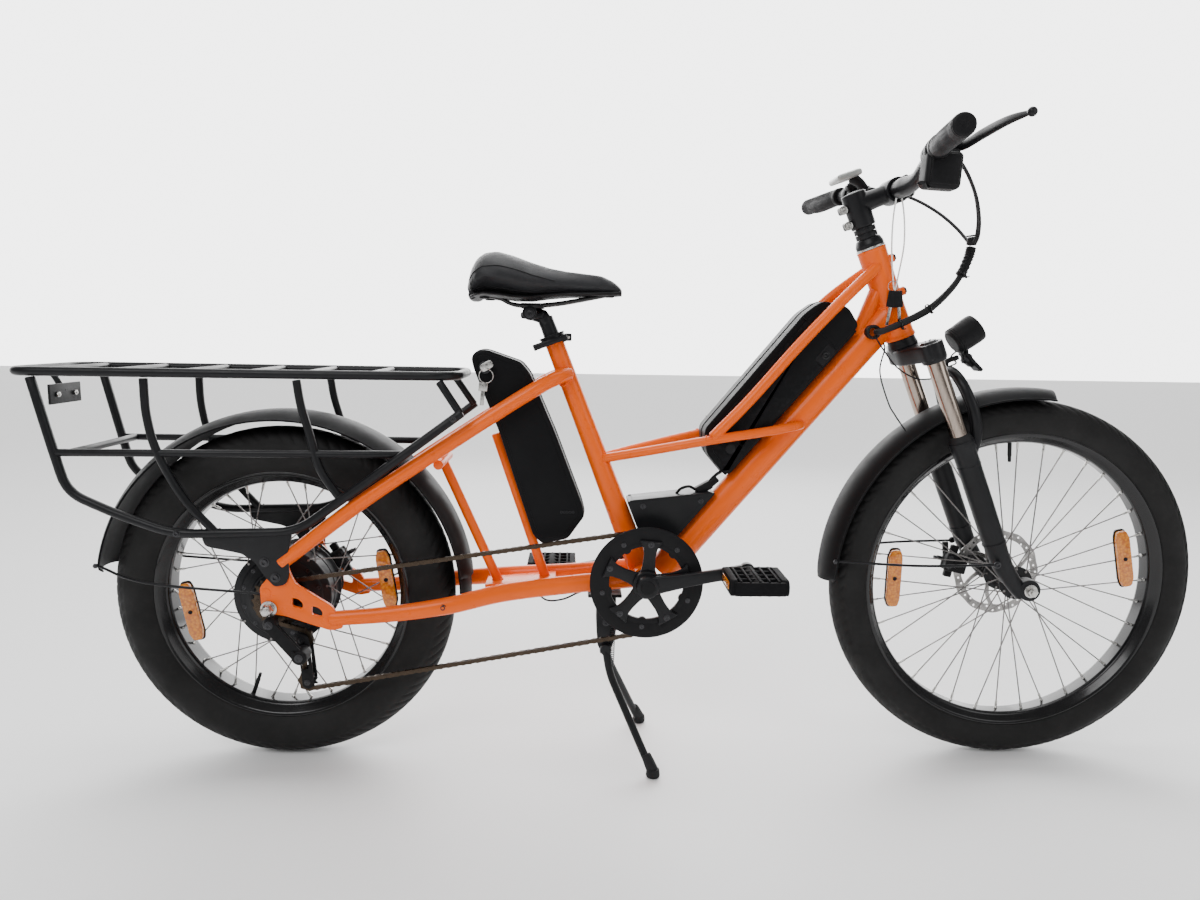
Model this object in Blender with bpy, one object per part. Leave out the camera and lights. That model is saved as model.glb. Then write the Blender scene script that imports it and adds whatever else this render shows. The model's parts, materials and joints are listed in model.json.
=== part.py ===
"""Long-tail electric cargo bicycle, built as separate named pieces with real joint axes.

Everything is laid out in metres in the bicycle's own plane: x runs forward from the rear axle,
y to the rider's left and z up from the ground.  The root empty then moves the rear axle back, so
that the origin lies on the ground under the middle of the bicycle.
"""
from math import cos, pi, radians, sin

import bmesh
import bpy
from mathutils import Matrix, Vector

# ---------------------------------------------------------------- driving dimensions
REAR_AXLE_X = -0.612          # rear axle from the origin
WHEELBASE = 1.297
GAP = 0.0004                  # clearance between touching pieces
REAR_WHEEL_R = 0.2955         # 20 x 4.0 tyre
REAR_TYRE_R = 0.0465
FRONT_WHEEL_R = 0.3271        # 24 x 3.0 tyre
FRONT_TYRE_R = 0.0357
RIM_DEPTH = 0.012
SPOKES = 36
WHEEL_SEGMENTS = 36
SPOKE_SIDE = 0.0024
DROPOUT_Y = 0.097

HEAD_ANGLE = radians(68)
FORK_RAKE = 0.0475
LEG_Y = 0.066                 # fork leg centres from the middle
LEG_FORWARD = 0.019           # fork legs in front of the steering axis
STANCHION_R = 0.0145
LOWER_LEG_R = 0.0195
HEAD_LOW = 0.484              # head tube ends, up the steering axis
HEAD_HIGH = 0.646
HEAD_TUBE_R = 0.0245
STEERER_R = 0.0143

BB = Vector((0.631, 0.0, 0.336))
BB_SHELL_R = 0.0215
BB_HALF = 0.050
CRANK = 0.170
CRANK_TILT = radians(10)
CHAIN_Y = -0.068
RING_R = 0.0885
COG_R = 0.0338
CHAIN_HALF_WIDTH = 0.0030
CHAIN_HALF_HEIGHT = 0.0042

SEAT_POST_R = 0.0136
RAIL_R = 0.0035
SEAT_TUBE_TOP = Vector((0.4645, 0.0, 0.7511))
SEAT_TUBE_LOW = BB + Vector((-0.008, 0.0, 0.010))
DOWN_TUBE_R = 0.0245
STAY_R = 0.0125
TOP_TUBE_R = 0.0095
CONTROLLER_HALF = 0.030

RACK_TOP_Z = 0.685
RACK_R = 0.0075
RACK_REAR_X = -0.398
RACK_FRONT_X = 0.312
RACK_REAR_HALF = 0.1060
RACK_FRONT_HALF = 0.0900

STAND_PIVOT = Vector((0.565, 0.0, 0.200))
STAND_FOOT_X = {"left": 0.638, "right": 0.647}
STAND_FOOT_Y = 0.105

REAR_AXLE = Vector((0.0, 0.0, REAR_WHEEL_R))
FRONT_AXLE = Vector((WHEELBASE, 0.0, FRONT_WHEEL_R))
STEER_UP = Vector((-cos(HEAD_ANGLE), 0.0, sin(HEAD_ANGLE)))
STEER_FORWARD = Vector((sin(HEAD_ANGLE), 0.0, cos(HEAD_ANGLE)))
STEER_BASE = FRONT_AXLE - FORK_RAKE * STEER_FORWARD
Y_AXIS = Vector((0.0, 1.0, 0.0))
SIDES = {"left": 1.0, "right": -1.0}


def steer(up, forward=0.0, side=0.0):
    """A point given by its height up the steering axis, in front of it and to its left."""
    return STEER_BASE + up * STEER_UP + forward * STEER_FORWARD + side * Y_AXIS


# ---------------------------------------------------------------- scene and materials
for item in list(bpy.data.objects):
    bpy.data.objects.remove(item)

ROOT = bpy.data.objects.new("bicycle", None)
bpy.context.scene.collection.objects.link(ROOT)
ROOT.location = (REAR_AXLE_X, 0.0, 0.0)

FINISHES = {
    "orange_paint": ((0.83, 0.19, 0.012), 0.25, 0.0),
    "black_satin": ((0.014, 0.015, 0.019), 0.42, 0.1),
    "black_gloss": ((0.010, 0.010, 0.012), 0.18, 0.1),
    "black_plastic": ((0.018, 0.018, 0.021), 0.55, 0.0),
    "tyre_rubber": ((0.020, 0.019, 0.019), 0.80, 0.0),
    "grip_rubber": ((0.016, 0.016, 0.018), 0.72, 0.0),
    "saddle_skin": ((0.018, 0.019, 0.026), 0.58, 0.0),
    "steel": ((0.52, 0.50, 0.48), 0.28, 1.0),
    "rotor_steel": ((0.44, 0.43, 0.41), 0.32, 1.0),
    "chain_steel": ((0.20, 0.16, 0.12), 0.40, 1.0),
    "display_grey": ((0.42, 0.43, 0.41), 0.30, 0.2),
}


def material(name):
    """The named finish as a Principled material, made on first use."""
    if name in bpy.data.materials:
        return bpy.data.materials[name]
    colour, roughness, metallic = FINISHES[name]
    made = bpy.data.materials.new(name)
    made.use_nodes = True
    shader = made.node_tree.nodes["Principled BSDF"]
    shader.inputs["Base Color"].default_value = (*colour, 1.0)
    shader.inputs["Roughness"].default_value = roughness
    shader.inputs["Metallic"].default_value = metallic
    return made


# ---------------------------------------------------------------- solid making
def solid(mesh):
    """A working object that holds one solid, in the bicycle's own plane."""
    mesh.normal_update()
    bmesh.ops.recalc_face_normals(mesh, faces=mesh.faces)
    if mesh.calc_volume(signed=True) < 0:
        bmesh.ops.reverse_faces(mesh, faces=mesh.faces)
    data = bpy.data.meshes.new("solid")
    mesh.to_mesh(data)
    mesh.free()
    made = bpy.data.objects.new("solid", data)
    bpy.context.scene.collection.objects.link(made)
    return made


def join(base, *others, operation="UNION"):
    """Base with the other solids joined to it, or cut from it."""
    for other in others:
        step = base.modifiers.new("step", "BOOLEAN")
        step.operation = operation
        step.object = other
    graph = bpy.context.evaluated_depsgraph_get()
    data = bpy.data.meshes.new_from_object(base.evaluated_get(graph))
    base.modifiers.clear()
    base.data = data
    for other in others:
        bpy.data.objects.remove(other)
    return base


def cut(base, *others):
    """Base with the other solids cut from it."""
    return join(base, *others, operation="DIFFERENCE")


def finish(made, name, finish_name, pivot=None, smooth=35.0):
    """Names the solid, gives it its finish and sets its origin on its joint's axis."""
    pivot = Vector(pivot) if pivot is not None else Vector((0.0, 0.0, 0.0))
    made.name = name
    made.data.name = name
    made.data.transform(Matrix.Translation(-pivot))
    made.data.materials.clear()
    made.data.materials.append(material(finish_name))
    made.data.shade_smooth()
    made.data.set_sharp_from_angle(angle=radians(smooth))
    made.parent = ROOT
    made.location = pivot
    return made


def curve_through(points, steps):
    """Points on a smooth curve through the given ones."""
    knots = [Vector(p) for p in points]
    knots = [2 * knots[0] - knots[1]] + knots + [2 * knots[-1] - knots[-2]]
    made = []
    for i in range(1, len(knots) - 2):
        a, b, c, d = knots[i - 1:i + 3]
        for s in range(steps):
            t = s / steps
            made.append(0.5 * (2 * b + (c - a) * t + (2 * a - 5 * b + 4 * c - d) * t * t
                               + (3 * b - a - 3 * c + d) * t ** 3))
    made.append(knots[-2])
    return made


def rounded_path(points, radius, steps=4):
    """A path of straight runs whose corners are arcs of about the given radius."""
    knots = [Vector(p) for p in points]
    made = [knots[0]]
    for before, corner, after in zip(knots, knots[1:], knots[2:]):
        reach = min(radius, 0.45 * (corner - before).length, 0.45 * (after - corner).length)
        start = corner + (before - corner).normalized() * reach
        end = corner + (after - corner).normalized() * reach
        for s in range(steps + 1):
            t = s / steps
            made.append((1 - t) ** 2 * start + 2 * t * (1 - t) * corner + t * t * end)
    made.append(knots[-1])
    return made


def sweep(points, radius, sides=8, flatten=1.0, closed=False, side_hint=Y_AXIS):
    """A bar of round or oval section along a path; radius may be one value per point."""
    path = [Vector(p) for p in points]
    count = len(path)
    radii = list(radius) if isinstance(radius, (list, tuple)) else [radius] * count
    mesh = bmesh.new()
    rings = []
    across = None
    for i, point in enumerate(path):
        before = path[i - 1] if (i or closed) else path[i]
        after = path[(i + 1) % count] if (i < count - 1 or closed) else path[i]
        along = (after - before).normalized()
        if across is None:
            across = side_hint if abs(side_hint.dot(along)) < 0.9 else Vector((0.0, 0.0, 1.0))
        across = (across - along * across.dot(along)).normalized()
        other = along.cross(across)
        ring = []
        for k in range(sides):
            angle = 2 * pi * (k + 0.5) / sides
            offset = across * cos(angle) * flatten + other * sin(angle)
            ring.append(mesh.verts.new(point + radii[i] * offset))
        rings.append(ring)
    pairs = list(zip(rings, rings[1:]))
    if closed:
        pairs.append((rings[-1], rings[0]))
    for one, two in pairs:
        for k in range(sides):
            mesh.faces.new((one[k], one[(k + 1) % sides], two[(k + 1) % sides], two[k]))
    if not closed:
        mesh.faces.new(rings[0])
        mesh.faces.new(list(reversed(rings[-1])))
    return solid(mesh)


def turn(profile, centre, axis=Y_AXIS, segments=48, phase=0.0):
    """A solid of revolution; the profile is a closed loop of (radius, distance along axis)."""
    axis = Vector(axis).normalized()
    across = Vector((1.0, 0.0, 0.0)) if abs(axis.x) < 0.9 else Vector((0.0, 1.0, 0.0))
    across = (across - axis * across.dot(axis)).normalized()
    other = axis.cross(across)
    centre = Vector(centre)
    mesh = bmesh.new()
    on_axis = {}
    rings = []
    for s in range(segments):
        angle = 2 * pi * (s + phase) / segments
        spoke = across * cos(angle) + other * sin(angle)
        ring = []
        for k, (radius, along) in enumerate(profile):
            if radius > 0:
                ring.append(mesh.verts.new(centre + spoke * radius + axis * along))
                continue
            if k not in on_axis:
                on_axis[k] = mesh.verts.new(centre + axis * along)
            ring.append(on_axis[k])
        rings.append(ring)
    count = len(profile)
    for s in range(segments):
        one = rings[s]
        two = rings[(s + 1) % segments]
        for k in range(count):
            corners = [one[k], one[(k + 1) % count], two[(k + 1) % count], two[k]]
            corners = [c for i, c in enumerate(corners) if c not in corners[:i]]
            if len(corners) > 2:
                mesh.faces.new(corners)
    return solid(mesh)


def plug(radius, low, high, centre, axis=Y_AXIS, segments=24, bevel=0.0):
    """A round bar between two distances along its axis, with bevelled rims."""
    profile = [(0.0, low), (radius - bevel, low), (radius, low + bevel)]
    profile += [(radius, high - bevel), (radius - bevel, high), (0.0, high)]
    if not bevel:
        profile = [(0.0, low), (radius, low), (radius, high), (0.0, high)]
    return turn(profile, centre, axis, segments)


def ring(inner, outer, low, high, centre, axis=Y_AXIS, segments=32):
    """A plain ring between two distances along its axis."""
    profile = [(inner, low), (outer, low), (outer, high), (inner, high)]
    return turn(profile, centre, axis, segments)


def plate(outline, low, high):
    """An outline of (x, z) points given a thickness across the bicycle, from low to high y."""
    mesh = bmesh.new()
    near = [mesh.verts.new((x, low, z)) for x, z in outline]
    far = [mesh.verts.new((x, high, z)) for x, z in outline]
    mesh.faces.new(near)
    mesh.faces.new(list(reversed(far)))
    for k in range(len(outline)):
        after = (k + 1) % len(outline)
        mesh.faces.new((near[k], far[k], far[after], near[after]))
    return solid(mesh)


def bevelled(made, width, segments=2):
    """The solid with its sharp edges rounded."""
    step = made.modifiers.new("round", "BEVEL")
    step.width = width
    step.segments = segments
    step.limit_method = "ANGLE"
    step.angle_limit = radians(40)
    graph = bpy.context.evaluated_depsgraph_get()
    data = bpy.data.meshes.new_from_object(made.evaluated_get(graph))
    made.modifiers.clear()
    made.data = data
    return made


def block(centre, size, along=(1.0, 0.0, 0.0), up=(0.0, 0.0, 1.0)):
    """A box with its first side along one direction and its third side up another."""
    along = Vector(along).normalized()
    up = Vector(up)
    up = (up - along * up.dot(along)).normalized()
    across = up.cross(along)
    mesh = bmesh.new()
    bmesh.ops.create_cube(mesh, size=1.0)
    for vert in mesh.verts:
        x, y, z = vert.co
        vert.co = Vector(centre) + along * x * size[0] + across * y * size[1] + up * z * size[2]
    return solid(mesh)


def mirrored(point, side):
    """The point with its distance across given towards one side."""
    x, y, z = point
    return Vector((x, side * y, z))


# ---------------------------------------------------------------- frame tubes
def frame_tube_cutter(extra=GAP):
    """The head tube's outside, with clearance, to cope the tubes that meet it."""
    return plug(HEAD_TUBE_R + extra, HEAD_LOW - 0.01, HEAD_HIGH + 0.01, STEER_BASE, STEER_UP, 16)


def seat_line(distance):
    """A point up the seat tube from its foot."""
    along = (SEAT_TUBE_TOP - SEAT_TUBE_LOW).normalized()
    return SEAT_TUBE_LOW + along * distance


SEAT_UP = (SEAT_TUBE_TOP - SEAT_TUBE_LOW).normalized()
SEAT_TUBE_LENGTH = (SEAT_TUBE_TOP - SEAT_TUBE_LOW).length
DOWN_TUBE_TOP = Vector((1.050, 0.0, 0.800))
DOWN_TUBE_LOW = Vector((0.662, 0.0, 0.338))
DOWN_ALONG = (DOWN_TUBE_TOP - DOWN_TUBE_LOW).normalized()
DOWN_OUT = Vector((-DOWN_ALONG.z, 0.0, DOWN_ALONG.x))


def down_point(distance, out=0.0, side=0.0):
    """A point up the down tube from its foot, out from it towards the saddle."""
    return DOWN_TUBE_LOW + DOWN_ALONG * distance + DOWN_OUT * out + Y_AXIS * side


def head_tube():
    """The head tube with its two bearing seats, bored for the steerer."""
    lip = 0.004
    bore = STEERER_R + 0.0012
    wide = HEAD_TUBE_R + 0.0015
    profile = [(bore, HEAD_LOW), (wide, HEAD_LOW), (wide, HEAD_LOW + lip)]
    profile += [(HEAD_TUBE_R, HEAD_LOW + 2 * lip), (HEAD_TUBE_R - 0.001, 0.55)]
    profile += [(HEAD_TUBE_R, HEAD_HIGH - lip)]
    profile += [(HEAD_TUBE_R + 0.001, HEAD_HIGH), (bore, HEAD_HIGH)]
    made = turn(profile, STEER_BASE, STEER_UP, 16)
    for height in (0.559, 0.619):
        boss = plug(0.0075, HEAD_TUBE_R - 0.005, HEAD_TUBE_R + 0.010, steer(height), STEER_FORWARD, 12)
        made = join(made, boss)
    finish(made, "head_tube", "orange_paint")


def down_tube():
    made = sweep([DOWN_TUBE_LOW, down_point(0.30), DOWN_TUBE_TOP], DOWN_TUBE_R, 12, flatten=0.94)
    gusset = sweep([down_point(0.50, 0.006), steer(0.575, -0.012)], [0.010, 0.014], 10, flatten=1.2)
    made = join(made, gusset)
    grommet = plug(0.0125, -0.033, -0.018, Vector((1.013, 0.0, 0.767)), Y_AXIS, 16)
    made = join(made, grommet)
    shell = plug(BB_SHELL_R + GAP, -0.06, 0.06, BB, Y_AXIS, 16)
    made = cut(made, frame_tube_cutter(), shell)
    finish(made, "down_tube", "orange_paint")


def seat_tube():
    """The seat tube, bored for the post, with the bottom bracket shell across its foot."""
    heights = [0.0, 0.14, 0.30, SEAT_TUBE_LENGTH]
    radii = [0.0205, 0.0190, 0.0168, 0.0162]
    tube = sweep([seat_line(h) for h in heights], radii, 12, flatten=0.96)
    shell = plug(BB_SHELL_R, -BB_HALF, BB_HALF, BB, Y_AXIS, 16)
    bore = plug(SEAT_POST_R + GAP, 0.10, SEAT_TUBE_LENGTH + 0.01, SEAT_TUBE_LOW, SEAT_UP, 14)
    hollow = plug(0.0095, -0.06, 0.06, BB, Y_AXIS, 16)
    made = cut(join(tube, shell), bore, hollow)
    finish(made, "seat_tube", "orange_paint")


def brace_path(side):
    """The flat brace that leaves the seat tube, passes the battery and lands on the down tube."""
    points = [(0.556, 0.010, 0.541), (0.640, 0.036, 0.560), (0.747, 0.056, 0.583)]
    points += [(0.830, 0.052, 0.596), (0.884, 0.032, 0.604), (0.900, 0.020, 0.606)]
    return curve_through([mirrored(p, side) for p in points], 2)


def braces_and_top_tubes():
    for name, side in SIDES.items():
        brace = sweep(brace_path(side), 0.0080, 8)
        seat = sweep([seat_line(0.10), seat_line(0.36)], 0.0188, 12, flatten=0.96)
        down = sweep([down_point(0.2), down_point(0.5)], DOWN_TUBE_R + GAP, 12, flatten=0.94)
        brace = cut(brace, seat, down)
        finish(brace, "brace_tube_" + name, "orange_paint")
        points = [steer(0.615, -0.004, 0.016), (0.955, 0.050, 0.823), (0.883, 0.056, 0.747)]
        points += [(0.800, 0.057, 0.650), (0.739, 0.056, 0.585)]
        path = curve_through([mirrored(p, side) for p in points], 3)
        tube = sweep(path, TOP_TUBE_R, 8)
        brace_copy = sweep(brace_path(side), 0.0080 + GAP, 8)
        tube = cut(tube, frame_tube_cutter(), brace_copy)
        keep_largest(tube)
        finish(tube, "top_tube_" + name, "orange_paint")


def keep_largest(made):
    """Drops the small scraps that a coping cut leaves on the far side of the cutter."""
    mesh = bmesh.new()
    mesh.from_mesh(made.data)
    left = set(mesh.verts)
    islands = []
    while left:
        queue = [left.pop()]
        island = set(queue)
        while queue:
            for edge in queue.pop().link_edges:
                for vert in edge.verts:
                    if vert in left:
                        left.discard(vert)
                        island.add(vert)
                        queue.append(vert)
        islands.append(island)
    biggest = max(islands, key=len)
    scraps = [v for v in mesh.verts if v not in biggest]
    bmesh.ops.delete(mesh, geom=scraps, context="VERTS")
    mesh.to_mesh(made.data)
    mesh.free()


DROPOUT = [(-0.014, 0.332), (0.016, 0.368), (0.030, 0.380), (0.037, 0.354), (0.045, 0.338)]
DROPOUT += [(0.104, 0.300), (0.122, 0.262), (0.100, 0.258), (0.026, 0.283), (-0.012, 0.288)]
SEAT_STAY = [(0.020, DROPOUT_Y - 0.002, 0.372), (0.163, 0.090, 0.4815), (0.344, 0.064, 0.603)]
SEAT_STAY += [(0.436, 0.053, 0.662), (0.474, 0.036, 0.682), (0.494, 0.012, 0.688)]
CHAIN_STAY = [(0.098, DROPOUT_Y - 0.001, 0.277), (0.200, 0.090, 0.284), (0.297, 0.083, 0.297)]
CHAIN_STAY += [(0.384, 0.056, 0.311), (0.500, 0.040, 0.322), (0.626, 0.036, 0.334)]


def rear_triangle():
    """Each side's seat stay, chain stay and dropout plate, welded into one piece."""
    for name, side in SIDES.items():
        path = curve_through([mirrored(p, side) for p in SEAT_STAY], 2)
        seat_stay = sweep(path, STAY_R, 10)
        path = curve_through([mirrored(p, side) for p in CHAIN_STAY], 2)
        radii = [0.0125 + 0.0035 * min(1.0, i / 6) for i in range(len(path))]
        chain_stay = sweep(path, radii, 10, flatten=0.8)
        edges = sorted((side * (DROPOUT_Y - 0.0035), side * (DROPOUT_Y + 0.0035)))
        dropout = plate(DROPOUT, *edges)
        for centre, size in (((0.047, 0.305), 0.0085), ((0.079, 0.291), 0.0090)):
            window = plug(size, -0.02, 0.02, (centre[0], side * DROPOUT_Y, centre[1]), Y_AXIS, 10)
            dropout = cut(dropout, window)
        slot = block((-0.004, side * DROPOUT_Y, REAR_WHEEL_R), (0.030, 0.03, 0.0132))
        dropout = cut(dropout, slot)
        made = join(dropout, seat_stay, chain_stay)
        seat = sweep([seat_line(-0.02), seat_line(0.30), seat_line(SEAT_TUBE_LENGTH)],
                     [0.0215, 0.0172, 0.0168], 12, flatten=0.96)
        shell = plug(BB_SHELL_R + GAP, -0.06, 0.06, BB, Y_AXIS, 16)
        made = cut(made, seat, shell)
        keep_largest(made)
        finish(made, "rear_triangle_" + name, "orange_paint")


def centre_struts():
    """Two thin struts in the middle plane with the bridges that tie them to the stays."""
    struts = [((0.273, 0.0, 0.538), (0.371, 0.0, 0.318)), ((0.368, 0.0, 0.582), (0.456, 0.0, 0.322))]
    tubes = [sweep(ends, 0.0085, 10) for ends in struts]
    ends = [(0.276, -0.0580, 0.534), (0.276, 0.0580, 0.534)]
    top_rear = sweep(ends, 0.0085, 10, side_hint=Vector((1, 0, 0)))
    low = block((0.413, 0.0, 0.3165), (0.125, 0.0540, 0.012), (1.0, 0.0, 0.09))
    made = join(low, *tubes, top_rear)
    finish(made, "centre_struts", "orange_paint")


# ---------------------------------------------------------------- rack
def rack_half(x):
    """Half the rack's width at a place along it."""
    share = (x - RACK_REAR_X) / (RACK_FRONT_X - RACK_REAR_X)
    return RACK_REAR_HALF + share * (RACK_FRONT_HALF - RACK_REAR_HALF)


def rack_top():
    """The deck: one bent loop with cross bars inside it."""
    corners = [(RACK_REAR_X, 0.0), (RACK_REAR_X, RACK_REAR_HALF), (RACK_FRONT_X, RACK_FRONT_HALF)]
    corners += [(RACK_FRONT_X, -RACK_FRONT_HALF), (RACK_REAR_X, -RACK_REAR_HALF), (RACK_REAR_X, 0.0)]
    path = rounded_path([(x, y, RACK_TOP_Z) for x, y in corners], 0.045)[:-1]
    made = sweep(path, RACK_R, 8, closed=True, side_hint=Vector((0, 0, 1)))
    bars = []
    for x in (-0.345, -0.238, -0.128, -0.026, 0.068, 0.172):
        reach = rack_half(x)
        bars.append(sweep([(x, -reach, RACK_TOP_Z), (x, reach, RACK_TOP_Z)], 0.0060, 5,
                          side_hint=Vector((1, 0, 0))))
    made = join(made, *bars, tail_plate())
    finish(made, "rack_deck", "black_satin")


def rack_sides():
    """Each side's bent guard tube with its rail, posts and foot plate."""
    top = RACK_TOP_Z - RACK_R - 0.0034
    for name, side in SIDES.items():
        def at(x, z, offset=0.0, side=side):
            return Vector((x, side * (rack_half(x) + offset), z))
        guard = [at(-0.359, top), at(-0.330, 0.552), at(-0.314, 0.490), at(-0.238, 0.454), at(-0.150, 0.4215)]
        guard += [at(0.050, 0.4265, 0.004), at(0.160, 0.5065, 0.008), at(0.322, 0.627, 0.010)]
        made = sweep(rounded_path(guard, 0.030, 2), RACK_R, 8)
        rail = sweep([at(-0.329, 0.555), at(0.231, 0.556)], 0.0062, 6)
        posts = [[at(-0.184, top), at(-0.168, 0.555), at(-0.130, 0.480), at(-0.082, 0.424)]]
        posts += [[at(0.056, top), at(0.074, 0.590), at(0.090, 0.530), at(0.124, 0.479, 0.004)]]
        posts += [[at(0.284, top), at(0.319, 0.624, 0.006)]]
        bars = [sweep(p, 0.0065, 6) for p in posts]
        foot = [(-0.104, 0.418), (-0.098, 0.402), (-0.040, 0.390), (-0.020, 0.377), (-0.004, 0.352)]
        foot += [(0.012, 0.334), (0.030, 0.338), (0.036, 0.352), (0.036, 0.395), (0.044, 0.426)]
        edges = sorted((side * (DROPOUT_Y + 0.0040), side * (DROPOUT_Y + 0.0075)))
        made = join(made, rail, *bars, plate(foot, *edges))
        if side > 0:
            reach = rack_half(-0.305)
            ends = [(-0.305, GAP + 0.0062 - reach, 0.555), (-0.305, reach, 0.555)]
            made = join(made, sweep(ends, 0.0062, 8, side_hint=Vector((1, 0, 0))))
        path = curve_through([mirrored(p, side) for p in SEAT_STAY[:4]], 2)
        made = cut(made, sweep(path, STAY_R + 0.0012, 10))
        keep_largest(made)
        finish(made, "rack_side_" + name, "black_satin")


def tail_plate():
    """The small rear plate under the deck that holds the reflector bolts."""
    made = bevelled(block((-0.368, 0.0, 0.643), (0.004, 0.090, 0.034), up=(0.2, 0, 1)), 0.001, 1)
    stem = sweep([(-0.395, 0.0, 0.683), (-0.369, 0.0, 0.645)], 0.0050, 6)
    bolts = [plug(0.0075, -0.005, 0.004, (-0.368, y, 0.643), (-1.0, 0.0, 0.2), 8) for y in (-0.025, 0.025)]
    return join(made, stem, *bolts)


# ---------------------------------------------------------------- wheels
def wheel(label, axle, outer, tyre_r, hub_r, flange_y, rim_half):
    """Tyre, rim and laced spokes around one axle."""
    middle = outer - tyre_r
    bead = middle - 0.80 * tyre_r
    rim_in = bead - RIM_DEPTH
    profile = []
    for k in range(8):
        angle = radians(-128 + 256 * k / 7)
        profile.append((middle + tyre_r * cos(angle), tyre_r * sin(angle)))
    tyre = turn(profile, axle, Y_AXIS, WHEEL_SEGMENTS)
    finish(tyre, label + "_tyre", "tyre_rubber", axle)
    half = rim_half
    edge = middle + tyre_r * cos(radians(128)) - GAP * 2
    rim = [(rim_in, -0.55 * half), (edge, -half), (edge, half), (rim_in, 0.55 * half)]
    finish(turn(rim, axle, Y_AXIS, WHEEL_SEGMENTS), label + "_rim", "black_gloss", axle)
    seat = rim_in - GAP
    band = ring(seat - 0.0016, seat, -0.0045, 0.0045, axle, Y_AXIS, WHEEL_SEGMENTS)
    spokes = []
    for k in range(SPOKES):
        side = 1 if k % 2 else -1
        lean = radians(34) * (1 if (k // 2) % 2 else -1)
        angle = 2 * pi * k / SPOKES
        root_r = hub_r + 0.0006
        root_y = side * flange_y + (0.0022 if lean > 0 else -0.0022)
        root = Vector((root_r * cos(angle + lean), root_y, root_r * sin(angle + lean)))
        tip = Vector(((seat - 0.0009) * cos(angle), side * 0.0015, (seat - 0.0009) * sin(angle)))
        spokes.append(sweep([axle + root, axle + tip], SPOKE_SIDE / 2, 3))
    finish(join(band, *spokes), label + "_spokes", "steel", axle)


def rotor(label, axle, radius, y, bore):
    """A brake disc: outer band, six arms and an inner ring."""
    band = ring(radius - 0.014, radius, y - 0.0009, y + 0.0009, axle, Y_AXIS, 18)
    inner = ring(bore, bore + 0.010, y - 0.0009, y + 0.0009, axle, Y_AXIS, 12)
    arms = []
    for k in range(6):
        angle = 2 * pi * k / 6
        start = Vector(((bore + 0.006) * cos(angle), y, (bore + 0.006) * sin(angle)))
        stop = radius - 0.011
        end = Vector((stop * cos(angle + 0.45), y, stop * sin(angle + 0.45)))
        middle = axle + (start + end) / 2
        arms.append(block(middle, ((end - start).length, 0.0018, 0.007), end - start,
                          up=(start - end).cross(Y_AXIS)))
    finish(join(band, inner, *arms), label + "_rotor", "rotor_steel", axle)


def rear_hub():
    """Hub motor drum with its spoke flanges; the axle passes both dropouts."""
    profile = [(0.0065, -0.0495), (0.034, -0.0495), (0.060, -0.040), (0.083, -0.034), (0.083, -0.030)]
    profile += [(0.079, -0.028), (0.079, 0.028), (0.083, 0.030), (0.083, 0.034), (0.060, 0.040)]
    profile += [(0.026, 0.047), (0.026, 0.0605), (0.0065, 0.0605)]
    finish(turn(profile, REAR_AXLE, Y_AXIS, 18), "hub_motor", "black_satin", REAR_AXLE)


def freewheel():
    """Stepped sprockets on one carrier; the chain runs in the groove over the third."""
    profile = [(0.0068, -0.0895), (0.0225, -0.0895), (0.0225, -0.0810), (0.0255, -0.0810)]
    profile += [(0.0255, -0.0735), (0.0285, -0.0735), (0.0285, -0.0625), (0.0372, -0.0625)]
    profile += [(0.0372, -0.0575), (0.0410, -0.0575), (0.0410, -0.0530), (0.0068, -0.0502)]
    finish(turn(profile, REAR_AXLE, Y_AXIS, 14), "freewheel", "chain_steel", REAR_AXLE)


def rear_axle():
    """The fixed axle of the hub motor with its nuts outside the dropouts."""
    made = plug(0.0060, -0.118, 0.118, REAR_AXLE, Y_AXIS, 14)
    for side in (-1, 1):
        nut_centre = REAR_AXLE + Y_AXIS * side * (DROPOUT_Y + 0.0120)
        made = join(made, plug(0.0105, -0.0075, 0.0075, nut_centre, Y_AXIS, 6))
    finish(made, "rear_axle", "steel")


def front_hub():
    profile = [(0.0056, -0.050), (0.012, -0.050), (0.014, -0.036), (0.029, -0.031), (0.029, -0.028)]
    profile += [(0.017, -0.022), (0.017, 0.020), (0.029, 0.027), (0.029, 0.030), (0.020, 0.033)]
    profile += [(0.020, 0.0415), (0.0056, 0.0415)]
    finish(turn(profile, FRONT_AXLE, Y_AXIS, 14), "front_hub", "black_satin", FRONT_AXLE)


# ---------------------------------------------------------------- fork and fender
def fork_crown():
    """Crown, steerer and the two polished stanchions pressed into it."""
    outline = [(-0.088, 0.000), (-0.084, 0.030), (-0.062, 0.042), (-0.036, 0.034), (-0.016, 0.022)]
    outline += [(0.016, 0.022), (0.036, 0.034), (0.062, 0.042), (0.084, 0.030), (0.088, 0.000)]
    outline += [(0.060, -0.008), (0.024, -0.024), (-0.024, -0.024), (-0.060, -0.008)]
    mesh = bmesh.new()
    low = [mesh.verts.new(steer(0.440, f, s)) for s, f in outline]
    high = [mesh.verts.new(steer(0.468, f, s)) for s, f in outline]
    mesh.faces.new(low)
    mesh.faces.new(list(reversed(high)))
    for k in range(len(outline)):
        after = (k + 1) % len(outline)
        mesh.faces.new((low[k], high[k], high[after], low[after]))
    crown = bevelled(solid(mesh), 0.003, 1)
    race = plug(0.0235, 0.461, HEAD_LOW - GAP, STEER_BASE, STEER_UP, 16)
    steerer = plug(STEERER_R, 0.452, 0.742, STEER_BASE, STEER_UP, 16)
    parts = [race, steerer]
    for side in (-1, 1):
        parts.append(plug(STANCHION_R, 0.165, 0.445, steer(0.0, LEG_FORWARD, side * LEG_Y), STEER_UP, 16))
        parts.append(plug(0.0125, 0.458, 0.474, steer(0.0, LEG_FORWARD, side * LEG_Y), STEER_UP, 14))
    finish(join(crown, *parts), "fork_crown", "black_satin", steer(HEAD_LOW))


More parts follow.
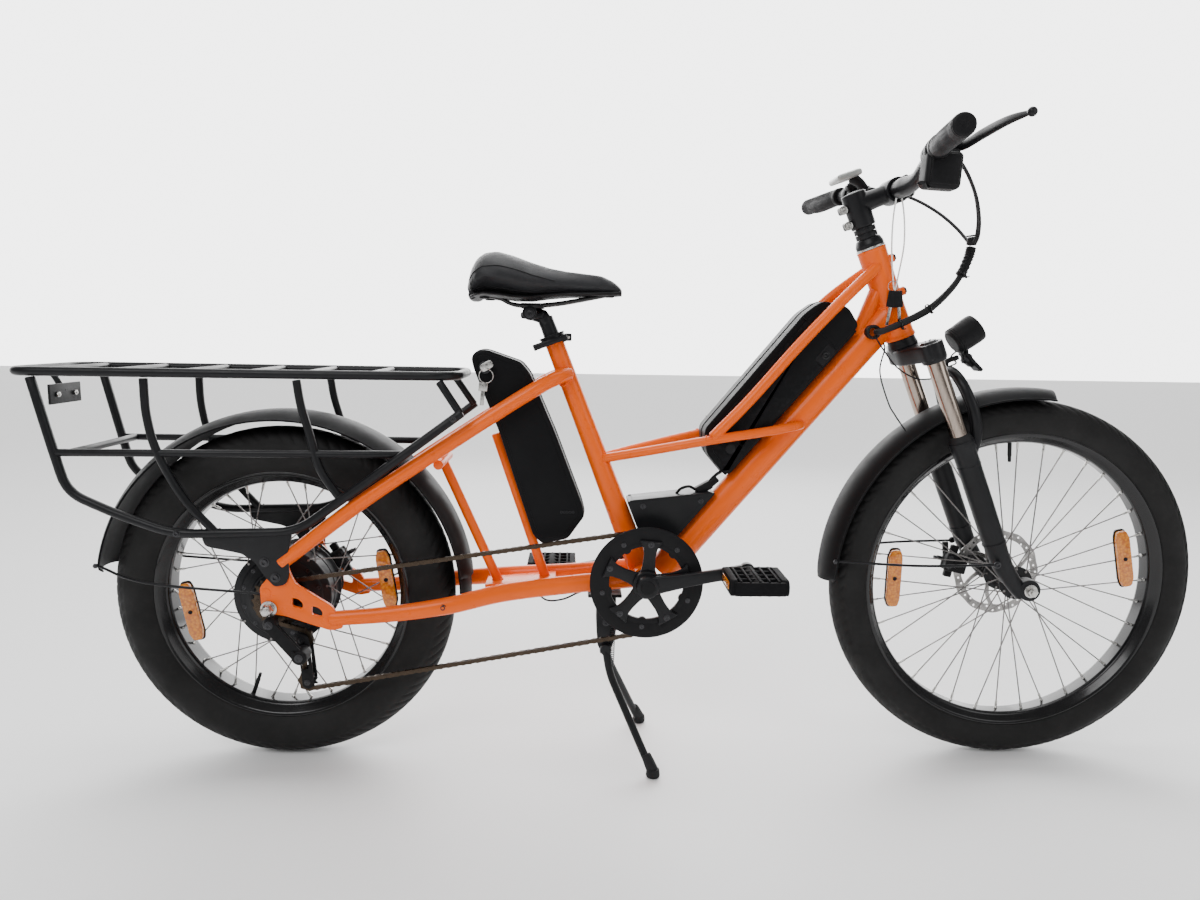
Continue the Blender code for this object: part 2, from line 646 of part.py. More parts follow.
def fork_lowers():
    """The two lower legs, bored for the stanchions and tied by the arch in front of them."""
    arch = [(0.262, 0.030, 0.066), (0.290, 0.048, 0.0655), (0.330, 0.057, 0.0640), (0.372, 0.058, 0.054)]
    arch += [(0.397, 0.058, 0.032), (0.403, 0.058, 0.0)]
    arch += [(up, forward, -side) for up, forward, side in reversed(arch[:-1])]
    made = sweep([steer(*p) for p in arch], 0.0065, 8, flatten=1.25)
    parts = []
    for side in (-1, 1):
        leg = [(-0.006, 0.037), (0.030, 0.026), (0.075, LEG_FORWARD), (0.180, LEG_FORWARD)]
        leg += [(0.292, LEG_FORWARD)]
        radii = [0.0140, 0.0150, 0.0180, LOWER_LEG_R, LOWER_LEG_R + 0.0010]
        path = [steer(up, forward, side * LEG_Y) for up, forward in leg]
        parts.append(sweep(path, radii, 10))
        end = FRONT_AXLE + Y_AXIS * side * (LEG_Y + 0.001)
        parts.append(plug(0.0190, -0.013, 0.013, end, Y_AXIS, 16))
        parts.append(plug(0.0095, -0.004, 0.004, FRONT_AXLE + Y_AXIS * side * 0.0830, Y_AXIS, 6))
    parts.append(plug(0.0050, -0.094, 0.094, FRONT_AXLE, Y_AXIS, 14))
    lamp_arm = [steer(0.4020, 0.0580), steer(0.4150, 0.0640), steer(0.4150, 0.0850)]
    parts.append(sweep(curve_through(lamp_arm, 2), 0.0045, 8))
    made = join(made, *parts)
    bores = []
    for side in (-1, 1):
        foot = steer(0.0, LEG_FORWARD, side * LEG_Y)
        bores.append(plug(STANCHION_R + 2 * GAP, 0.095, 0.30, foot, STEER_UP, 16))
    made = cut(made, *bores)
    keep_largest(made)
    finish(made, "fork_lowers", "black_satin", steer(0.0))


def fender_band(centre, inner, start, stop, half, drop, thickness, steps):
    """A curved mudguard: a crowned strip swept round the wheel from one angle to another."""
    mesh = bmesh.new()
    section = []
    for k in range(5):
        u = -1 + 2 * k / 4
        section.append((inner + thickness - drop * abs(u) ** 2.4, half * u))
    for k in range(5):
        u = 1 - 2 * k / 4
        section.append((inner - drop * abs(u) ** 2.4, (half - 0.0012) * u))
    rings = []
    for s in range(steps + 1):
        angle = radians(start + (stop - start) * s / steps)
        spoke = Vector((cos(angle), 0.0, sin(angle)))
        rings.append([mesh.verts.new(centre + spoke * r + Y_AXIS * y) for r, y in section])
    count = len(section)
    for one, two in zip(rings, rings[1:]):
        for k in range(count):
            mesh.faces.new((one[k], one[(k + 1) % count], two[(k + 1) % count], two[k]))
    mesh.faces.new(rings[0])
    mesh.faces.new(list(reversed(rings[-1])))
    return solid(mesh)


def front_fender():
    inner = FRONT_WHEEL_R + 0.016
    made = fender_band(FRONT_AXLE, inner, 82, 180, 0.0445, 0.016, 0.0026, 13)
    stays = []
    for side in (-1, 1):
        fixing = FRONT_AXLE + Vector((-0.3310, side * 0.0400, 0.040))
        leg = steer(0.070, LEG_FORWARD - 0.0150, side * 0.0874)
        path = curve_through([fixing, (fixing + leg) / 2 + Y_AXIS * side * 0.018, leg], 2)
        stays.append(sweep(path, 0.0022, 6))
    bracket = block(steer(0.370, 0.0440, 0.0), (0.012, 0.020, 0.052), STEER_FORWARD, STEER_UP)
    made = join(made, bracket, *stays)
    finish(made, "front_fender", "black_satin", steer(0.0))


def rear_fender():
    inner = REAR_WHEEL_R + 0.0250
    made = fender_band(REAR_AXLE, inner, -3, 172, 0.0540, 0.014, 0.0026, 17)
    stays = []
    for side in (-1, 1):
        start = REAR_AXLE + Vector((-0.3060, side * 0.0500, 0.0577))
        end = Vector((-0.012, side * (DROPOUT_Y - 0.0055), 0.318))
        path = curve_through([start, start + Vector((0.10, side * 0.034, -0.020)), end], 2)
        stays.append(sweep(path, 0.0022, 6))
    made = join(made, *stays)
    finish(made, "rear_fender", "black_satin")


# ---------------------------------------------------------------- drivetrain
def crank_end(angle, y):
    """The end of a crank arm that points up by an angle from straight ahead."""
    return BB + Vector((CRANK * cos(angle), y, CRANK * sin(angle)))


def crank_arm(angle, y):
    """A tapered arm from the spindle's boss to the pedal's eye."""
    outline = []
    along = Vector((cos(angle), 0.0, sin(angle)))
    side = Vector((-sin(angle), 0.0, cos(angle)))
    stations = [(0.010, 0.0150), (0.060, 0.0110), (0.120, 0.0095), (0.160, 0.0105)]
    for distance, half in stations:
        outline.append(BB + along * distance + side * half)
    for distance, half in reversed(stations):
        outline.append(BB + along * distance - side * half)
    arm = plate([(p.x, p.z) for p in outline], y - 0.006, y + 0.006)
    boss = plug(0.0195, y - 0.009, y + 0.009, BB, Y_AXIS, 16)
    eye = plug(0.0130, y - 0.0065, y + 0.0065, BB + along * CRANK, Y_AXIS, 16)
    return join(bevelled(arm, 0.0025, 1), boss, eye)


def crankset():
    """Right arm with its five-armed spider, the spindle, and the left arm."""
    made = crank_arm(CRANK_TILT, -0.0960)
    spindle = plug(0.0085, -0.100, 0.100, BB, Y_AXIS, 16)
    arms = []
    for k in range(5):
        angle = radians(85 + 72 * k)
        end = BB + Vector((0.072 * cos(angle), -0.0796, 0.072 * sin(angle)))
        start = BB + Vector((0.013 * cos(angle), end.y, 0.013 * sin(angle)))
        along = end - start
        arms.append(block((start + end) / 2, (0.059, 0.0050, 0.013), along, along.cross(Y_AXIS)))
    hub = plug(0.0190, -0.0900, -0.0776, BB, Y_AXIS, 16)
    made = join(made, spindle, hub, *arms)
    made = join(made, crank_arm(CRANK_TILT + pi, 0.0850))
    finish(made, "crankset", "black_satin", BB)


def chainring():
    """The toothed ring with its plain guard outside it."""
    profile = [(0.0665, -0.0764), (0.0970, -0.0764), (0.0970, -0.0730), (0.0730, -0.0730)]
    profile += [(0.0730, CHAIN_Y - 0.0012), (RING_R - 0.0050, CHAIN_Y - 0.0012)]
    profile += [(RING_R - 0.0050, CHAIN_Y + 0.0012), (0.0665, CHAIN_Y + 0.0012)]
    finish(turn(profile, BB, Y_AXIS, 24), "chainring", "black_plastic", BB)


def pedal(name, angle, side):
    """A flat platform pedal with its spindle bore on the crank's eye."""
    eye_y = -0.0960 if side < 0 else 0.0850
    pivot = crank_end(angle, eye_y)
    near = pivot.y + side * (0.0065 + GAP)
    centre = Vector((pivot.x, near + side * 0.056, pivot.z))
    rails = []
    for offset in (-0.040, 0.040):
        rails.append(block(centre + Vector((offset, 0.0, 0.0)), (0.012, 0.092, 0.026)))
    for offset in (-0.044, 0.0, 0.044):
        rails.append(block(centre + Vector((0.0, offset, 0.0)), (0.080, 0.007, 0.022)))
    core = plug(0.0105, near * side, (near + side * 0.100) * side, (pivot.x, 0.0, pivot.z), Y_AXIS * side, 14)
    made = join(core, *rails)
    finish(made, name, "black_plastic", pivot)
    return pivot


DERAILLEUR_PIVOT = Vector((0.004, -0.103, 0.272))
CAGE_PIVOT = Vector((0.050, CHAIN_Y, 0.214))
UPPER_PULLEY = Vector((0.044, CHAIN_Y, 0.232))
LOWER_PULLEY = Vector((0.052, CHAIN_Y, 0.157))
PULLEY_R = 0.0150


def derailleur():
    """The swinging body on its hanger bolt, and the cage with its two pulleys."""
    body = bevelled(block((0.026, -0.1090, 0.243), (0.072, 0.014, 0.022), (0.60, 0.10, -0.78)), 0.003, 1)
    bolt = plug(0.0085, -0.1180, -0.1012, (DERAILLEUR_PIVOT.x, 0.0, DERAILLEUR_PIVOT.z), Y_AXIS, 12)
    knuckle = plug(0.0120, -0.1140, -0.0820, (CAGE_PIVOT.x, 0.0, CAGE_PIVOT.z), Y_AXIS, 14)
    finish(join(body, bolt, knuckle), "derailleur_body", "black_plastic", DERAILLEUR_PIVOT)
    made = plug(0.0110, -0.0814, -0.0776, (CAGE_PIVOT.x, 0.0, CAGE_PIVOT.z), Y_AXIS, 14)
    upper_edge = [(-0.010, 0.012), (0.012, 0.008)]
    lower_edge = [(0.012, 0.0), (0.004, -0.013), (-0.008, -0.008), (-0.010, 0.020)]
    outline = [(UPPER_PULLEY.x + x, UPPER_PULLEY.z + z) for x, z in upper_edge]
    outline += [(LOWER_PULLEY.x + x, LOWER_PULLEY.z + z) for x, z in lower_edge]
    parts = [plate(outline, -0.0790, -0.0770), plate(outline, -0.0590, -0.0570)]
    for pulley in (UPPER_PULLEY, LOWER_PULLEY):
        parts.append(plug(0.0060, -0.0785, -0.0575, (pulley.x, 0.0, pulley.z), Y_AXIS, 8))
        parts.append(plug(PULLEY_R - 0.0050, -0.0695, -0.0665, (pulley.x, 0.0, pulley.z), Y_AXIS, 12))
    finish(join(made, *parts), "derailleur_cage", "black_plastic", CAGE_PIVOT)


def arc_points(centre, radius, start, stop, steps):
    """Points round a centre in the chain's plane, from one angle to another."""
    made = []
    for s in range(steps + 1):
        angle = radians(start + (stop - start) * s / steps)
        made.append(Vector((centre.x + radius * cos(angle), CHAIN_Y, centre.z + radius * sin(angle))))
    return made


def chain():
    """The chain as one closed belt round the ring, the sprocket and both pulleys."""
    cog = REAR_AXLE
    path = arc_points(BB, RING_R + 0.0005, -82, 98, 14)
    path += arc_points(cog, COG_R, 98, 268, 10)
    path += arc_points(UPPER_PULLEY, PULLEY_R, 75, -60, 4)
    path += arc_points(LOWER_PULLEY, PULLEY_R, 130, 278, 5)
    mesh = bmesh.new()
    rings = []
    count = len(path)
    for i, point in enumerate(path):
        along = (path[(i + 1) % count] - path[i - 1]).normalized()
        out = along.cross(Y_AXIS)
        corners = [(-1, -1), (1, -1), (1, 1), (-1, 1)]
        rings.append([mesh.verts.new(point + out * a * CHAIN_HALF_HEIGHT + Y_AXIS * b * CHAIN_HALF_WIDTH)
                      for a, b in corners])
    for i in range(count):
        one = rings[i]
        two = rings[(i + 1) % count]
        for k in range(4):
            mesh.faces.new((one[k], one[(k + 1) % 4], two[(k + 1) % 4], two[k]))
    finish(solid(mesh), "chain", "chain_steel")


# ---------------------------------------------------------------- brakes
def caliper(name, axle, angle, y, radius, pivot, mount):
    """A brake caliper that straddles the disc's rim on one side, with its mounting arm."""
    out = Vector((cos(angle), 0.0, sin(angle)))
    centre = axle + out * (radius + 0.002) + Y_AXIS * y
    body = bevelled(block(centre, (0.040, 0.026, 0.036), out), 0.003, 1)
    slot = block(centre - out * 0.014, (0.040, 0.0036, 0.060), out)
    made = cut(body, slot)
    arm = sweep([centre + Y_AXIS * 0.010 + out * 0.012, Vector(mount)], 0.0055, 8)
    made = join(made, arm)
    finish(made, name, "black_plastic", pivot)


# ---------------------------------------------------------------- saddle and post
def rail_path(side):
    """One of the saddle's two rails, from the raised rear to the nose."""
    points = [(0.345, 0.045, 0.811), (0.400, 0.024, 0.794), (0.440, 0.021, 0.791)]
    points += [(0.500, 0.020, 0.793), (0.560, 0.010, 0.817)]
    return curve_through([mirrored(p, side) for p in points], 2)


def seat_group():
    """Post, rails and saddle, which slide together in the seat tube."""
    low = SEAT_TUBE_LENGTH - 0.250
    high = SEAT_TUBE_LENGTH + 0.032
    post = plug(SEAT_POST_R, low, high, SEAT_TUBE_LOW, SEAT_UP, 14)
    head = block(seat_line(high) + Vector((0.002, 0.0, 0.006)), (0.050, 0.052, 0.024))
    head = bevelled(head, 0.004, 1)
    rails = [sweep(rail_path(side), RAIL_R, 6) for side in (-1, 1)]
    finish(join(post, head, *rails), "seat_post", "black_satin", SEAT_TUBE_TOP)
    sections = [(0.318, 0.050, 0.808, 0.838), (0.330, 0.086, 0.806, 0.866), (0.360, 0.098, 0.808, 0.882)]
    sections += [(0.400, 0.094, 0.812, 0.880), (0.440, 0.070, 0.812, 0.868), (0.480, 0.044, 0.812, 0.856)]
    sections += [(0.530, 0.029, 0.812, 0.846), (0.570, 0.023, 0.814, 0.838), (0.588, 0.014, 0.819, 0.830)]
    mesh = bmesh.new()
    rings = []
    for x, half, low, high in sections:
        loop = []
        for k in range(10):
            angle = 2 * pi * k / 10
            wide = half * abs(cos(angle)) ** 0.8 * (1 if cos(angle) >= 0 else -1)
            rise = sin(angle)
            z = (low + high) / 2 + (high - low) / 2 * rise
            droop = 0.25 * (high - low) * (abs(cos(angle)) if rise > 0 else 0.0)
            loop.append(mesh.verts.new((x, wide, z - droop)))
        rings.append(loop)
    for one, two in zip(rings, rings[1:]):
        for k in range(10):
            mesh.faces.new((one[k], one[(k + 1) % 10], two[(k + 1) % 10], two[k]))
    mesh.faces.new(rings[0])
    mesh.faces.new(list(reversed(rings[-1])))
    saddle = solid(mesh)
    channel = [sweep(rail_path(side), RAIL_R + GAP, 6) for side in (-1, 1)]
    saddle = cut(saddle, *channel)
    keep_largest(saddle)
    finish(saddle, "saddle", "saddle_skin", SEAT_TUBE_TOP)


COLLAR_PIVOT = SEAT_TUBE_TOP + Vector((0.0215, -0.0190, -0.002))


def seat_collar():
    """The clamp ring at the top of the seat tube, and its quick release lever."""
    low = SEAT_TUBE_LENGTH - 0.013
    made = ring(0.0172, 0.0215, low, SEAT_TUBE_LENGTH + 0.003, SEAT_TUBE_LOW, SEAT_UP, 16)
    ear = block(seat_line(SEAT_TUBE_LENGTH - 0.005) + Vector((0.0255, 0.0, 0.004)), (0.012, 0.026, 0.013))
    made = join(made, ear)
    finish(made, "seat_collar", "black_satin")
    barrel = plug(0.0052, -0.0062, 0.0062, COLLAR_PIVOT, SEAT_UP, 12)
    points = [(0.0, -0.0010, 0.0), (-0.026, -0.0100, -0.008), (-0.052, -0.0105, -0.018)]
    path = curve_through([COLLAR_PIVOT + Vector(p) for p in points], 2)
    blade = sweep(path, 0.0042, 6, flatten=0.6)
    finish(join(barrel, blade), "seat_lever", "black_satin", COLLAR_PIVOT)


# ---------------------------------------------------------------- batteries and electrics
def rear_battery():
    """The battery between the stays, standing along the seat tube, and its key."""
    outline = [(0.329, 0.712), (0.336, 0.722), (0.352, 0.726), (0.412, 0.706), (0.426, 0.690)]
    outline += [(0.470, 0.588), (0.519, 0.462), (0.522, 0.444), (0.494, 0.406), (0.455, 0.396)]
    outline += [(0.438, 0.408), (0.376, 0.590), (0.333, 0.696)]
    made = bevelled(plate(outline, -0.036, 0.036), 0.006, 2)
    strut = sweep([(0.368, 0.0, 0.582), (0.456, 0.0, 0.322)], 0.0085 + GAP, 10)
    made = cut(made, strut)
    keep_largest(made)
    finish(made, "rear_battery", "black_plastic")
    pivot = Vector((0.353, -0.036, 0.698))
    barrel = plug(0.0062, 0.0364, 0.0420, (pivot.x, 0.0, pivot.z), -Y_AXIS, 12)
    bow = block((pivot.x, -0.0470, pivot.z), (0.018, 0.012, 0.0026))
    finish(join(barrel, bow), "battery_key", "steel", pivot)


def front_battery():
    """The battery on the down tube, between the two top tubes."""
    stations = [(0.205, 0.040), (0.212, 0.085), (0.240, 0.116)]
    stations += [(0.500, 0.119), (0.535, 0.110), (0.556, 0.070)]
    outline = [(p.x, p.z) for p in (down_point(d, DOWN_TUBE_R + 0.010) for d in (0.545, 0.205))]
    outline += [(p.x, p.z) for p in (down_point(d, out) for d, out in stations)]
    made = bevelled(plate(outline, -0.0385, 0.0385), 0.007, 2)
    finish(made, "front_battery", "black_plastic")


def controller():
    """The controller box in the corner over the bottom bracket, with its plug."""
    outline = [(0.598, 0.468), (0.753, 0.4855), (0.711, 0.435), (0.669, 0.385)]
    outline += [(0.634, 0.383), (0.6235, 0.404), (0.613, 0.430)]
    made = bevelled(plate(outline, -CONTROLLER_HALF, CONTROLLER_HALF), 0.004, 1)
    seat = sweep([seat_line(0.0), seat_line(0.30)], [0.0230, 0.0200], 12, flatten=0.96)
    down = sweep([down_point(-0.02), down_point(0.4)], DOWN_TUBE_R + 0.0010, 12, flatten=0.94)
    made = cut(made, seat, down)
    keep_largest(made)
    finish(made, "controller_box", "black_plastic")


# ---------------------------------------------------------------- stand
def kickstand():
    """The bracket under the chain stays and the two-legged stand on its pivot."""
    middle = STAND_PIVOT.x
    made = bevelled(block((middle, 0.0, 0.254), (0.034, 0.050, 0.088)), 0.003, 1)
    made = cut(made, block((middle, 0.0, 0.212), (0.036, 0.030, 0.040)))
    top = block((middle - 0.003, 0.0, 0.2985), (0.060, 0.066, 0.006))
    made = join(made, top)
    for side in SIDES.values():
        points = [(0.500, 0.040, 0.322), (0.626, 0.036, 0.334)]
        made = cut(made, sweep([mirrored(p, side) for p in points], 0.0175, 12))
    keep_largest(made)
    pin = plug(0.0050 + GAP, -0.04, 0.04, STAND_PIVOT, Y_AXIS, 12)
    finish(cut(made, pin), "stand_bracket", "black_satin")
    legs = plug(0.0050, -0.0300, 0.0300, STAND_PIVOT, Y_AXIS, 12)
    parts = [block(STAND_PIVOT + Vector((0.0, 0.0, -0.004)), (0.020, 0.0285, 0.022))]
    for name, side in SIDES.items():
        foot_x = STAND_FOOT_X[name]
        points = [STAND_PIVOT + Vector((0.0, side * 0.029, 0.0)), (middle + 0.0045, side * 0.034, 0.156)]
        points += [(foot_x - 0.003, side * (STAND_FOOT_Y - 0.003), 0.010)]
        parts.append(sweep(points, 0.0068, 8))
        foot = (foot_x, side * STAND_FOOT_Y, 0.0)
        parts.append(plug(0.0120, 0.0, 0.016, foot, (0.0, 0.0, 1.0), 10, 0.002))
    finish(join(legs, *parts), "kickstand", "black_satin", STAND_PIVOT)


# ---------------------------------------------------------------- cockpit
BAR_CENTRE = steer(0.723, 0.067)


def bar_path(side):
    points = [(BAR_CENTRE.x, 0.0, BAR_CENTRE.z), (BAR_CENTRE.x, 0.035, BAR_CENTRE.z)]
    points += [(1.046, 0.090, 1.008), (1.038, 0.150, 1.022), (1.022, 0.235, 1.031)]
    points += [(0.997, 0.362, 1.029)]
    return [mirrored(p, side) for p in points]


def cockpit():
    bore = STEERER_R + GAP
    profile = [(bore, HEAD_HIGH + GAP), (HEAD_TUBE_R, HEAD_HIGH + GAP), (0.0225, 0.6650), (0.0185, 0.6650)]
    profile += [(0.0185, 0.7010), (0.0205, 0.7030), (0.0205, 0.7440), (bore, 0.7440)]
    stem = turn(profile, STEER_BASE, STEER_UP, 16)
    clamp = plug(0.0210, -0.024, 0.024, BAR_CENTRE, Y_AXIS, 14)
    neck = sweep([steer(0.7235, 0.0175), steer(0.7235, 0.050)], [0.0165, 0.0150], 12, flatten=1.1)
    stem = join(stem, clamp, neck)
    bar_hole = plug(0.0174, -0.03, 0.03, BAR_CENTRE, Y_AXIS, 16)
    finish(cut(stem, bar_hole), "stem", "black_satin", steer(HEAD_LOW))
    right = bar_path(-1)
    left = bar_path(1)
    path = list(reversed(curve_through(right, 2))) + curve_through(left, 2)[1:]
    radii = []
    for point in path:
        away = abs(point.y)
        radii.append(0.0159 if away < 0.05 else max(0.0111, 0.0159 - (away - 0.05) * 0.08))
    bar = sweep(path, radii, 10, side_hint=Vector((1, 0, 0)))
    finish(bar, "handlebar", "black_satin", steer(HEAD_LOW))
    for name, side in SIDES.items():
        grip_path = [p for p in curve_through(bar_path(side), 2) if abs(p.y) > 0.233]
        outer_end = grip_path[-1] + (grip_path[-1] - grip_path[-2]).normalized() * 0.004
        grip = sweep(grip_path[:-1] + [outer_end], 0.0168, 10, side_hint=Vector((1, 0, 0)))
        hole_path = curve_through(bar_path(side), 2)
        hole_path = [p for p in hole_path if abs(p.y) > 0.15]
        hole = sweep(hole_path, 0.0111 + GAP, 10, side_hint=Vector((1, 0, 0)))
        grip = cut(grip, hole)
        finish(grip, "grip_" + name, "grip_rubber", steer(HEAD_LOW))


LEVER_PIVOT = Vector((1.056, 0.196, 1.036))
LEVER_BLADE = [(-0.004, -0.006, 0.0), (0.010, 0.014, 0.001), (0.019, 0.056, 0.009)]
LEVER_BLADE += [(0.024, 0.114, 0.013), (0.032, 0.160, 0.013)]


def brake_levers():
    """Each side's lever body clamped to the bar, and the blade on its pivot."""
    for name, side in SIDES.items():
        bar_near = [p for p in curve_through(bar_path(side), 2) if 0.13 < abs(p.y) < 0.30]
        clamp_centre = mirrored((1.0305, 0.190, 1.0273), side)
        along = (bar_near[-1] - bar_near[0]).normalized()
        ring_body = plug(0.0175, -0.007, 0.007, clamp_centre, along, 16)
        pivot = mirrored(LEVER_PIVOT, side)
        middle = (clamp_centre + pivot) / 2 + Vector((0.004, 0.0, 0.0))
        arm = block(middle, (0.032, 0.020, 0.014), pivot - clamp_centre)
        body = join(ring_body, bevelled(arm, 0.002, 1))
        body = cut(body, sweep(bar_near, 0.0128, 10, side_hint=Vector((1, 0, 0))))
        body = cut(body, block(pivot + Vector((0.003, 0.0, 0.0)), (0.024, 0.040, 0.0072)))
        keep_largest(body)
        if side < 0:
            body = join(body, shifter())
        finish(body, "lever_body_" + name, "black_satin", steer(HEAD_LOW))
        path = curve_through([pivot + mirrored(p, side) for p in LEVER_BLADE], 3)
        blade = sweep(path, 0.0031, 8, flatten=1.0, side_hint=Vector((0, 0, 1)))
        knob = plug(0.0060, -0.005, 0.005, path[-1], path[-1] - path[-2], 10)
        finish(join(blade, knob), "brake_lever_" + name, "black_satin", pivot)


def shifter():
    """The shifter box under the right end of the bar."""
    box = bevelled(block((1.036, -0.209, 1.001), (0.056, 0.036, 0.056), (1.0, 0.0, -0.05)), 0.004, 1)
    path = [p for p in curve_through(bar_path(-1), 2) if 0.13 < abs(p.y) < 0.30]
    box = cut(box, sweep(path, 0.0128, 10, side_hint=Vector((1, 0, 0))))
    keep_largest(box)
    return box


def bar_controls():
    """The display clamped beside the left grip."""
    screen = bevelled(block((0.998, 0.125, 1.049), (0.046, 0.062, 0.012), (1.0, 0.0, 0.35)), 0.003, 2)
    foot = sweep([(1.040, 0.125, 1.020), (1.014, 0.125, 1.050)], 0.010, 8)
    display = join(screen, foot)
    path = [p for p in curve_through(bar_path(1), 2) if 0.05 < abs(p.y) < 0.22]
    display = cut(display, sweep(path, 0.0140, 10, side_hint=Vector((1, 0, 0))))
    keep_largest(display)
    finish(display, "display", "display_grey", steer(HEAD_LOW))


LAMP_PIVOT = steer(0.4220, 0.0780)


def headlight():
    """The lamp that tilts on the bracket of the fork arch."""
    aim = Vector((0.62, 0.0, 0.45)).normalized()
    centre = Vector((1.184, 0.0, 0.764))
    profile = [(0.0, -0.0245), (0.0185, -0.0245), (0.0255, -0.0170), (0.0255, 0.0190)]
    profile += [(0.0225, 0.0245), (0.0, 0.0245)]
    lamp = turn(profile, centre, aim, 20)
    tail = block(centre + Vector((0.004, 0.0, -0.036)), (0.012, 0.012, 0.026), (1.0, 0.0, 0.2))
    finish(join(lamp, tail), "headlight", "black_plastic", LAMP_PIVOT)


# ---------------------------------------------------------------- cables
def cable(name, points, radius, pivot=None, per_span=4, resolution=2):
    """A cable: a smooth curve through its route's points, with filled ends."""
    path = curve_through(points, per_span)
    pivot = Vector(pivot) if pivot is not None else Vector((0.0, 0.0, 0.0))
    data = bpy.data.curves.new(name, "CURVE")
    data.dimensions = "3D"
    line = data.splines.new("POLY")
    line.points.add(len(path) - 1)
    for spot, point in zip(line.points, path):
        spot.co = (*(point - pivot), 1.0)
    data.bevel_depth = radius
    data.bevel_resolution = resolution
    data.use_fill_caps = True
    made = bpy.data.objects.new(name, data)
    bpy.context.scene.collection.objects.link(made)
    made.data.materials.append(material("black_plastic"))
    made.parent = ROOT
    made.location = pivot
    return made


def cables():
    """The loom from the steering to the down tube, and the bar's two cables in one sleeve."""
    loom = [(1.013, -0.037, 0.767), (1.024, -0.048, 0.770), (1.069, -0.052, 0.7915)]
    loom += [(1.108, -0.046, 0.8145), (1.1495, -0.032, 0.8535), (1.170, -0.024, 0.893)]
    loom += [(1.176, -0.020, 0.912)]
    cable("cable_loom", loom, 0.0050)
    right = [(1.052, -0.176, 1.036), (1.085, -0.163, 1.022), (1.123, -0.130, 0.989)]
    right += [(1.151, -0.090, 0.957), (1.170, -0.050, 0.932), (1.1755, -0.0270, 0.9165)]
    left = [(1.052, 0.176, 1.036), (1.080, 0.145, 1.030), (1.115, 0.100, 1.010)]
    left += [(1.143, 0.055, 0.981), (1.163, 0.016, 0.949), (1.1745, -0.0200, 0.9165)]
    pair = [sweep(curve_through(route, 3), 0.0028, 5) for route in (right, left)]
    sleeve = sweep([(1.1750, -0.0225, 0.9250), (1.1755, -0.0210, 0.9160)], 0.0075, 12)
    finish(join(sleeve, *pair), "brake_cables", "black_plastic", steer(HEAD_LOW))


head_tube()
down_tube()
seat_tube()
braces_and_top_tubes()
rear_triangle()
centre_struts()
rack_top()
rack_sides()
wheel("rear", REAR_AXLE, REAR_WHEEL_R, REAR_TYRE_R, 0.0835, 0.032, 0.036)
wheel("front", FRONT_AXLE, FRONT_WHEEL_R, FRONT_TYRE_R, 0.0292, 0.0290, 0.027)
rotor("rear", REAR_AXLE, 0.080, 0.0620, 0.0150)
rotor("front", FRONT_AXLE, 0.080, 0.0440, 0.0150)
rear_hub()
freewheel()
rear_axle()
front_hub()
fork_crown()
fork_lowers()
front_fender()
rear_fender()
crankset()
chainring()
pedal("pedal_right", CRANK_TILT, -1)
pedal("pedal_left", CRANK_TILT + pi, 1)
derailleur()
chain()
caliper("rear_caliper", REAR_AXLE, radians(30), 0.0620, 0.080, None, (0.075, 0.0870, 0.345))
caliper("front_caliper", FRONT_AXLE, radians(168), 0.0440, 0.080, steer(0.0), steer(0.085, -0.0200, 0.056))
seat_group()
seat_collar()
rear_battery()
front_battery()
controller()
kickstand()
cockpit()
brake_levers()
bar_controls()
headlight()
cables()
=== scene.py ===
import json
from math import cos, pi, radians, sin, sqrt

import bmesh
import bpy
from mathutils import Matrix, Vector
from mathutils.bvhtree import BVHTree


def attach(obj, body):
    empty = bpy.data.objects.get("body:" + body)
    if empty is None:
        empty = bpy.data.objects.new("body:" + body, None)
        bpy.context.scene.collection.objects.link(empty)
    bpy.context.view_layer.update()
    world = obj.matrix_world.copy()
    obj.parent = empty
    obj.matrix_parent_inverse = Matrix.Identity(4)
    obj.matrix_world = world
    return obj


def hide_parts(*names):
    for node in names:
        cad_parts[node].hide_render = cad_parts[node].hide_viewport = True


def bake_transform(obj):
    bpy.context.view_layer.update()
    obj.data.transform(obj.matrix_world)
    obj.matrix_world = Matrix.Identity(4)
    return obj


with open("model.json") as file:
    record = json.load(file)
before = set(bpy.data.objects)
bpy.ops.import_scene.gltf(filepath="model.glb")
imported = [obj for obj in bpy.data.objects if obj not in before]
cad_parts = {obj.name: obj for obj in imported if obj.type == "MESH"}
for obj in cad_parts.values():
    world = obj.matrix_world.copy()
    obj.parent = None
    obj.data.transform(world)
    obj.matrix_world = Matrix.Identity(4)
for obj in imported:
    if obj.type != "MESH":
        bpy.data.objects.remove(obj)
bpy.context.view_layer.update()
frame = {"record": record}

BODY_OF = {node: body for body, nodes in frame["record"]["behaviour"]["bodies"].items() for node in nodes}

# ---------------------------------------------------------------- driving dimensions, as in the CAD
SHIFT = Vector((-0.612, 0.0, 0.0))
WHEELBASE = 1.297
REAR_WHEEL_R = 0.2955
REAR_TYRE_R = 0.0465
FRONT_WHEEL_R = 0.3271
FRONT_TYRE_R = 0.0357
RIM_DEPTH = 0.012
SPOKES = 36
DROPOUT_Y = 0.097
HEAD_ANGLE = radians(68)
FORK_RAKE = 0.0475
LEG_Y = 0.066
LEG_FORWARD = 0.019
STANCHION_R = 0.0145
LOWER_LEG_R = 0.0195
HEAD_LOW = 0.484
HEAD_HIGH = 0.646
HEAD_TUBE_R = 0.0245
STEERER_R = 0.0143
BB = Vector((0.631, 0.0, 0.336))
BB_SHELL_R = 0.0215
BB_HALF = 0.050
CRANK = 0.170
CRANK_TILT = radians(10)
CHAIN_Y = -0.068
RING_R = 0.0885
COG_R = 0.0338
SEAT_POST_R = 0.0136
SEAT_TUBE_TOP = Vector((0.4645, 0.0, 0.7511))
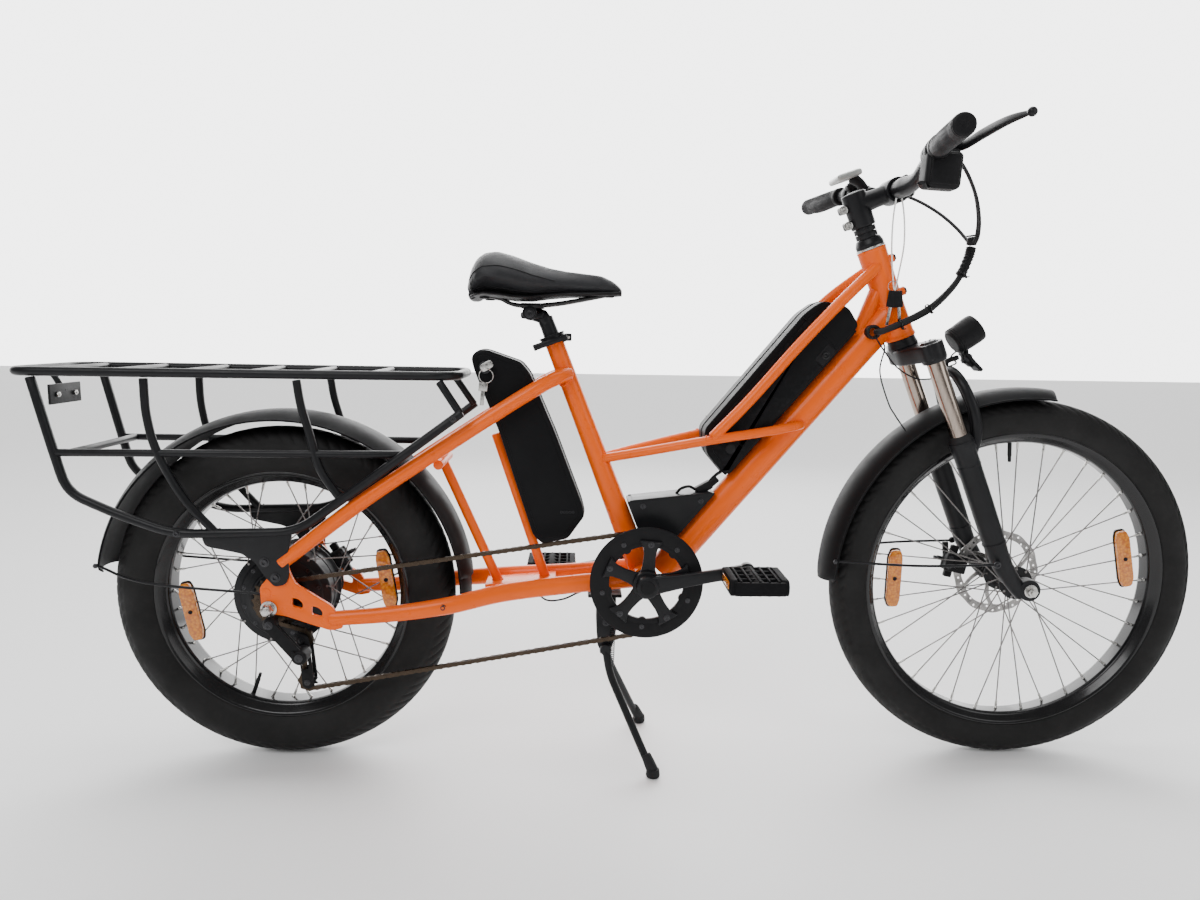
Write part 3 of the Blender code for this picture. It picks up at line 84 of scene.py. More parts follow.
SEAT_TUBE_LOW = BB + Vector((-0.008, 0.0, 0.010))
DOWN_TUBE_R = 0.0245
STAY_R = 0.0125
TOP_TUBE_R = 0.0095
RACK_TOP_Z = 0.685
RACK_R = 0.0075
RACK_REAR_X = -0.398
RACK_FRONT_X = 0.312
RACK_REAR_HALF = 0.1060
RACK_FRONT_HALF = 0.0900
STAND_PIVOT = Vector((0.565, 0.0, 0.200))
STAND_FOOT_X = {"left": 0.638, "right": 0.647}
STAND_FOOT_Y = 0.105

REAR_AXLE = Vector((0.0, 0.0, REAR_WHEEL_R))
FRONT_AXLE = Vector((WHEELBASE, 0.0, FRONT_WHEEL_R))
STEER_UP = Vector((-cos(HEAD_ANGLE), 0.0, sin(HEAD_ANGLE)))
STEER_FORWARD = Vector((sin(HEAD_ANGLE), 0.0, cos(HEAD_ANGLE)))
STEER_BASE = FRONT_AXLE - FORK_RAKE * STEER_FORWARD
X_AXIS = Vector((1.0, 0.0, 0.0))
Y_AXIS = Vector((0.0, 1.0, 0.0))
Z_AXIS = Vector((0.0, 0.0, 1.0))
SIDES = {"left": 1.0, "right": -1.0}


def radial(angle):
    return Vector((cos(angle), 0.0, sin(angle)))


def steer(up, forward=0.0, side=0.0):
    return STEER_BASE + up * STEER_UP + forward * STEER_FORWARD + side * Y_AXIS


# ---------------------------------------------------------------- camera, light and floor
CAMERA_PLACE = Vector((-0.1075, -1.4802, 0.7604))
CAMERA_YAW_PITCH_ROLL = (-0.0309, 0.1382, 0.0155)
CAMERA_LENS = 25.49
CAMERA_SENSOR = 36.0
FLOOR_HALF = 14.0
FLOOR_DROP = 0.0008
FLOOR_TONE = (0.93, 0.93, 0.93, 1.0)
BACKDROP_FROM = (0.42, 0.70)
BACKDROP_STRENGTH = (0.26, 4.6)
LIGHTS = {"key": ((-1.6, -2.6, 3.0), (0.0, 0.0, 0.5), (2.4, 1.6), 80),
          "fill": ((2.6, -2.2, 1.8), (0.2, 0.0, 0.5), (1.8, 1.8), 22),
          "top": ((0.0, 0.4, 3.2), (0.0, 0.0, 0.4), (3.4, 1.4), 60),
          "rim": ((0.4, 2.8, 1.9), (0.0, 0.0, 0.6), (3.0, 1.2), 45)}


def camera():
    """The photograph's viewing angle."""
    yaw, pitch, roll = CAMERA_YAW_PITCH_ROLL
    ahead = Vector((-sin(yaw) * cos(pitch), cos(yaw) * cos(pitch), -sin(pitch)))
    right = Vector((cos(yaw), sin(yaw), 0.0))
    up = right.cross(ahead)
    right, up = right * cos(roll) + up * sin(roll), up * cos(roll) - right * sin(roll)
    data = bpy.data.cameras.new("camera")
    data.sensor_width = CAMERA_SENSOR
    data.lens = CAMERA_LENS
    data.clip_start = 0.05
    made = bpy.data.objects.new("camera", data)
    bpy.context.scene.collection.objects.link(made)
    matrix = Matrix((right, up, -ahead)).transposed().to_4x4()
    matrix.translation = CAMERA_PLACE
    made.matrix_world = matrix
    bpy.context.scene.camera = made


def area_light(name, place, target, size, power):
    data = bpy.data.lights.new(name, "AREA")
    data.shape = "RECTANGLE"
    data.size, data.size_y = size
    data.energy = power
    made = bpy.data.objects.new(name, data)
    bpy.context.scene.collection.objects.link(made)
    made.location = place
    made.rotation_euler = (Vector(target) - Vector(place)).to_track_quat("-Z", "Y").to_euler()


def studio():
    """A bright backdrop behind the bicycle and a dim one in front, four soft lights and a pale floor."""
    world = bpy.data.worlds.new("studio")
    world.use_nodes = True
    tree = world.node_tree
    around = tree.nodes.new("ShaderNodeTexCoord").outputs["Generated"]
    parts = tree.nodes.new("ShaderNodeSeparateXYZ")
    tree.links.new(around, parts.inputs["Vector"])
    backdrop = tree.nodes.new("ShaderNodeMapRange")
    backdrop.interpolation_type = "SMOOTHSTEP"
    for socket, value in zip(("From Min", "From Max", "To Min", "To Max"), BACKDROP_FROM + BACKDROP_STRENGTH):
        backdrop.inputs[socket].default_value = value
    tree.links.new(parts.outputs["Y"], backdrop.inputs["Value"])
    tree.nodes["Background"].inputs["Color"].default_value = (1.0, 1.0, 1.0, 1.0)
    tree.links.new(backdrop.outputs["Result"], tree.nodes["Background"].inputs["Strength"])
    bpy.context.scene.world = world
    for name, (place, target, size, power) in LIGHTS.items():
        area_light(name, place, target, size, power)
    mesh = bmesh.new()
    bmesh.ops.create_grid(mesh, x_segments=2, y_segments=2, size=FLOOR_HALF)
    data = bpy.data.meshes.new("floor")
    mesh.to_mesh(data)
    mesh.free()
    floor = bpy.data.objects.new("floor", data)
    floor.location = (0.0, 0.0, -FLOOR_DROP)
    bpy.context.scene.collection.objects.link(floor)
    made = bpy.data.materials.new("floor")
    made.use_nodes = True
    shader = made.node_tree.nodes["Principled BSDF"]
    shader.inputs["Roughness"].default_value = 0.6
    shader.inputs["Base Color"].default_value = FLOOR_TONE
    data.materials.append(made)


# ---------------------------------------------------------------- materials
class Nodes:
    """A small helper for building one material's node tree."""

    def __init__(self, name):
        self.material = bpy.data.materials.new(name)
        self.material.use_nodes = True
        self.tree = self.material.node_tree
        self.shader = self.tree.nodes["Principled BSDF"]
        self.coords = self.tree.nodes.new("ShaderNodeTexCoord").outputs["Object"]

    def link(self, a, b):
        self.tree.links.new(a, b)

    def mapped(self, scale=(1.0, 1.0, 1.0), rotation=(0.0, 0.0, 0.0)):
        node = self.tree.nodes.new("ShaderNodeMapping")
        node.inputs["Scale"].default_value = scale
        node.inputs["Rotation"].default_value = rotation
        self.link(self.coords, node.inputs["Vector"])
        return node.outputs["Vector"]

    def noise(self, scale, detail=4.0, rough=0.55, vector=None):
        node = self.tree.nodes.new("ShaderNodeTexNoise")
        node.inputs["Scale"].default_value = scale
        node.inputs["Detail"].default_value = detail
        node.inputs["Roughness"].default_value = rough
        self.link(vector or self.coords, node.inputs["Vector"])
        return node.outputs["Fac"]

    def voronoi(self, scale, feature="F1", vector=None):
        node = self.tree.nodes.new("ShaderNodeTexVoronoi")
        node.feature = feature
        node.inputs["Scale"].default_value = scale
        self.link(vector or self.coords, node.inputs["Vector"])
        return node.outputs["Distance"]

    def spread(self, value, low, high, start=0.3, stop=0.7):
        node = self.tree.nodes.new("ShaderNodeMapRange")
        node.inputs["From Min"].default_value = start
        node.inputs["From Max"].default_value = stop
        node.inputs["To Min"].default_value = low
        node.inputs["To Max"].default_value = high
        self.link(value, node.inputs["Value"])
        return node.outputs["Result"]

    def math(self, operation, a, b):
        node = self.tree.nodes.new("ShaderNodeMath")
        node.operation = operation
        for k, value in enumerate((a, b)):
            if isinstance(value, (int, float)):
                node.inputs[k].default_value = value
            else:
                self.link(value, node.inputs[k])
        return node.outputs["Value"]

    def mix(self, factor, a, b):
        node = self.tree.nodes.new("ShaderNodeMix")
        node.data_type = "RGBA"
        for socket, value in ((node.inputs[6], a), (node.inputs[7], b)):
            if isinstance(value, tuple):
                socket.default_value = (*value, 1.0)
            else:
                self.link(value, socket)
        if isinstance(factor, (int, float)):
            node.inputs[0].default_value = factor
        else:
            self.link(factor, node.inputs[0])
        return node.outputs[2]

    def bump(self, layers):
        """Layers of (height, strength, distance) one on the other."""
        normal = None
        for height, strength, distance in layers:
            node = self.tree.nodes.new("ShaderNodeBump")
            node.inputs["Strength"].default_value = strength
            node.inputs["Distance"].default_value = distance
            self.link(height, node.inputs["Height"])
            if normal is not None:
                self.link(normal, node.inputs["Normal"])
            normal = node.outputs["Normal"]
        self.link(normal, self.shader.inputs["Normal"])

    def set(self, **values):
        for name, value in values.items():
            self.shader.inputs[name.replace("_", " ")].default_value = value


def dim(colour, factor):
    return tuple(min(1.0, c * factor) for c in colour)


def surface(name, colour, rough, metal=0.0, grain=900.0, grain_depth=0.10, mottle=9.0, vary=0.08,
            rough_vary=0.06, dust=0.0, wear=0.0, wear_colour=(0.30, 0.30, 0.31), **sockets):
    """A painted or moulded surface: mottled colour, uneven gloss, fine grain, dust on top, worn edges."""
    n = Nodes(name)
    base = n.mix(n.spread(n.noise(mottle, 5.0), 0.0, 1.0), dim(colour, 1.0 - vary), dim(colour, 1.0 + vary))
    if dust:
        geometry = n.tree.nodes.new("ShaderNodeNewGeometry")
        parts = n.tree.nodes.new("ShaderNodeSeparateXYZ")
        n.link(geometry.outputs["Normal"], parts.inputs["Vector"])
        up = n.spread(parts.outputs["Z"], 0.0, 1.0, 0.1, 1.0)
        amount = n.math("MULTIPLY", up, n.spread(n.noise(60.0, 8.0, 0.7), 0.0, dust, 0.42, 0.68))
        base = n.mix(amount, base, (0.32, 0.30, 0.27))
    if wear:
        geometry = n.tree.nodes.new("ShaderNodeNewGeometry")
        edge = n.spread(geometry.outputs["Pointiness"], 0.0, 1.0, 0.53, 0.60)
        patchy = n.spread(n.noise(140.0, 6.0, 0.7), 0.0, wear, 0.46, 0.62)
        base = n.mix(n.math("MULTIPLY", edge, patchy), base, wear_colour)
    n.link(base, n.shader.inputs["Base Color"])
    uneven = n.spread(n.noise(38.0, 6.0, 0.62), max(0.02, rough - rough_vary), rough + rough_vary)
    n.link(uneven, n.shader.inputs["Roughness"])
    n.set(Metallic=metal, **sockets)
    n.bump([(n.noise(grain, 3.0, 0.6), grain_depth, 0.0004), (n.noise(26.0, 3.0), 0.05, 0.0012)])
    return n.material


def brushed(name, colour, rough, stretch, grain=60.0, depth=0.12, **sockets):
    """Metal with fine parallel marks; stretch is the scale along each axis."""
    n = Nodes(name)
    marks = n.noise(grain, 5.0, 0.65, n.mapped(stretch))
    base = n.mix(n.spread(marks, 0.0, 1.0), dim(colour, 0.80), dim(colour, 1.15))
    stain = n.spread(n.noise(30.0, 6.0, 0.7), 0.0, 0.5, 0.55, 0.75)
    n.link(n.mix(stain, base, dim(colour, 0.45)), n.shader.inputs["Base Color"])
    n.link(n.spread(marks, max(0.03, rough - 0.07), rough + 0.09), n.shader.inputs["Roughness"])
    n.set(Metallic=1.0, **sockets)
    n.bump([(marks, depth, 0.0003)])
    return n.material


def tyre_material():
    n = Nodes("tyre_rubber")
    base = n.mix(n.spread(n.noise(5.0, 7.0, 0.6), 0.0, 1.0), (0.0060, 0.0059, 0.0060),
                 (0.0110, 0.0107, 0.0107))
    film = n.spread(n.noise(90.0, 9.0, 0.75), 0.0, 0.10, 0.50, 0.72)
    n.link(n.mix(film, base, (0.045, 0.041, 0.037)), n.shader.inputs["Base Color"])
    n.link(n.spread(n.noise(22.0, 6.0), 0.56, 0.76), n.shader.inputs["Roughness"])
    n.set(Specular_IOR_Level=0.22)
    n.bump([(n.noise(700.0, 4.0), 0.22, 0.0006), (n.noise(60.0, 4.0), 0.10, 0.0015)])
    return n.material


def leather_material():
    n = Nodes("saddle_skin")
    base = n.mix(n.spread(n.noise(11.0, 6.0), 0.0, 1.0), (0.0075, 0.0077, 0.0092), (0.0130, 0.0132, 0.0155))
    n.link(base, n.shader.inputs["Base Color"])
    n.link(n.spread(n.noise(30.0, 6.0), 0.44, 0.62), n.shader.inputs["Roughness"])
    n.set(Specular_IOR_Level=0.35)
    n.shader.inputs["Sheen Weight"].default_value = 0.06
    n.shader.inputs["Sheen Roughness"].default_value = 0.4
    pores = n.voronoi(950.0, "DISTANCE_TO_EDGE")
    n.bump([(n.spread(pores, 0.0, 1.0, 0.0, 0.25), 0.30, 0.00035), (n.noise(320.0, 5.0), 0.18, 0.0005),
            (n.noise(18.0, 3.0), 0.06, 0.002)])
    return n.material


def grip_material():
    n = Nodes("grip_rubber")
    n.link(n.mix(n.spread(n.noise(16.0, 6.0), 0.0, 1.0), (0.0070, 0.0070, 0.0078), (0.0125, 0.0125, 0.0140)),
           n.shader.inputs["Base Color"])
    n.set(Specular_IOR_Level=0.28)
    n.link(n.spread(n.noise(40.0, 5.0), 0.62, 0.80), n.shader.inputs["Roughness"])
    cells = n.voronoi(420.0, "DISTANCE_TO_EDGE")
    n.bump([(n.spread(cells, 0.0, 1.0, 0.0, 0.16), 0.42, 0.0005), (n.noise(1200.0, 2.0), 0.10, 0.0003)])
    return n.material


def amber_material():
    n = Nodes("amber")
    cells = n.voronoi(210.0, "F1", n.mapped((1.0, 0.4, 1.0)))
    base = n.mix(n.spread(cells, 0.0, 1.0, 0.0, 0.8), (1.0, 0.36, 0.012), (0.62, 0.15, 0.004))
    n.link(base, n.shader.inputs["Base Color"])
    n.link(n.spread(n.noise(60.0, 3.0), 0.10, 0.22), n.shader.inputs["Roughness"])
    n.set(Transmission_Weight=0.25, IOR=1.49, Coat_Weight=0.6, Coat_Roughness=0.06)
    n.bump([(cells, 0.5, 0.0012)])
    return n.material


def glass_material():
    n = Nodes("lens_glass")
    flutes = n.tree.nodes.new("ShaderNodeTexWave")
    flutes.inputs["Scale"].default_value = 90.0
    flutes.bands_direction = "Y"
    n.link(n.coords, flutes.inputs["Vector"])
    n.link(n.mix(n.spread(n.noise(30.0), 0.0, 1.0), (0.90, 0.93, 0.96), (1.0, 1.0, 1.0)),
           n.shader.inputs["Base Color"])
    n.link(n.spread(n.noise(80.0), 0.03, 0.09), n.shader.inputs["Roughness"])
    n.set(Transmission_Weight=0.92, IOR=1.5)
    n.bump([(flutes.outputs["Fac"], 0.25, 0.0008)])
    return n.material


def screen_material():
    n = Nodes("screen")
    grid = n.voronoi(1500.0, "F1")
    n.link(n.mix(n.spread(grid, 0.0, 0.4), (0.30, 0.32, 0.31), (0.20, 0.22, 0.21)),
           n.shader.inputs["Base Color"])
    n.link(n.spread(n.noise(50.0), 0.06, 0.14), n.shader.inputs["Roughness"])
    n.set(Coat_Weight=1.0, Coat_Roughness=0.03)
    n.bump([(n.noise(800.0, 2.0), 0.03, 0.0002)])
    return n.material


def rotor_material():
    """Ground steel with fine marks and a blotchy tone that varies at random."""
    n = Nodes("rotor_steel")
    fine = n.noise(900.0, 3.0)
    base = n.mix(n.spread(n.noise(45.0, 5.0), 0.0, 1.0), (0.20, 0.195, 0.19), (0.36, 0.35, 0.34))
    n.link(base, n.shader.inputs["Base Color"])
    n.link(n.spread(fine, 0.22, 0.38), n.shader.inputs["Roughness"])
    n.set(Metallic=1.0)
    n.bump([(fine, 0.18, 0.0002)])
    return n.material


MATERIALS = {
    "orange_paint": surface("orange_paint", (0.840, 0.115, 0.000), 0.30, grain=520.0, grain_depth=0.05,
                            mottle=6.0,
                            vary=0.04, rough_vary=0.05, dust=0.02, wear=0.5, wear_colour=(0.60, 0.13, 0.01),
                            Specular_IOR_Level=0.22, Coat_Weight=0.06, Coat_Roughness=0.10),
    "black_satin": surface("black_satin", (0.0070, 0.0072, 0.0084), 0.38, grain=1100.0, grain_depth=0.12,
                           vary=0.16, rough_vary=0.07, dust=0.010, wear=0.35, wear_colour=(0.05, 0.05, 0.05),
                           Specular_IOR_Level=0.22),
    "black_gloss": surface("black_gloss", (0.0060, 0.0060, 0.0066), 0.20, grain=700.0, grain_depth=0.04,
                           vary=0.15, dust=0.01, wear=0.3, wear_colour=(0.06, 0.06, 0.06),
                           Specular_IOR_Level=0.35, Coat_Weight=0.10, Coat_Roughness=0.08),
    "black_plastic": surface("black_plastic", (0.0078, 0.0078, 0.0086), 0.48, grain=1500.0, grain_depth=0.24,
                             vary=0.14, dust=0.010, wear=0.25, wear_colour=(0.035, 0.035, 0.037),
                             Specular_IOR_Level=0.14),
    "pedal_plastic": surface("pedal_plastic", (0.0100, 0.0100, 0.0108), 0.60, grain=1500.0, grain_depth=0.24,
                             vary=0.14, dust=0.006, wear=0.25, wear_colour=(0.030, 0.030, 0.032),
                             Specular_IOR_Level=0.02),
    "battery_shell": surface("battery_shell", (0.0055, 0.0056, 0.0063), 0.48, grain=1700.0, grain_depth=0.26,
                             vary=0.12, dust=0.008, wear=0.25, wear_colour=(0.030, 0.030, 0.032),
                             Specular_IOR_Level=0.10),
    "fender_plastic": surface("fender_plastic", (0.0050, 0.0051, 0.0058), 0.52, grain=600.0, grain_depth=0.08,
                              vary=0.12, dust=0.006, wear=0.25, wear_colour=(0.03, 0.03, 0.032),
                              Specular_IOR_Level=0.10),
    "tyre_rubber": tyre_material(),
    "grip_rubber": grip_material(),
    "saddle_skin": leather_material(),
    "soft_black": surface("soft_black", (0.0070, 0.0070, 0.0078), 0.60, grain=800.0, grain_depth=0.2,
                          vary=0.14, Specular_IOR_Level=0.28),
    "stanchion": brushed("stanchion", (0.36, 0.30, 0.255), 0.16, (1.0, 1.0, 0.05), 260.0, 0.05),
    "steel": brushed("steel", (0.56, 0.55, 0.53), 0.28, (1.0, 1.0, 1.0), 220.0, 0.10),
    "spoke_steel": brushed("spoke_steel", (0.20, 0.19, 0.185), 0.30, (1.0, 1.0, 1.0), 300.0, 0.08),
    "bolt_steel": brushed("bolt_steel", (0.055, 0.055, 0.058), 0.36, (1.0, 1.0, 1.0), 400.0, 0.12),
    "rotor_steel": rotor_material(),
    "chain_steel": brushed("chain_steel", (0.070, 0.052, 0.038), 0.42, (1.0, 1.0, 1.0), 320.0, 0.20),
    "display_grey": surface("display_grey", (0.36, 0.37, 0.355), 0.32, metal=0.35, grain=1200.0,
                            grain_depth=0.1, vary=0.06),
    "amber": amber_material(),
    "lens_glass": glass_material(),
    "screen": screen_material(),
    "lamp_mirror": brushed("lamp_mirror", (0.80, 0.80, 0.82), 0.07, (1.0, 1.0, 1.0), 200.0, 0.04),
    "white_tie": surface("white_tie", (0.82, 0.82, 0.80), 0.42, grain=500.0, grain_depth=0.05, vary=0.03),
}


# ---------------------------------------------------------------- shapes: (points, faces)
def from_mesh(mesh):
    mesh.verts.ensure_lookup_table()
    for i, vert in enumerate(mesh.verts):
        vert.index = i
    made = ([v.co.copy() for v in mesh.verts], [[v.index for v in f.verts] for f in mesh.faces])
    mesh.free()
    return made


def to_mesh(made):
    points, faces = made
    mesh = bmesh.new()
    verts = [mesh.verts.new(p) for p in points]
    for face in faces:
        mesh.faces.new([verts[i] for i in face])
    mesh.normal_update()
    return mesh


def merge(*shapes):
    points, faces = [], []
    for shape in shapes:
        start = len(points)
        points += shape[0]
        faces += [[i + start for i in face] for face in shape[1]]
    return points, faces


def as_object(shape, name, shift=Vector()):
    """The shape as a new object in the scene, with its faces turned outward."""
    mesh = to_mesh(shape)
    bmesh.ops.recalc_face_normals(mesh, faces=mesh.faces)
    for vert in mesh.verts:
        vert.co += shift
    data = bpy.data.meshes.new(name)
    mesh.to_mesh(data)
    mesh.free()
    made = bpy.data.objects.new(name, data)
    bpy.context.scene.collection.objects.link(made)
    return made


def coated(made, finish, smooth):
    made.data.materials.append(MATERIALS[finish])
    made.data.shade_smooth()
    made.data.set_sharp_from_angle(angle=radians(smooth))
    return made


def show(shape, name, node, finish, stands_for=(), smooth=38.0):
    """Puts a shape in the scene as a piece that rides on the body of the CAD node."""
    made = coated(as_object(shape, name, SHIFT), finish, smooth)
    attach(made, BODY_OF[node])
    for other in stands_for:
        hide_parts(other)
    return made


def curve_through(points, steps=8):
    knots = [Vector(p) for p in points]
    knots = [2 * knots[0] - knots[1]] + knots + [2 * knots[-1] - knots[-2]]
    made = []
    for i in range(1, len(knots) - 2):
        a, b, c, d = knots[i - 1:i + 3]
        for s in range(steps):
            t = s / steps
            made.append(0.5 * (2 * b + (c - a) * t + (2 * a - 5 * b + 4 * c - d) * t * t
                               + (3 * b - a - 3 * c + d) * t ** 3))
    made.append(knots[-2])
    return made


def rounded_path(points, radius, steps=8):
    knots = [Vector(p) for p in points]
    made = [knots[0]]
    for before, corner, after in zip(knots, knots[1:], knots[2:]):
        reach = min(radius, 0.45 * (corner - before).length, 0.45 * (after - corner).length)
        start = corner + (before - corner).normalized() * reach
        end = corner + (after - corner).normalized() * reach
        for s in range(steps + 1):
            t = s / steps
            made.append((1 - t) ** 2 * start + 2 * t * (1 - t) * corner + t * t * end)
    made.append(knots[-1])
    return made


def sweep(points, radius, sides=24, flatten=1.0, closed=False, side_hint=Y_AXIS, rounding=0.25):
    """A bar along a path with softly rounded ends; radius may be one value per point."""
    path = [Vector(p) for p in points]
    radii = list(radius) if isinstance(radius, (list, tuple)) else [radius] * len(path)
    if not closed and rounding:
        first = (path[1] - path[0]).normalized() * radii[0] * rounding
        last = (path[-1] - path[-2]).normalized() * radii[-1] * rounding
        path = [path[0], path[0] + first * 0.35, path[0] + first] + path[1:-1] + \
               [path[-1] - last, path[-1] - last * 0.35, path[-1]]
        radii = [radii[0] * (1 - rounding * 0.9), radii[0] * (1 - rounding * 0.25),
                 radii[0]] + radii[1:-1] + \
                [radii[-1], radii[-1] * (1 - rounding * 0.25), radii[-1] * (1 - rounding * 0.9)]
    count = len(path)
    verts, rings, across = [], [], None
    for i, point in enumerate(path):
        before = path[i - 1] if (i or closed) else path[i]
        after = path[(i + 1) % count] if (i < count - 1 or closed) else path[i]
        along = (after - before).normalized()
        if across is None:
            across = side_hint if abs(side_hint.dot(along)) < 0.9 else Z_AXIS
        across = (across - along * across.dot(along)).normalized()
        other = along.cross(across)
        start = len(verts)
        for k in range(sides):
            angle = 2 * pi * (k + 0.5) / sides
            verts.append(point + radii[i] * (across * cos(angle) * flatten + other * sin(angle)))
        rings.append(list(range(start, start + sides)))
    faces = []
    pairs = list(zip(rings, rings[1:])) + ([(rings[-1], rings[0])] if closed else [])
    for one, two in pairs:
        faces += [[one[k], one[(k + 1) % sides], two[(k + 1) % sides], two[k]] for k in range(sides)]
    if not closed:
        faces += [rings[0], list(reversed(rings[-1]))]
    return verts, faces


def loft(points, around, looped=False):
    """Skins rows of points, each a closed loop; the ends are capped unless the rows close on themselves."""
    rows = len(points) // around
    faces = []
    for i in range(rows if looped else rows - 1):
        one, two = i * around, (i + 1) % rows * around
        for k in range(around):
            after = (k + 1) % around
            faces.append([one + k, one + after, two + after, two + k])
    if not looped:
        faces.append(list(range(around)))
        faces.append(list(range((rows - 1) * around, rows * around)))
    return points, faces


def turn(profile, centre, axis=Y_AXIS, segments=96, closed=True):
    """A solid of revolution; the profile is a closed loop of (radius, distance along axis)."""
    axis = Vector(axis).normalized()
    across = X_AXIS if abs(axis.x) < 0.9 else Y_AXIS
    across = (across - axis * across.dot(axis)).normalized()
    other = axis.cross(across)
    centre = Vector(centre)
    verts, on_axis, rings = [], {}, []
    for s in range(segments):
        angle = 2 * pi * s / segments
        spoke = across * cos(angle) + other * sin(angle)
        row = []
        for k, (radius, along) in enumerate(profile):
            if radius > 1e-9:
                verts.append(centre + spoke * radius + axis * along)
                row.append(len(verts) - 1)
                continue
            if k not in on_axis:
                verts.append(centre + axis * along)
                on_axis[k] = len(verts) - 1
            row.append(on_axis[k])
        rings.append(row)
    faces = []
    count = len(profile)
    for s in range(segments):
        one, two = rings[s], rings[(s + 1) % segments]
        for k in range(count if closed else count - 1):
            corners = [one[k], one[(k + 1) % count], two[(k + 1) % count], two[k]]
            corners = [c for i, c in enumerate(corners) if c not in corners[:i]]
            if len(corners) > 2:
                faces.append(corners)
    return verts, faces


def soften(profile, amount, steps=3):
    """The profile's corners off the axis turned into short arcs."""
    made = []
    count = len(profile)
    for k, (r, y) in enumerate(profile):
        if r <= 1e-9:
            made.append((r, y))
            continue
        here = Vector((r, y))
        before = Vector(profile[k - 1])
        after = Vector(profile[(k + 1) % count])
        cut_in = min(amount, 0.42 * (before - here).length)
        cut_out = min(amount, 0.42 * (after - here).length)
        one = here + (before - here).normalized() * cut_in
        two = here + (after - here).normalized() * cut_out
        for s in range(steps + 1):
            t = s / steps
            p = (1 - t) ** 2 * one + 2 * t * (1 - t) * here + t * t * two
            made.append((max(0.0, p.x), p.y))
    return made


def plug(radius, low, high, centre, axis=Y_AXIS, segments=40, bevel=0.0006):
    bevel = min(bevel, 0.3 * radius, 0.3 * (high - low))
    return turn(soften([(0.0, low), (radius, low), (radius, high), (0.0, high)], bevel), centre, axis,
                segments)


def ring(inner, outer, low, high, centre, axis=Y_AXIS, segments=72, bevel=0.0004):
    bevel = min(bevel, 0.3 * (outer - inner), 0.3 * (high - low))
    profile = [(inner, low), (outer, low), (outer, high), (inner, high)]
    return turn(soften(profile, bevel, 2), centre, axis, segments)


def bevelled(shape, width, segments=3, angle=32.0):
    mesh = to_mesh(shape)
    bmesh.ops.recalc_face_normals(mesh, faces=mesh.faces)
    edges = [e for e in mesh.edges if len(e.link_faces) == 2 and e.calc_face_angle(0.0) > radians(angle)]
    bmesh.ops.bevel(mesh, geom=edges, offset=width, segments=segments, profile=0.5, affect="EDGES",
                    clamp_overlap=True)
    return from_mesh(mesh)


def plate(outline, low, high, bevel=0.0008, segments=2):
    """An outline of (x, z) points given a thickness across the bicycle."""
    count = len(outline)
    verts = [Vector((x, low, z)) for x, z in outline] + [Vector((x, high, z)) for x, z in outline]
    faces = [list(range(count)), list(range(2 * count - 1, count - 1, -1))]
    faces += [[k, k + count, (k + 1) % count + count, (k + 1) % count] for k in range(count)]
    made = (verts, faces)
    return bevelled(made, bevel, segments, 50.0) if bevel else made


def rounded_outline(outline, radius, steps=6):
    """A closed outline with its corners turned into arcs."""
    made = []
    count = len(outline)
    for k in range(count):
        here = Vector(outline[k])
        before = Vector(outline[k - 1])
        after = Vector(outline[(k + 1) % count])
        reach = min(radius, 0.45 * (before - here).length, 0.45 * (after - here).length)
        one = here + (before - here).normalized() * reach
        two = here + (after - here).normalized() * reach
        for s in range(steps + 1):
            t = s / steps
            p = (1 - t) ** 2 * one + 2 * t * (1 - t) * here + t * t * two
            made.append((p.x, p.y))
    return made


def block(centre, size, along=X_AXIS, up=Z_AXIS, bevel=0.0015, segments=3):
    along = Vector(along).normalized()
    up = Vector(up)
    up = (up - along * up.dot(along)).normalized()
    across = up.cross(along)
    mesh = bmesh.new()
    bmesh.ops.create_cube(mesh, size=1.0)
    for vert in mesh.verts:
        x, y, z = vert.co
        vert.co = Vector(centre) + along * x * size[0] + across * y * size[1] + up * z * size[2]
    made = from_mesh(mesh)
    return bevelled(made, min(bevel, 0.45 * min(size)), segments) if bevel else made


def placed(shape, centre, x_to, y_to, z_to):
    """The shape moved to the centre, with its own axes laid along the given ones."""
    return [centre + x_to * p.x + y_to * p.y + z_to * p.z for p in shape[0]], shape[1]


def mirrored(point, side):
    x, y, z = point
    return Vector((x, side * y, z))


def cut(base, *others):
    """Base with the other closed shapes cut from it."""
    objects = [as_object(shape, "work") for shape in (base, merge(*others))]
    step = objects[0].modifiers.new("cut", "BOOLEAN")
    step.operation = "DIFFERENCE"
    step.solver = "EXACT"
    step.use_self = True
    step.object = objects[1]
    graph = bpy.context.evaluated_depsgraph_get()
    mesh = bmesh.new()
    mesh.from_mesh(objects[0].evaluated_get(graph).to_mesh())
    for made in objects:
        bpy.data.objects.remove(made)
    return from_mesh(mesh)


def bolt(centre, axis, head=0.0045, height=0.0035, socket=0.55, washer=True):
    """A socket head bolt whose head stands out along the axis."""
    axis = Vector(axis).normalized()
    profile = [(0.0, height * 0.35), (head * socket, height * 0.35), (head * socket, height),
               (head, height), (head, 0.0), (0.0, 0.0)]
    made = turn(soften(profile, 0.0004, 2), centre, axis, 24)
    if washer:
        made = merge(made, ring(head * 0.6, head * 1.45, -0.0004, 0.0008, centre, axis, 28, 0.0002))
    return made


def hex_nut(centre, axis, radius=0.0060, height=0.0045):
    axis = Vector(axis).normalized()
    nut = bevelled(turn([(0.0, 0.0), (radius, 0.0), (radius, height), (0.0, height)], centre, axis, 6),
                   0.0005, 2)
    stub = plug(radius * 0.48, height * 0.9, height * 1.5, centre, axis, 20)
    return merge(nut, stub)


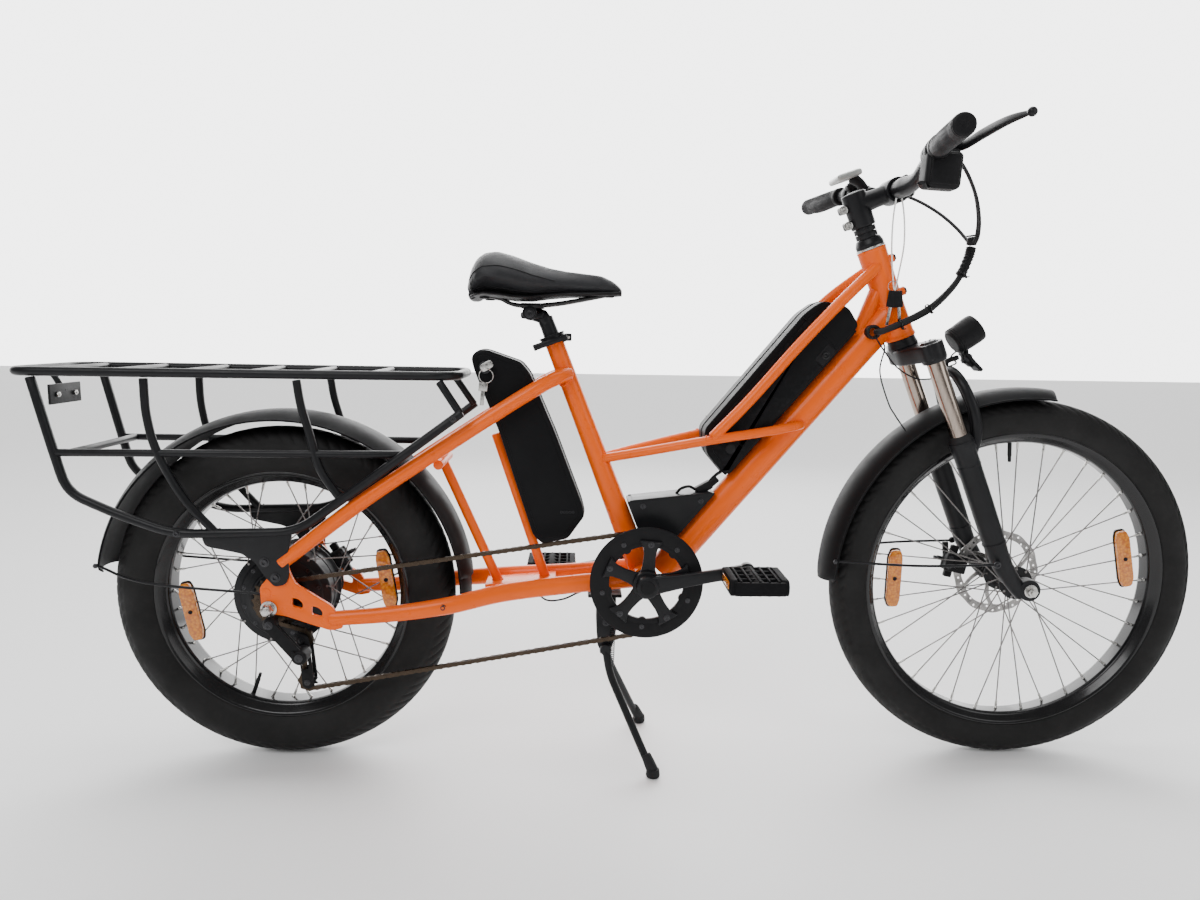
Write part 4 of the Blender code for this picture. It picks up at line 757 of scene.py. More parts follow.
def bead(target, start, direction, radius, size=0.0022, steps=56, spread=1.0):
    """A weld bead where a tube of the given radius meets the target shape."""
    direction = Vector(direction).normalized()
    tree = BVHTree.FromPolygons([tuple(p) for p in target[0]], target[1])
    across = Y_AXIS if abs(direction.dot(Y_AXIS)) < 0.9 else X_AXIS
    across = (across - direction * across.dot(direction)).normalized()
    other = direction.cross(across)
    path = []
    for k in range(steps):
        angle = 2 * pi * k / steps
        origin = Vector(start) + (across * cos(angle) * spread + other * sin(angle)) * radius
        hit = tree.ray_cast(origin, direction, 0.25)
        if hit[0] is not None:
            path.append(hit[0])
    if len(path) < steps * 0.6:
        return [], []
    fine = []
    sizes = []
    for k in range(len(path)):
        gap = (path[(k + 1) % len(path)] - path[k])
        for s in range(3):
            fine.append(path[k] + gap * s / 3)
            sizes.append(size * (1.0 + 0.13 * sin((k * 3 + s) * 2 * pi / 5)))
    return sweep(fine, sizes, 8, closed=True, side_hint=direction)


# ---------------------------------------------------------------- frame
SEAT_UP = (SEAT_TUBE_TOP - SEAT_TUBE_LOW).normalized()
SEAT_TUBE_LENGTH = (SEAT_TUBE_TOP - SEAT_TUBE_LOW).length
DOWN_TUBE_TOP = Vector((1.050, 0.0, 0.800))
DOWN_TUBE_LOW = Vector((0.662, 0.0, 0.338))
DOWN_ALONG = (DOWN_TUBE_TOP - DOWN_TUBE_LOW).normalized()
DOWN_OUT = Vector((-DOWN_ALONG.z, 0.0, DOWN_ALONG.x))


def seat_line(distance):
    return SEAT_TUBE_LOW + SEAT_UP * distance


def down_point(distance, out=0.0, side=0.0):
    return DOWN_TUBE_LOW + DOWN_ALONG * distance + DOWN_OUT * out + Y_AXIS * side


def evenly(a, b, count):
    a, b = Vector(a), Vector(b)
    return [a + (b - a) * k / (count - 1) for k in range(count)]


def brace_path(side, steps=8):
    points = [(0.556, 0.010, 0.541), (0.640, 0.036, 0.560), (0.747, 0.056, 0.583)]
    points += [(0.830, 0.052, 0.596), (0.884, 0.032, 0.604), (0.900, 0.020, 0.606)]
    return curve_through([mirrored(p, side) for p in points], steps)


HEAD_BOSSES = (0.559, 0.619)
DROPOUT = [(-0.014, 0.332), (0.016, 0.368), (0.030, 0.380), (0.037, 0.354), (0.045, 0.338), (0.104, 0.300),
           (0.122, 0.262), (0.100, 0.258), (0.026, 0.283), (-0.012, 0.288)]
SEAT_STAY = [(0.020, DROPOUT_Y - 0.002, 0.372), (0.163, 0.090, 0.4815), (0.344, 0.064, 0.603),
             (0.436, 0.053, 0.662), (0.474, 0.036, 0.682), (0.494, 0.012, 0.688)]
CHAIN_STAY = [(0.098, DROPOUT_Y - 0.001, 0.277), (0.200, 0.090, 0.284), (0.297, 0.083, 0.297),
              (0.384, 0.056, 0.311), (0.500, 0.040, 0.322), (0.626, 0.036, 0.334)]


def frame_tubes():
    lip = 0.004
    bore = STEERER_R + 0.0012
    profile = [(bore, HEAD_LOW), (HEAD_TUBE_R + 0.0015, HEAD_LOW), (HEAD_TUBE_R + 0.0015, HEAD_LOW + lip)]
    profile += [(HEAD_TUBE_R, HEAD_LOW + 2 * lip), (HEAD_TUBE_R - 0.001, 0.55),
                (HEAD_TUBE_R, HEAD_HIGH - lip)]
    profile += [(HEAD_TUBE_R + 0.001, HEAD_HIGH), (bore, HEAD_HIGH)]
    head = turn(soften(profile, 0.0012), STEER_BASE, STEER_UP, 64)
    bosses = [plug(0.0075, HEAD_TUBE_R - 0.005, HEAD_TUBE_R + 0.0065, steer(h), STEER_FORWARD, 32, 0.001)
              for h in HEAD_BOSSES]
    welds = [bead(head, steer(h, HEAD_TUBE_R + 0.02), -STEER_FORWARD, 0.0078, 0.0012) for h in HEAD_BOSSES]
    show(merge(head, *bosses, *welds), "head_tube_shell", "head_tube", "orange_paint", ["head_tube"])
    bolts = [bolt(steer(h, HEAD_TUBE_R + 0.0066), STEER_FORWARD, 0.0052, 0.0036) for h in HEAD_BOSSES]
    show(merge(*bolts), "head_boss_bolts", "head_tube", "bolt_steel")

    down = sweep(evenly(down_point(0.0, -0.0015), DOWN_TUBE_TOP - DOWN_OUT * 0.0015, 12),
                 DOWN_TUBE_R + 0.0020, 56, flatten=0.90, rounding=0.0)
    gusset = sweep(evenly(down_point(0.50, 0.006), steer(0.575, -0.012), 6),
                   [0.010, 0.0108, 0.0116, 0.0124, 0.0132, 0.014],
                   32, flatten=1.2)
    welds = [bead(head, down_point(0.40), DOWN_ALONG, DOWN_TUBE_R, 0.0024, 72, 0.94)]
    shell = plug(BB_SHELL_R, -BB_HALF, BB_HALF, BB, Y_AXIS, 64, 0.001)
    welds += [bead(shell, down_point(0.15), -DOWN_ALONG, DOWN_TUBE_R * 0.84, 0.0022, 72)]
    port = ring(0.0075, 0.0125, -0.0335, -0.018, Vector((1.013, 0.0, 0.767)), Y_AXIS, 40, 0.001)
    show(merge(down, gusset, *welds), "down_tube_shell", "down_tube", "orange_paint", ["down_tube"])
    show(port, "cable_grommet", "down_tube", "soft_black")

    heights = [0.0, 0.04, 0.09, 0.14, 0.19, 0.24, 0.30, 0.36, SEAT_TUBE_LENGTH - 0.004, SEAT_TUBE_LENGTH]
    radii = [0.0205, 0.0203, 0.0198, 0.0190, 0.0183, 0.0175, 0.0168, 0.0165, 0.0162, 0.0162]
    seat = sweep([seat_line(h) for h in heights], radii, 48, flatten=0.96, rounding=0.0)
    cover = ring(0.0095, 0.0185, -BB_HALF - 0.0025, -BB_HALF + 0.001, BB, Y_AXIS, 48)
    far_cover = ring(0.0095, 0.0185, BB_HALF - 0.001, BB_HALF + 0.0025, BB, Y_AXIS, 48)
    welds = [bead(shell, seat_line(0.10), -SEAT_UP, 0.0204, 0.0022, 64)]
    show(merge(seat, shell, *welds), "seat_tube_shell", "seat_tube", "orange_paint", ["seat_tube"])
    show(merge(cover, far_cover), "bottom_bracket_cups", "seat_tube", "bolt_steel")

    for name, side in SIDES.items():
        brace = sweep(brace_path(side), 0.0080, 28)
        welds = [bead(seat, brace_path(side)[14], brace_path(side)[2] - brace_path(side)[8], 0.0081, 0.0015)]
        welds += [bead(down, brace_path(side)[-14], brace_path(side)[-1] - brace_path(side)[-8], 0.0081,
                       0.0015)]
        node = "brace_tube_" + name
        show(merge(brace, *welds), node + "_shell", node, "orange_paint", [node])
        points = [steer(0.615, -0.004, 0.016), (0.955, 0.050, 0.823), (0.883, 0.056, 0.747)]
        points += [(0.800, 0.057, 0.650), (0.739, 0.056, 0.585)]
        path = curve_through([mirrored(p, side) for p in points], 10)
        tube = sweep(path, TOP_TUBE_R, 30)
        weld = bead(head, path[8], path[1] - path[5], TOP_TUBE_R + 0.0002, 0.0017)
        low = bead(brace, path[-6], path[-1] - path[-4], TOP_TUBE_R, 0.0015)
        node = "top_tube_" + name
        show(merge(tube, weld, low), node + "_shell", node, "orange_paint", [node])

        path = curve_through([mirrored(p, side) for p in SEAT_STAY], 8)
        stay = sweep(path, STAY_R, 36)
        stay_weld = bead(seat, path[-14], path[-1] - path[-5], STAY_R + 0.0003, 0.0019)
        path = curve_through([mirrored(p, side) for p in CHAIN_STAY], 8)
        radii = [0.0125 + 0.0035 * min(1.0, i / 24) for i in range(len(path))]
        chain_stay = sweep(path, radii, 36, flatten=0.8)
        edges = sorted((side * (DROPOUT_Y - 0.0035), side * (DROPOUT_Y + 0.0035)))
        windows = []
        for (cx, cz), size in (((0.047, 0.305), 0.0095), ((0.079, 0.291), 0.0095)):
            shape = [(cx - size, cz - size * 0.55), (cx - size * 0.9, cz + size),
                     (cx + size * 0.2, cz + size * 0.75),
                     (cx + size, cz - size * 0.1), (cx + size * 0.8, cz - size * 1.05)]
            windows.append(plate(rounded_outline(shape, 0.004), side * DROPOUT_Y - 0.02,
                                 side * DROPOUT_Y + 0.02, 0.0))
        slot = block((-0.004, side * DROPOUT_Y, REAR_WHEEL_R), (0.030, 0.03, 0.0132), bevel=0.0)
        dropout = cut(plate(rounded_outline(DROPOUT, 0.006), *edges, bevel=0.0), *windows, slot)
        dropout = bevelled(dropout, 0.0006, 2, 60.0)
        boss = plug(0.0085, -0.0008, 0.0008, (-0.004, side * (DROPOUT_Y + 0.0035), 0.322), Y_AXIS, 28)
        node = "rear_triangle_" + name
        show(merge(stay, chain_stay, dropout, stay_weld, boss), node + "_shell", node, "orange_paint", [node])
        rivet = Vector((0.287, side * 0.0955, 0.2965))
        show(bolt(rivet - Y_AXIS * side * 0.0008, Y_AXIS * side, 0.0042, 0.0022), "stay_boss_" + name,
             node, "bolt_steel")

    struts = [((0.273, 0.0, 0.538), (0.371, 0.0, 0.318)), ((0.368, 0.0, 0.582), (0.456, 0.0, 0.322))]
    tubes = [sweep(evenly(*ends, 4), 0.0085, 28) for ends in struts]
    top_rear = sweep(evenly((0.276, -0.0600, 0.534), (0.276, 0.0600, 0.534), 4), 0.0085, 28, side_hint=X_AXIS)
    low = block((0.413, 0.0, 0.3165), (0.125, 0.0540, 0.012), (1.0, 0.0, 0.09), bevel=0.002)
    welds = [bead(low, (0.350, 0.0, 0.365), (0.098, 0.0, -0.220), 0.0087, 0.0014)]
    welds += [bead(low, (0.4391, 0.0, 0.372), (0.088, 0.0, -0.260), 0.0087, 0.0014)]
    show(merge(*tubes, top_rear, low, *welds), "centre_strut_tubes", "centre_struts", "orange_paint",
         ["centre_struts"])


# ---------------------------------------------------------------- rack
def rack_half(x):
    share = (x - RACK_REAR_X) / (RACK_FRONT_X - RACK_REAR_X)
    return RACK_REAR_HALF + share * (RACK_FRONT_HALF - RACK_REAR_HALF)


def rack():
    corners = [(RACK_REAR_X, 0.0), (RACK_REAR_X, RACK_REAR_HALF), (RACK_FRONT_X, RACK_FRONT_HALF)]
    corners += [(RACK_FRONT_X, -RACK_FRONT_HALF), (RACK_REAR_X, -RACK_REAR_HALF), (RACK_REAR_X, 0.0)]
    path = rounded_path([(x, y, RACK_TOP_Z) for x, y in corners], 0.045, 12)[:-1]
    loop = sweep(path, RACK_R, 26, closed=True, side_hint=Z_AXIS)
    parts = [loop]
    for x in (-0.345, -0.238, -0.128, -0.026, 0.068, 0.172):
        reach = rack_half(x) - 0.002
        parts.append(sweep(evenly((x, -reach, RACK_TOP_Z), (x, reach, RACK_TOP_Z), 4), 0.0062, 22,
                           side_hint=X_AXIS))
        for side in (-1, 1):
            parts.append(bead(loop, (x, side * (reach - 0.03), RACK_TOP_Z), (0, side, 0), 0.0063, 0.0012, 40))
    plate_up = (0.2, 0.0, 1.0)
    tail = block((-0.368, 0.0, 0.643), (0.004, 0.090, 0.034), up=plate_up, bevel=0.0012)
    stem = sweep(curve_through([(-0.395, 0.0, 0.683), (-0.384, 0.0, 0.672), (-0.369, 0.0, 0.645)], 5), 0.0050,
                 18)
    parts += [tail, stem]
    show(merge(*parts), "rack_deck_tubes", "rack_deck", "black_satin", ["rack_deck"])
    studs, cups = [], []
    for y in (-0.025, 0.025):
        spot = Vector((-0.371, y, 0.6435))
        cups.append(ring(0.0042, 0.0088, 0.0, 0.0042, spot, (-1.0, 0.0, 0.2), 32, 0.0008))
        studs.append(bolt(spot, (-1.0, 0.0, 0.2), 0.0040, 0.0075, washer=False))
        front = Vector((-0.3655, y, 0.6425))
        studs.append(hex_nut(front, (1.0, 0.0, -0.2), 0.0048, 0.0036))
    show(merge(*studs), "tail_plate_bolts", "rack_deck", "steel")
    show(merge(*cups), "tail_plate_washers", "rack_deck", "lamp_mirror")

    top = RACK_TOP_Z - RACK_R - 0.0014
    for name, side in SIDES.items():
        def at(x, z, offset=0.0, side=side):
            return Vector((x, side * (rack_half(x) + offset), z))
        guard = [at(-0.359, top), at(-0.330, 0.552), at(-0.314, 0.490), at(-0.238, 0.454), at(-0.150, 0.4215)]
        guard += [at(0.050, 0.4265, 0.004), at(0.160, 0.5065, 0.008), at(0.322, 0.627, 0.010)]
        tube = sweep(rounded_path(guard, 0.034, 8), RACK_R, 26)
        rail = sweep(evenly(at(-0.329, 0.555), at(0.231, 0.556), 4), 0.0062, 22)
        posts = [[at(-0.184, top), at(-0.182, 0.615), at(-0.168, 0.555), at(-0.130, 0.480),
                  at(-0.082, 0.424)]]
        posts += [[at(0.056, top), at(0.062, 0.635), at(0.074, 0.590), at(0.090, 0.530),
                   at(0.124, 0.479, 0.004)]]
        bars = [sweep(curve_through(p, 7), 0.0068, 22) for p in posts]
        bars.append(sweep(evenly(at(0.284, top), at(0.319, 0.624, 0.006), 4), 0.0065, 22))
        foot = [(-0.104, 0.418), (-0.098, 0.402), (-0.040, 0.390), (-0.020, 0.377), (-0.004, 0.352)]
        foot += [(0.012, 0.334), (0.030, 0.338), (0.036, 0.352), (0.036, 0.395), (0.044, 0.426)]
        edges = sorted((side * (DROPOUT_Y + 0.0038), side * (DROPOUT_Y + 0.0078)))
        foot_plate = plate(rounded_outline(foot, 0.006), *edges, bevel=0.0006)
        parts = [tube, rail, *bars, foot_plate]
        for p in posts:
            line = curve_through(p, 7)
            parts.append(bead(tube, line[-8], line[-1] - line[-4], 0.0069, 0.0012, 40))
        if side > 0:
            reach = rack_half(-0.305)
            parts.append(sweep(evenly((-0.305, 0.004 - reach, 0.555), (-0.305, reach, 0.555), 4), 0.0062, 22,
                               side_hint=X_AXIS))
        node = "rack_side_" + name
        show(merge(*parts), node + "_tubes", node, "black_satin", [node])
        heads = [bolt(Vector((x, side * (DROPOUT_Y + 0.0078), z)), Y_AXIS * side, 0.0056, 0.0034)
                 for x, z in ((-0.003, 0.376), (0.014, 0.350))]
        heads.append(bolt(Vector((0.308, side * (rack_half(0.308) + 0.0165), 0.6175)), Y_AXIS * side, 0.0042,
                          0.0030))
        heads.append(bolt(Vector((-0.142, side * (rack_half(-0.142) + 0.0072), 0.4235)), Y_AXIS * side,
                          0.0040, 0.0026))
        show(merge(*heads), "rack_bolts_" + name, node, "bolt_steel")


# ---------------------------------------------------------------- wheels
REAR_REFLECTORS = [(-0.165, 0.262), (0.177, 0.323)]
FRONT_REFLECTORS = [(1.082, 0.330), (1.500, 0.369)]


def tyre(label, axle, outer, tyre_r, blocks, steps=576, across=58):
    """The tyre with its tread cut in: two rows of slanting grooves beside a ribbed middle."""
    middle = outer - tyre_r
    reach = 128.0
    verts = []
    for s in range(steps):
        theta = 2 * pi * s / steps
        spoke = X_AXIS * cos(theta) + Z_AXIS * sin(theta)
        for k in range(across):
            lean = -reach + 2 * reach * k / (across - 1)
            away = abs(lean)
            depth = 0.0
            phase = theta * blocks / (2 * pi)
            if 24.0 < away < 58.0:
                wave = (phase + away * 0.030) % 1.0
                depth = 0.0016 if wave < 0.24 else 0.0
            elif away <= 21.0:
                wave = (phase + lean * 0.020) % 1.0
                depth = 0.0010 if (wave < 0.16 or 8.0 < away < 11.0) else 0.0
            elif away <= 24.0:
                depth = 0.0017
            elif 60.0 < away < 63.0:
                depth = 0.0008
            elif 88.0 < away < 91.0:
                depth = -0.0006
            a = radians(lean)
            r = middle + (tyre_r - depth) * cos(a)
            verts.append(axle + spoke * r + Y_AXIS * (tyre_r - depth) * sin(a))
    node = label + "_tyre"
    show(loft(verts, across, looped=True), node + "_tread", node, "tyre_rubber", [node], 30.0)


def wheel(label, axle, outer, tyre_r, hub_r, flange_y, rim_half, reflectors, valve_angle):
    middle = outer - tyre_r
    rim_in = middle - 0.80 * tyre_r - RIM_DEPTH
    edge = middle + tyre_r * cos(radians(128)) - 0.0008
    half = rim_half
    profile = [(rim_in, -0.42 * half), (rim_in + 0.0020, -0.60 * half), (rim_in + 0.0045, -0.66 * half)]
    profile += [(edge - 0.0055, -half * 0.98), (edge - 0.0012, -half * 1.03), (edge + 0.0008, -half * 1.01)]
    profile += [(edge + 0.0005, -half * 0.92)]
    profile += [(r, -y) for r, y in reversed(profile)]
    rim = turn(soften(profile, 0.0012, 3), axle, Y_AXIS, 180)
    node = label + "_rim"
    show(rim, node + "_band", node, "black_gloss", [node], 30.0)

    def at(radius, angle, y):
        return axle + Vector((radius * cos(angle), y, radius * sin(angle)))

    spokes, nipples, heads = [], [], []
    for k in range(SPOKES):
        side = 1 if k % 2 else -1
        lean = radians(34) * (1 if (k // 2) % 2 else -1)
        angle = 2 * pi * k / SPOKES
        outside = 0.0030 if lean > 0 else -0.0030
        root = at(hub_r - 0.0035, angle + lean, side * (flange_y + outside))
        bend = at(hub_r - 0.0005, angle + lean * 0.99, side * (flange_y + outside * 0.9))
        tip = at(rim_in + 0.0010, angle, side * 0.0040)
        spokes.append(sweep([root, bend, bend + (tip - bend) * 0.5, tip], 0.00115, 10))
        heads.append(plug(0.0022, -0.0009, 0.0009, root, Y_AXIS, 12, 0.0003))
        line = (tip - bend).normalized()
        nipples.append(turn(soften([(0.0, -0.0155), (0.0017, -0.0155), (0.0021, -0.0135), (0.0021, -0.004),
                                    (0.0031, -0.0015), (0.0031, 0.0012), (0.0, 0.0012)], 0.0003, 2), tip,
                            line, 12))
    node = label + "_spokes"
    show(merge(*spokes, *heads), node + "_laced", node, "spoke_steel", [node])
    show(merge(*nipples), node + "_nipples", node, "steel")

    lozenges, clips = [], []
    for k, (x, z) in enumerate(reflectors):
        place = Vector((x, 0.0, z)) - axle
        out = Vector((place.x, 0.0, place.z)).normalized()
        around = out.cross(Y_AXIS)
        y = -0.0125 - 0.006 * (1 if label == "rear" else 0.3)
        centre = axle + Vector((place.x, y, place.z))
        outline = [(-0.0085, -0.052), (0.0070, -0.052), (0.0122, -0.038), (0.0122, 0.038), (0.0070, 0.052),
                   (-0.0085, 0.052), (-0.0122, 0.038), (-0.0122, -0.038)]
        outline = rounded_outline(outline, 0.005)
        slab = plate(outline, -0.0045, 0.0045, 0.0012)
        lozenges.append(placed(slab, centre, out, Y_AXIS, around))
        back = plate(rounded_outline([(u * 1.08, w * 1.05) for u, w in outline], 0.002, 2), -0.0012, 0.0012,
                     0.0)
        clips.append(([centre + out * p.x + Y_AXIS * (p.y + 0.0050) + around * p.z for p in back[0]],
                      back[1]))
        clips.append(block(centre + Y_AXIS * 0.0070, (0.010, 0.006, 0.034), out, up=around))
        clips.append(plug(0.0036, -0.0060, -0.0040, centre, Y_AXIS, 20))
    show(merge(*lozenges), label + "_reflectors", node, "amber")
    show(merge(*clips), label + "_reflector_clips", node, "black_plastic")
    out = radial(valve_angle)
    profile = [(0.0, -0.036), (0.0026, -0.036), (0.0030, -0.032), (0.0030, -0.026), (0.0036, -0.024)]
    profile += [(0.0036, 0.006), (0.0, 0.006)]
    stem = turn(soften(profile, 0.0004, 2), axle + out * rim_in, out, 20)
    show(stem, label + "_valve", label + "_rim", "soft_black")


def rotor(label, axle, radius, y, bore):
    """A brake disc with a wavy edge, rows of small holes and curved arms."""
    def at(r, angle):
        return (axle.x + r * cos(angle), axle.z + r * sin(angle))
    edge = [at(radius - 0.0010 + 0.0010 * cos(12 * 2 * pi * k / 288), 2 * pi * k / 288) for k in range(288)]
    disc = plate(edge, axle.y + y - 0.0009, axle.y + y + 0.0009, 0.0)
    low, high = axle.y + y - 0.005, axle.y + y + 0.005
    cutters = [plug(bore, low, high, (axle.x, 0.0, axle.z), Y_AXIS, 48, 0.0)]
    inner, outer = bore + 0.0120, radius - 0.0170
    for k in range(6):
        lines = []
        for start, grow in ((radians(60 * k), 1), (radians(60 * (k + 1)), -1)):
            line = []
            for s in range(9):
                share = s / 8
                r = inner + (outer - inner) * share
                line.append(at(r, start + 0.45 * share + grow * 0.0042 / r))
            lines.append(line)
        arc = []
        for s in range(1, 8):
            share = s / 8
            first = radians(60 * k) + 0.45 + 0.0042 / outer
            last = radians(60 * (k + 1)) + 0.45 - 0.0042 / outer
            wave = outer + 0.0030 * sin(pi * share)
            arc.append(at(wave, first + (last - first) * share))
        cutters.append(plate(rounded_outline(lines[0] + arc + list(reversed(lines[1])), 0.0015, 2), low, high,
                             0.0))
    for k in range(36):
        angle = 2 * pi * k / 36
        r = radius - (0.0050, 0.0085, 0.0120)[k % 3]
        x, z = at(r, angle)
        cutters.append(plug(0.0021, low, high, (x, 0.0, z), Y_AXIS, 12, 0.0))
    made = bevelled(cut(disc, *cutters), 0.0002, 1, 60.0)
    node = label + "_rotor"
    show(made, node + "_disc", node, "rotor_steel", [node])
    bolts = []
    for k in range(6):
        x, z = at(bore + 0.0055, radians(60 * k + 12))
        bolts.append(bolt((x, axle.y + y + 0.0009, z), Y_AXIS, 0.0032, 0.0020))
    show(merge(*bolts), node + "_bolts", node, "bolt_steel")


def hubs():
    profile = [(0.0065, -0.0495), (0.0180, -0.0495), (0.0180, -0.0525), (0.0240, -0.0525), (0.0240, -0.0500)]
    profile += [(0.034, -0.0495), (0.044, -0.0465), (0.046, -0.0480), (0.049, -0.0480), (0.051, -0.0440)]
    profile += [(0.062, -0.0400), (0.0700, -0.0385), (0.0720, -0.0360), (0.083, -0.0345), (0.0845, -0.0330)]
    profile += [(0.0845, -0.0305), (0.0800, -0.0280), (0.0790, -0.0240), (0.0790, -0.0120), (0.0775, -0.0110)]
    profile += [(0.0775, 0.0110), (0.0790, 0.0120), (0.0790, 0.0240), (0.0800, 0.0280), (0.0845, 0.0305)]
    profile += [(0.0845, 0.0330), (0.083, 0.0345), (0.0720, 0.0360), (0.0700, 0.0385), (0.060, 0.0400)]
    profile += [(0.040, 0.0445), (0.026, 0.047), (0.026, 0.0605), (0.0065, 0.0605)]
    motor = turn(soften(profile, 0.0008, 2), REAR_AXLE, Y_AXIS, 144)
    show(motor, "hub_motor_drum", "hub_motor", "black_satin", ["hub_motor"], 28.0)
    bolts = []
    for side in (-1, 1):
        for k in range(12):
            angle = 2 * pi * (k + 0.5) / 12
            spot = REAR_AXLE + Vector((0.0660 * cos(angle), side * 0.0392, 0.0660 * sin(angle)))
            bolts.append(bolt(spot, Y_AXIS * side, 0.0027, 0.0018))
    show(merge(*bolts), "hub_motor_bolts", "hub_motor", "bolt_steel")
    profile = [(0.0056, -0.050), (0.011, -0.050), (0.012, -0.0480), (0.0135, -0.036), (0.0160, -0.0335)]
    profile += [(0.029, -0.0312), (0.0300, -0.0300), (0.0300, -0.0285), (0.0230, -0.0270), (0.0170, -0.0225)]
    profile += [(0.0155, -0.0100), (0.0155, 0.0100), (0.0170, 0.0205), (0.0230, 0.0255), (0.0300, 0.0275)]
    profile += [(0.0300, 0.0300), (0.0290, 0.0312), (0.020, 0.0335), (0.020, 0.0420), (0.0056, 0.0420)]
    show(turn(soften(profile, 0.0006, 2), FRONT_AXLE, Y_AXIS, 96), "front_hub_shell", "front_hub",
         "black_satin",
         ["front_hub"], 28.0)
    rod = plug(0.0060, -0.118, 0.118, REAR_AXLE, Y_AXIS, 32, 0.0010)
    parts = [rod]
    for side in (-1, 1):
        face = REAR_AXLE + Y_AXIS * side * (DROPOUT_Y + 0.0045)
        parts.append(ring(0.0062, 0.0135, 0.0, 0.0016, face, Y_AXIS * side, 40))
        parts.append(hex_nut(face + Y_AXIS * side * 0.0016, Y_AXIS * side, 0.0105, 0.0120))
        cap = [(0.0, 0.0), (0.0092, 0.0), (0.0092, 0.002), (0.0065, 0.0065), (0.0, 0.0075)]
        parts.append(turn(soften(cap, 0.0006, 2), face + Y_AXIS * side * 0.0125, Y_AXIS * side, 28))
    show(merge(*parts), "rear_axle_rod", "rear_axle", "steel", ["rear_axle"])


def toothed(centre, teeth, y, thick, hole=0.010, height=0.0045):
    """A sprocket: its outline follows the chain's rollers."""
    pitch_r = 0.0127 / (2 * sin(pi / teeth))
    outline = []
    for k in range(teeth):
        base = 2 * pi * k / teeth
        for share, lift in ((0.0, -0.0034), (0.14, -0.0031), (0.28, -0.0008), (0.42, height * 0.45),
                            (0.50, height * 0.62), (0.58, height * 0.45), (0.72, -0.0008), (0.86, -0.0031)):
            angle = base + share * 2 * pi / teeth
            r = pitch_r + lift
            outline.append((centre.x + r * cos(angle), centre.z + r * sin(angle)))
    body = plate(outline, y - thick / 2, y + thick / 2, 0.0)
    return cut(body, plug(hole, y - 0.01, y + 0.01, (centre.x, 0.0, centre.z), Y_AXIS, 40,
                          0.0)) if hole else body


def freewheel():
    stack = []
    for y, teeth in ((-0.0875, 11), (-0.0828, 12), (-0.0780, 13), (-0.0730, 15), (-0.0680, 17), (-0.0625, 19),
                     (-0.0575, 21)):
        stack.append(toothed(REAR_AXLE, teeth, y, 0.0019, hole=0.0))
    core = [(0.0068, -0.0905), (0.0130, -0.0905), (0.0150, -0.0890), (0.0185, -0.0880), (0.0195, -0.0800)]
    core += [(0.0235, -0.0700), (0.0270, -0.0600), (0.0290, -0.0530), (0.0068, -0.0505)]
    body = turn(soften(core, 0.0006, 2), REAR_AXLE, Y_AXIS, 64)
    show(merge(body, *stack), "freewheel_cogs", "freewheel", "chain_steel", ["freewheel"], 26.0)


# ---------------------------------------------------------------- fork and mudguards
def leg_base(side):
    return steer(0.0, LEG_FORWARD, side * LEG_Y)


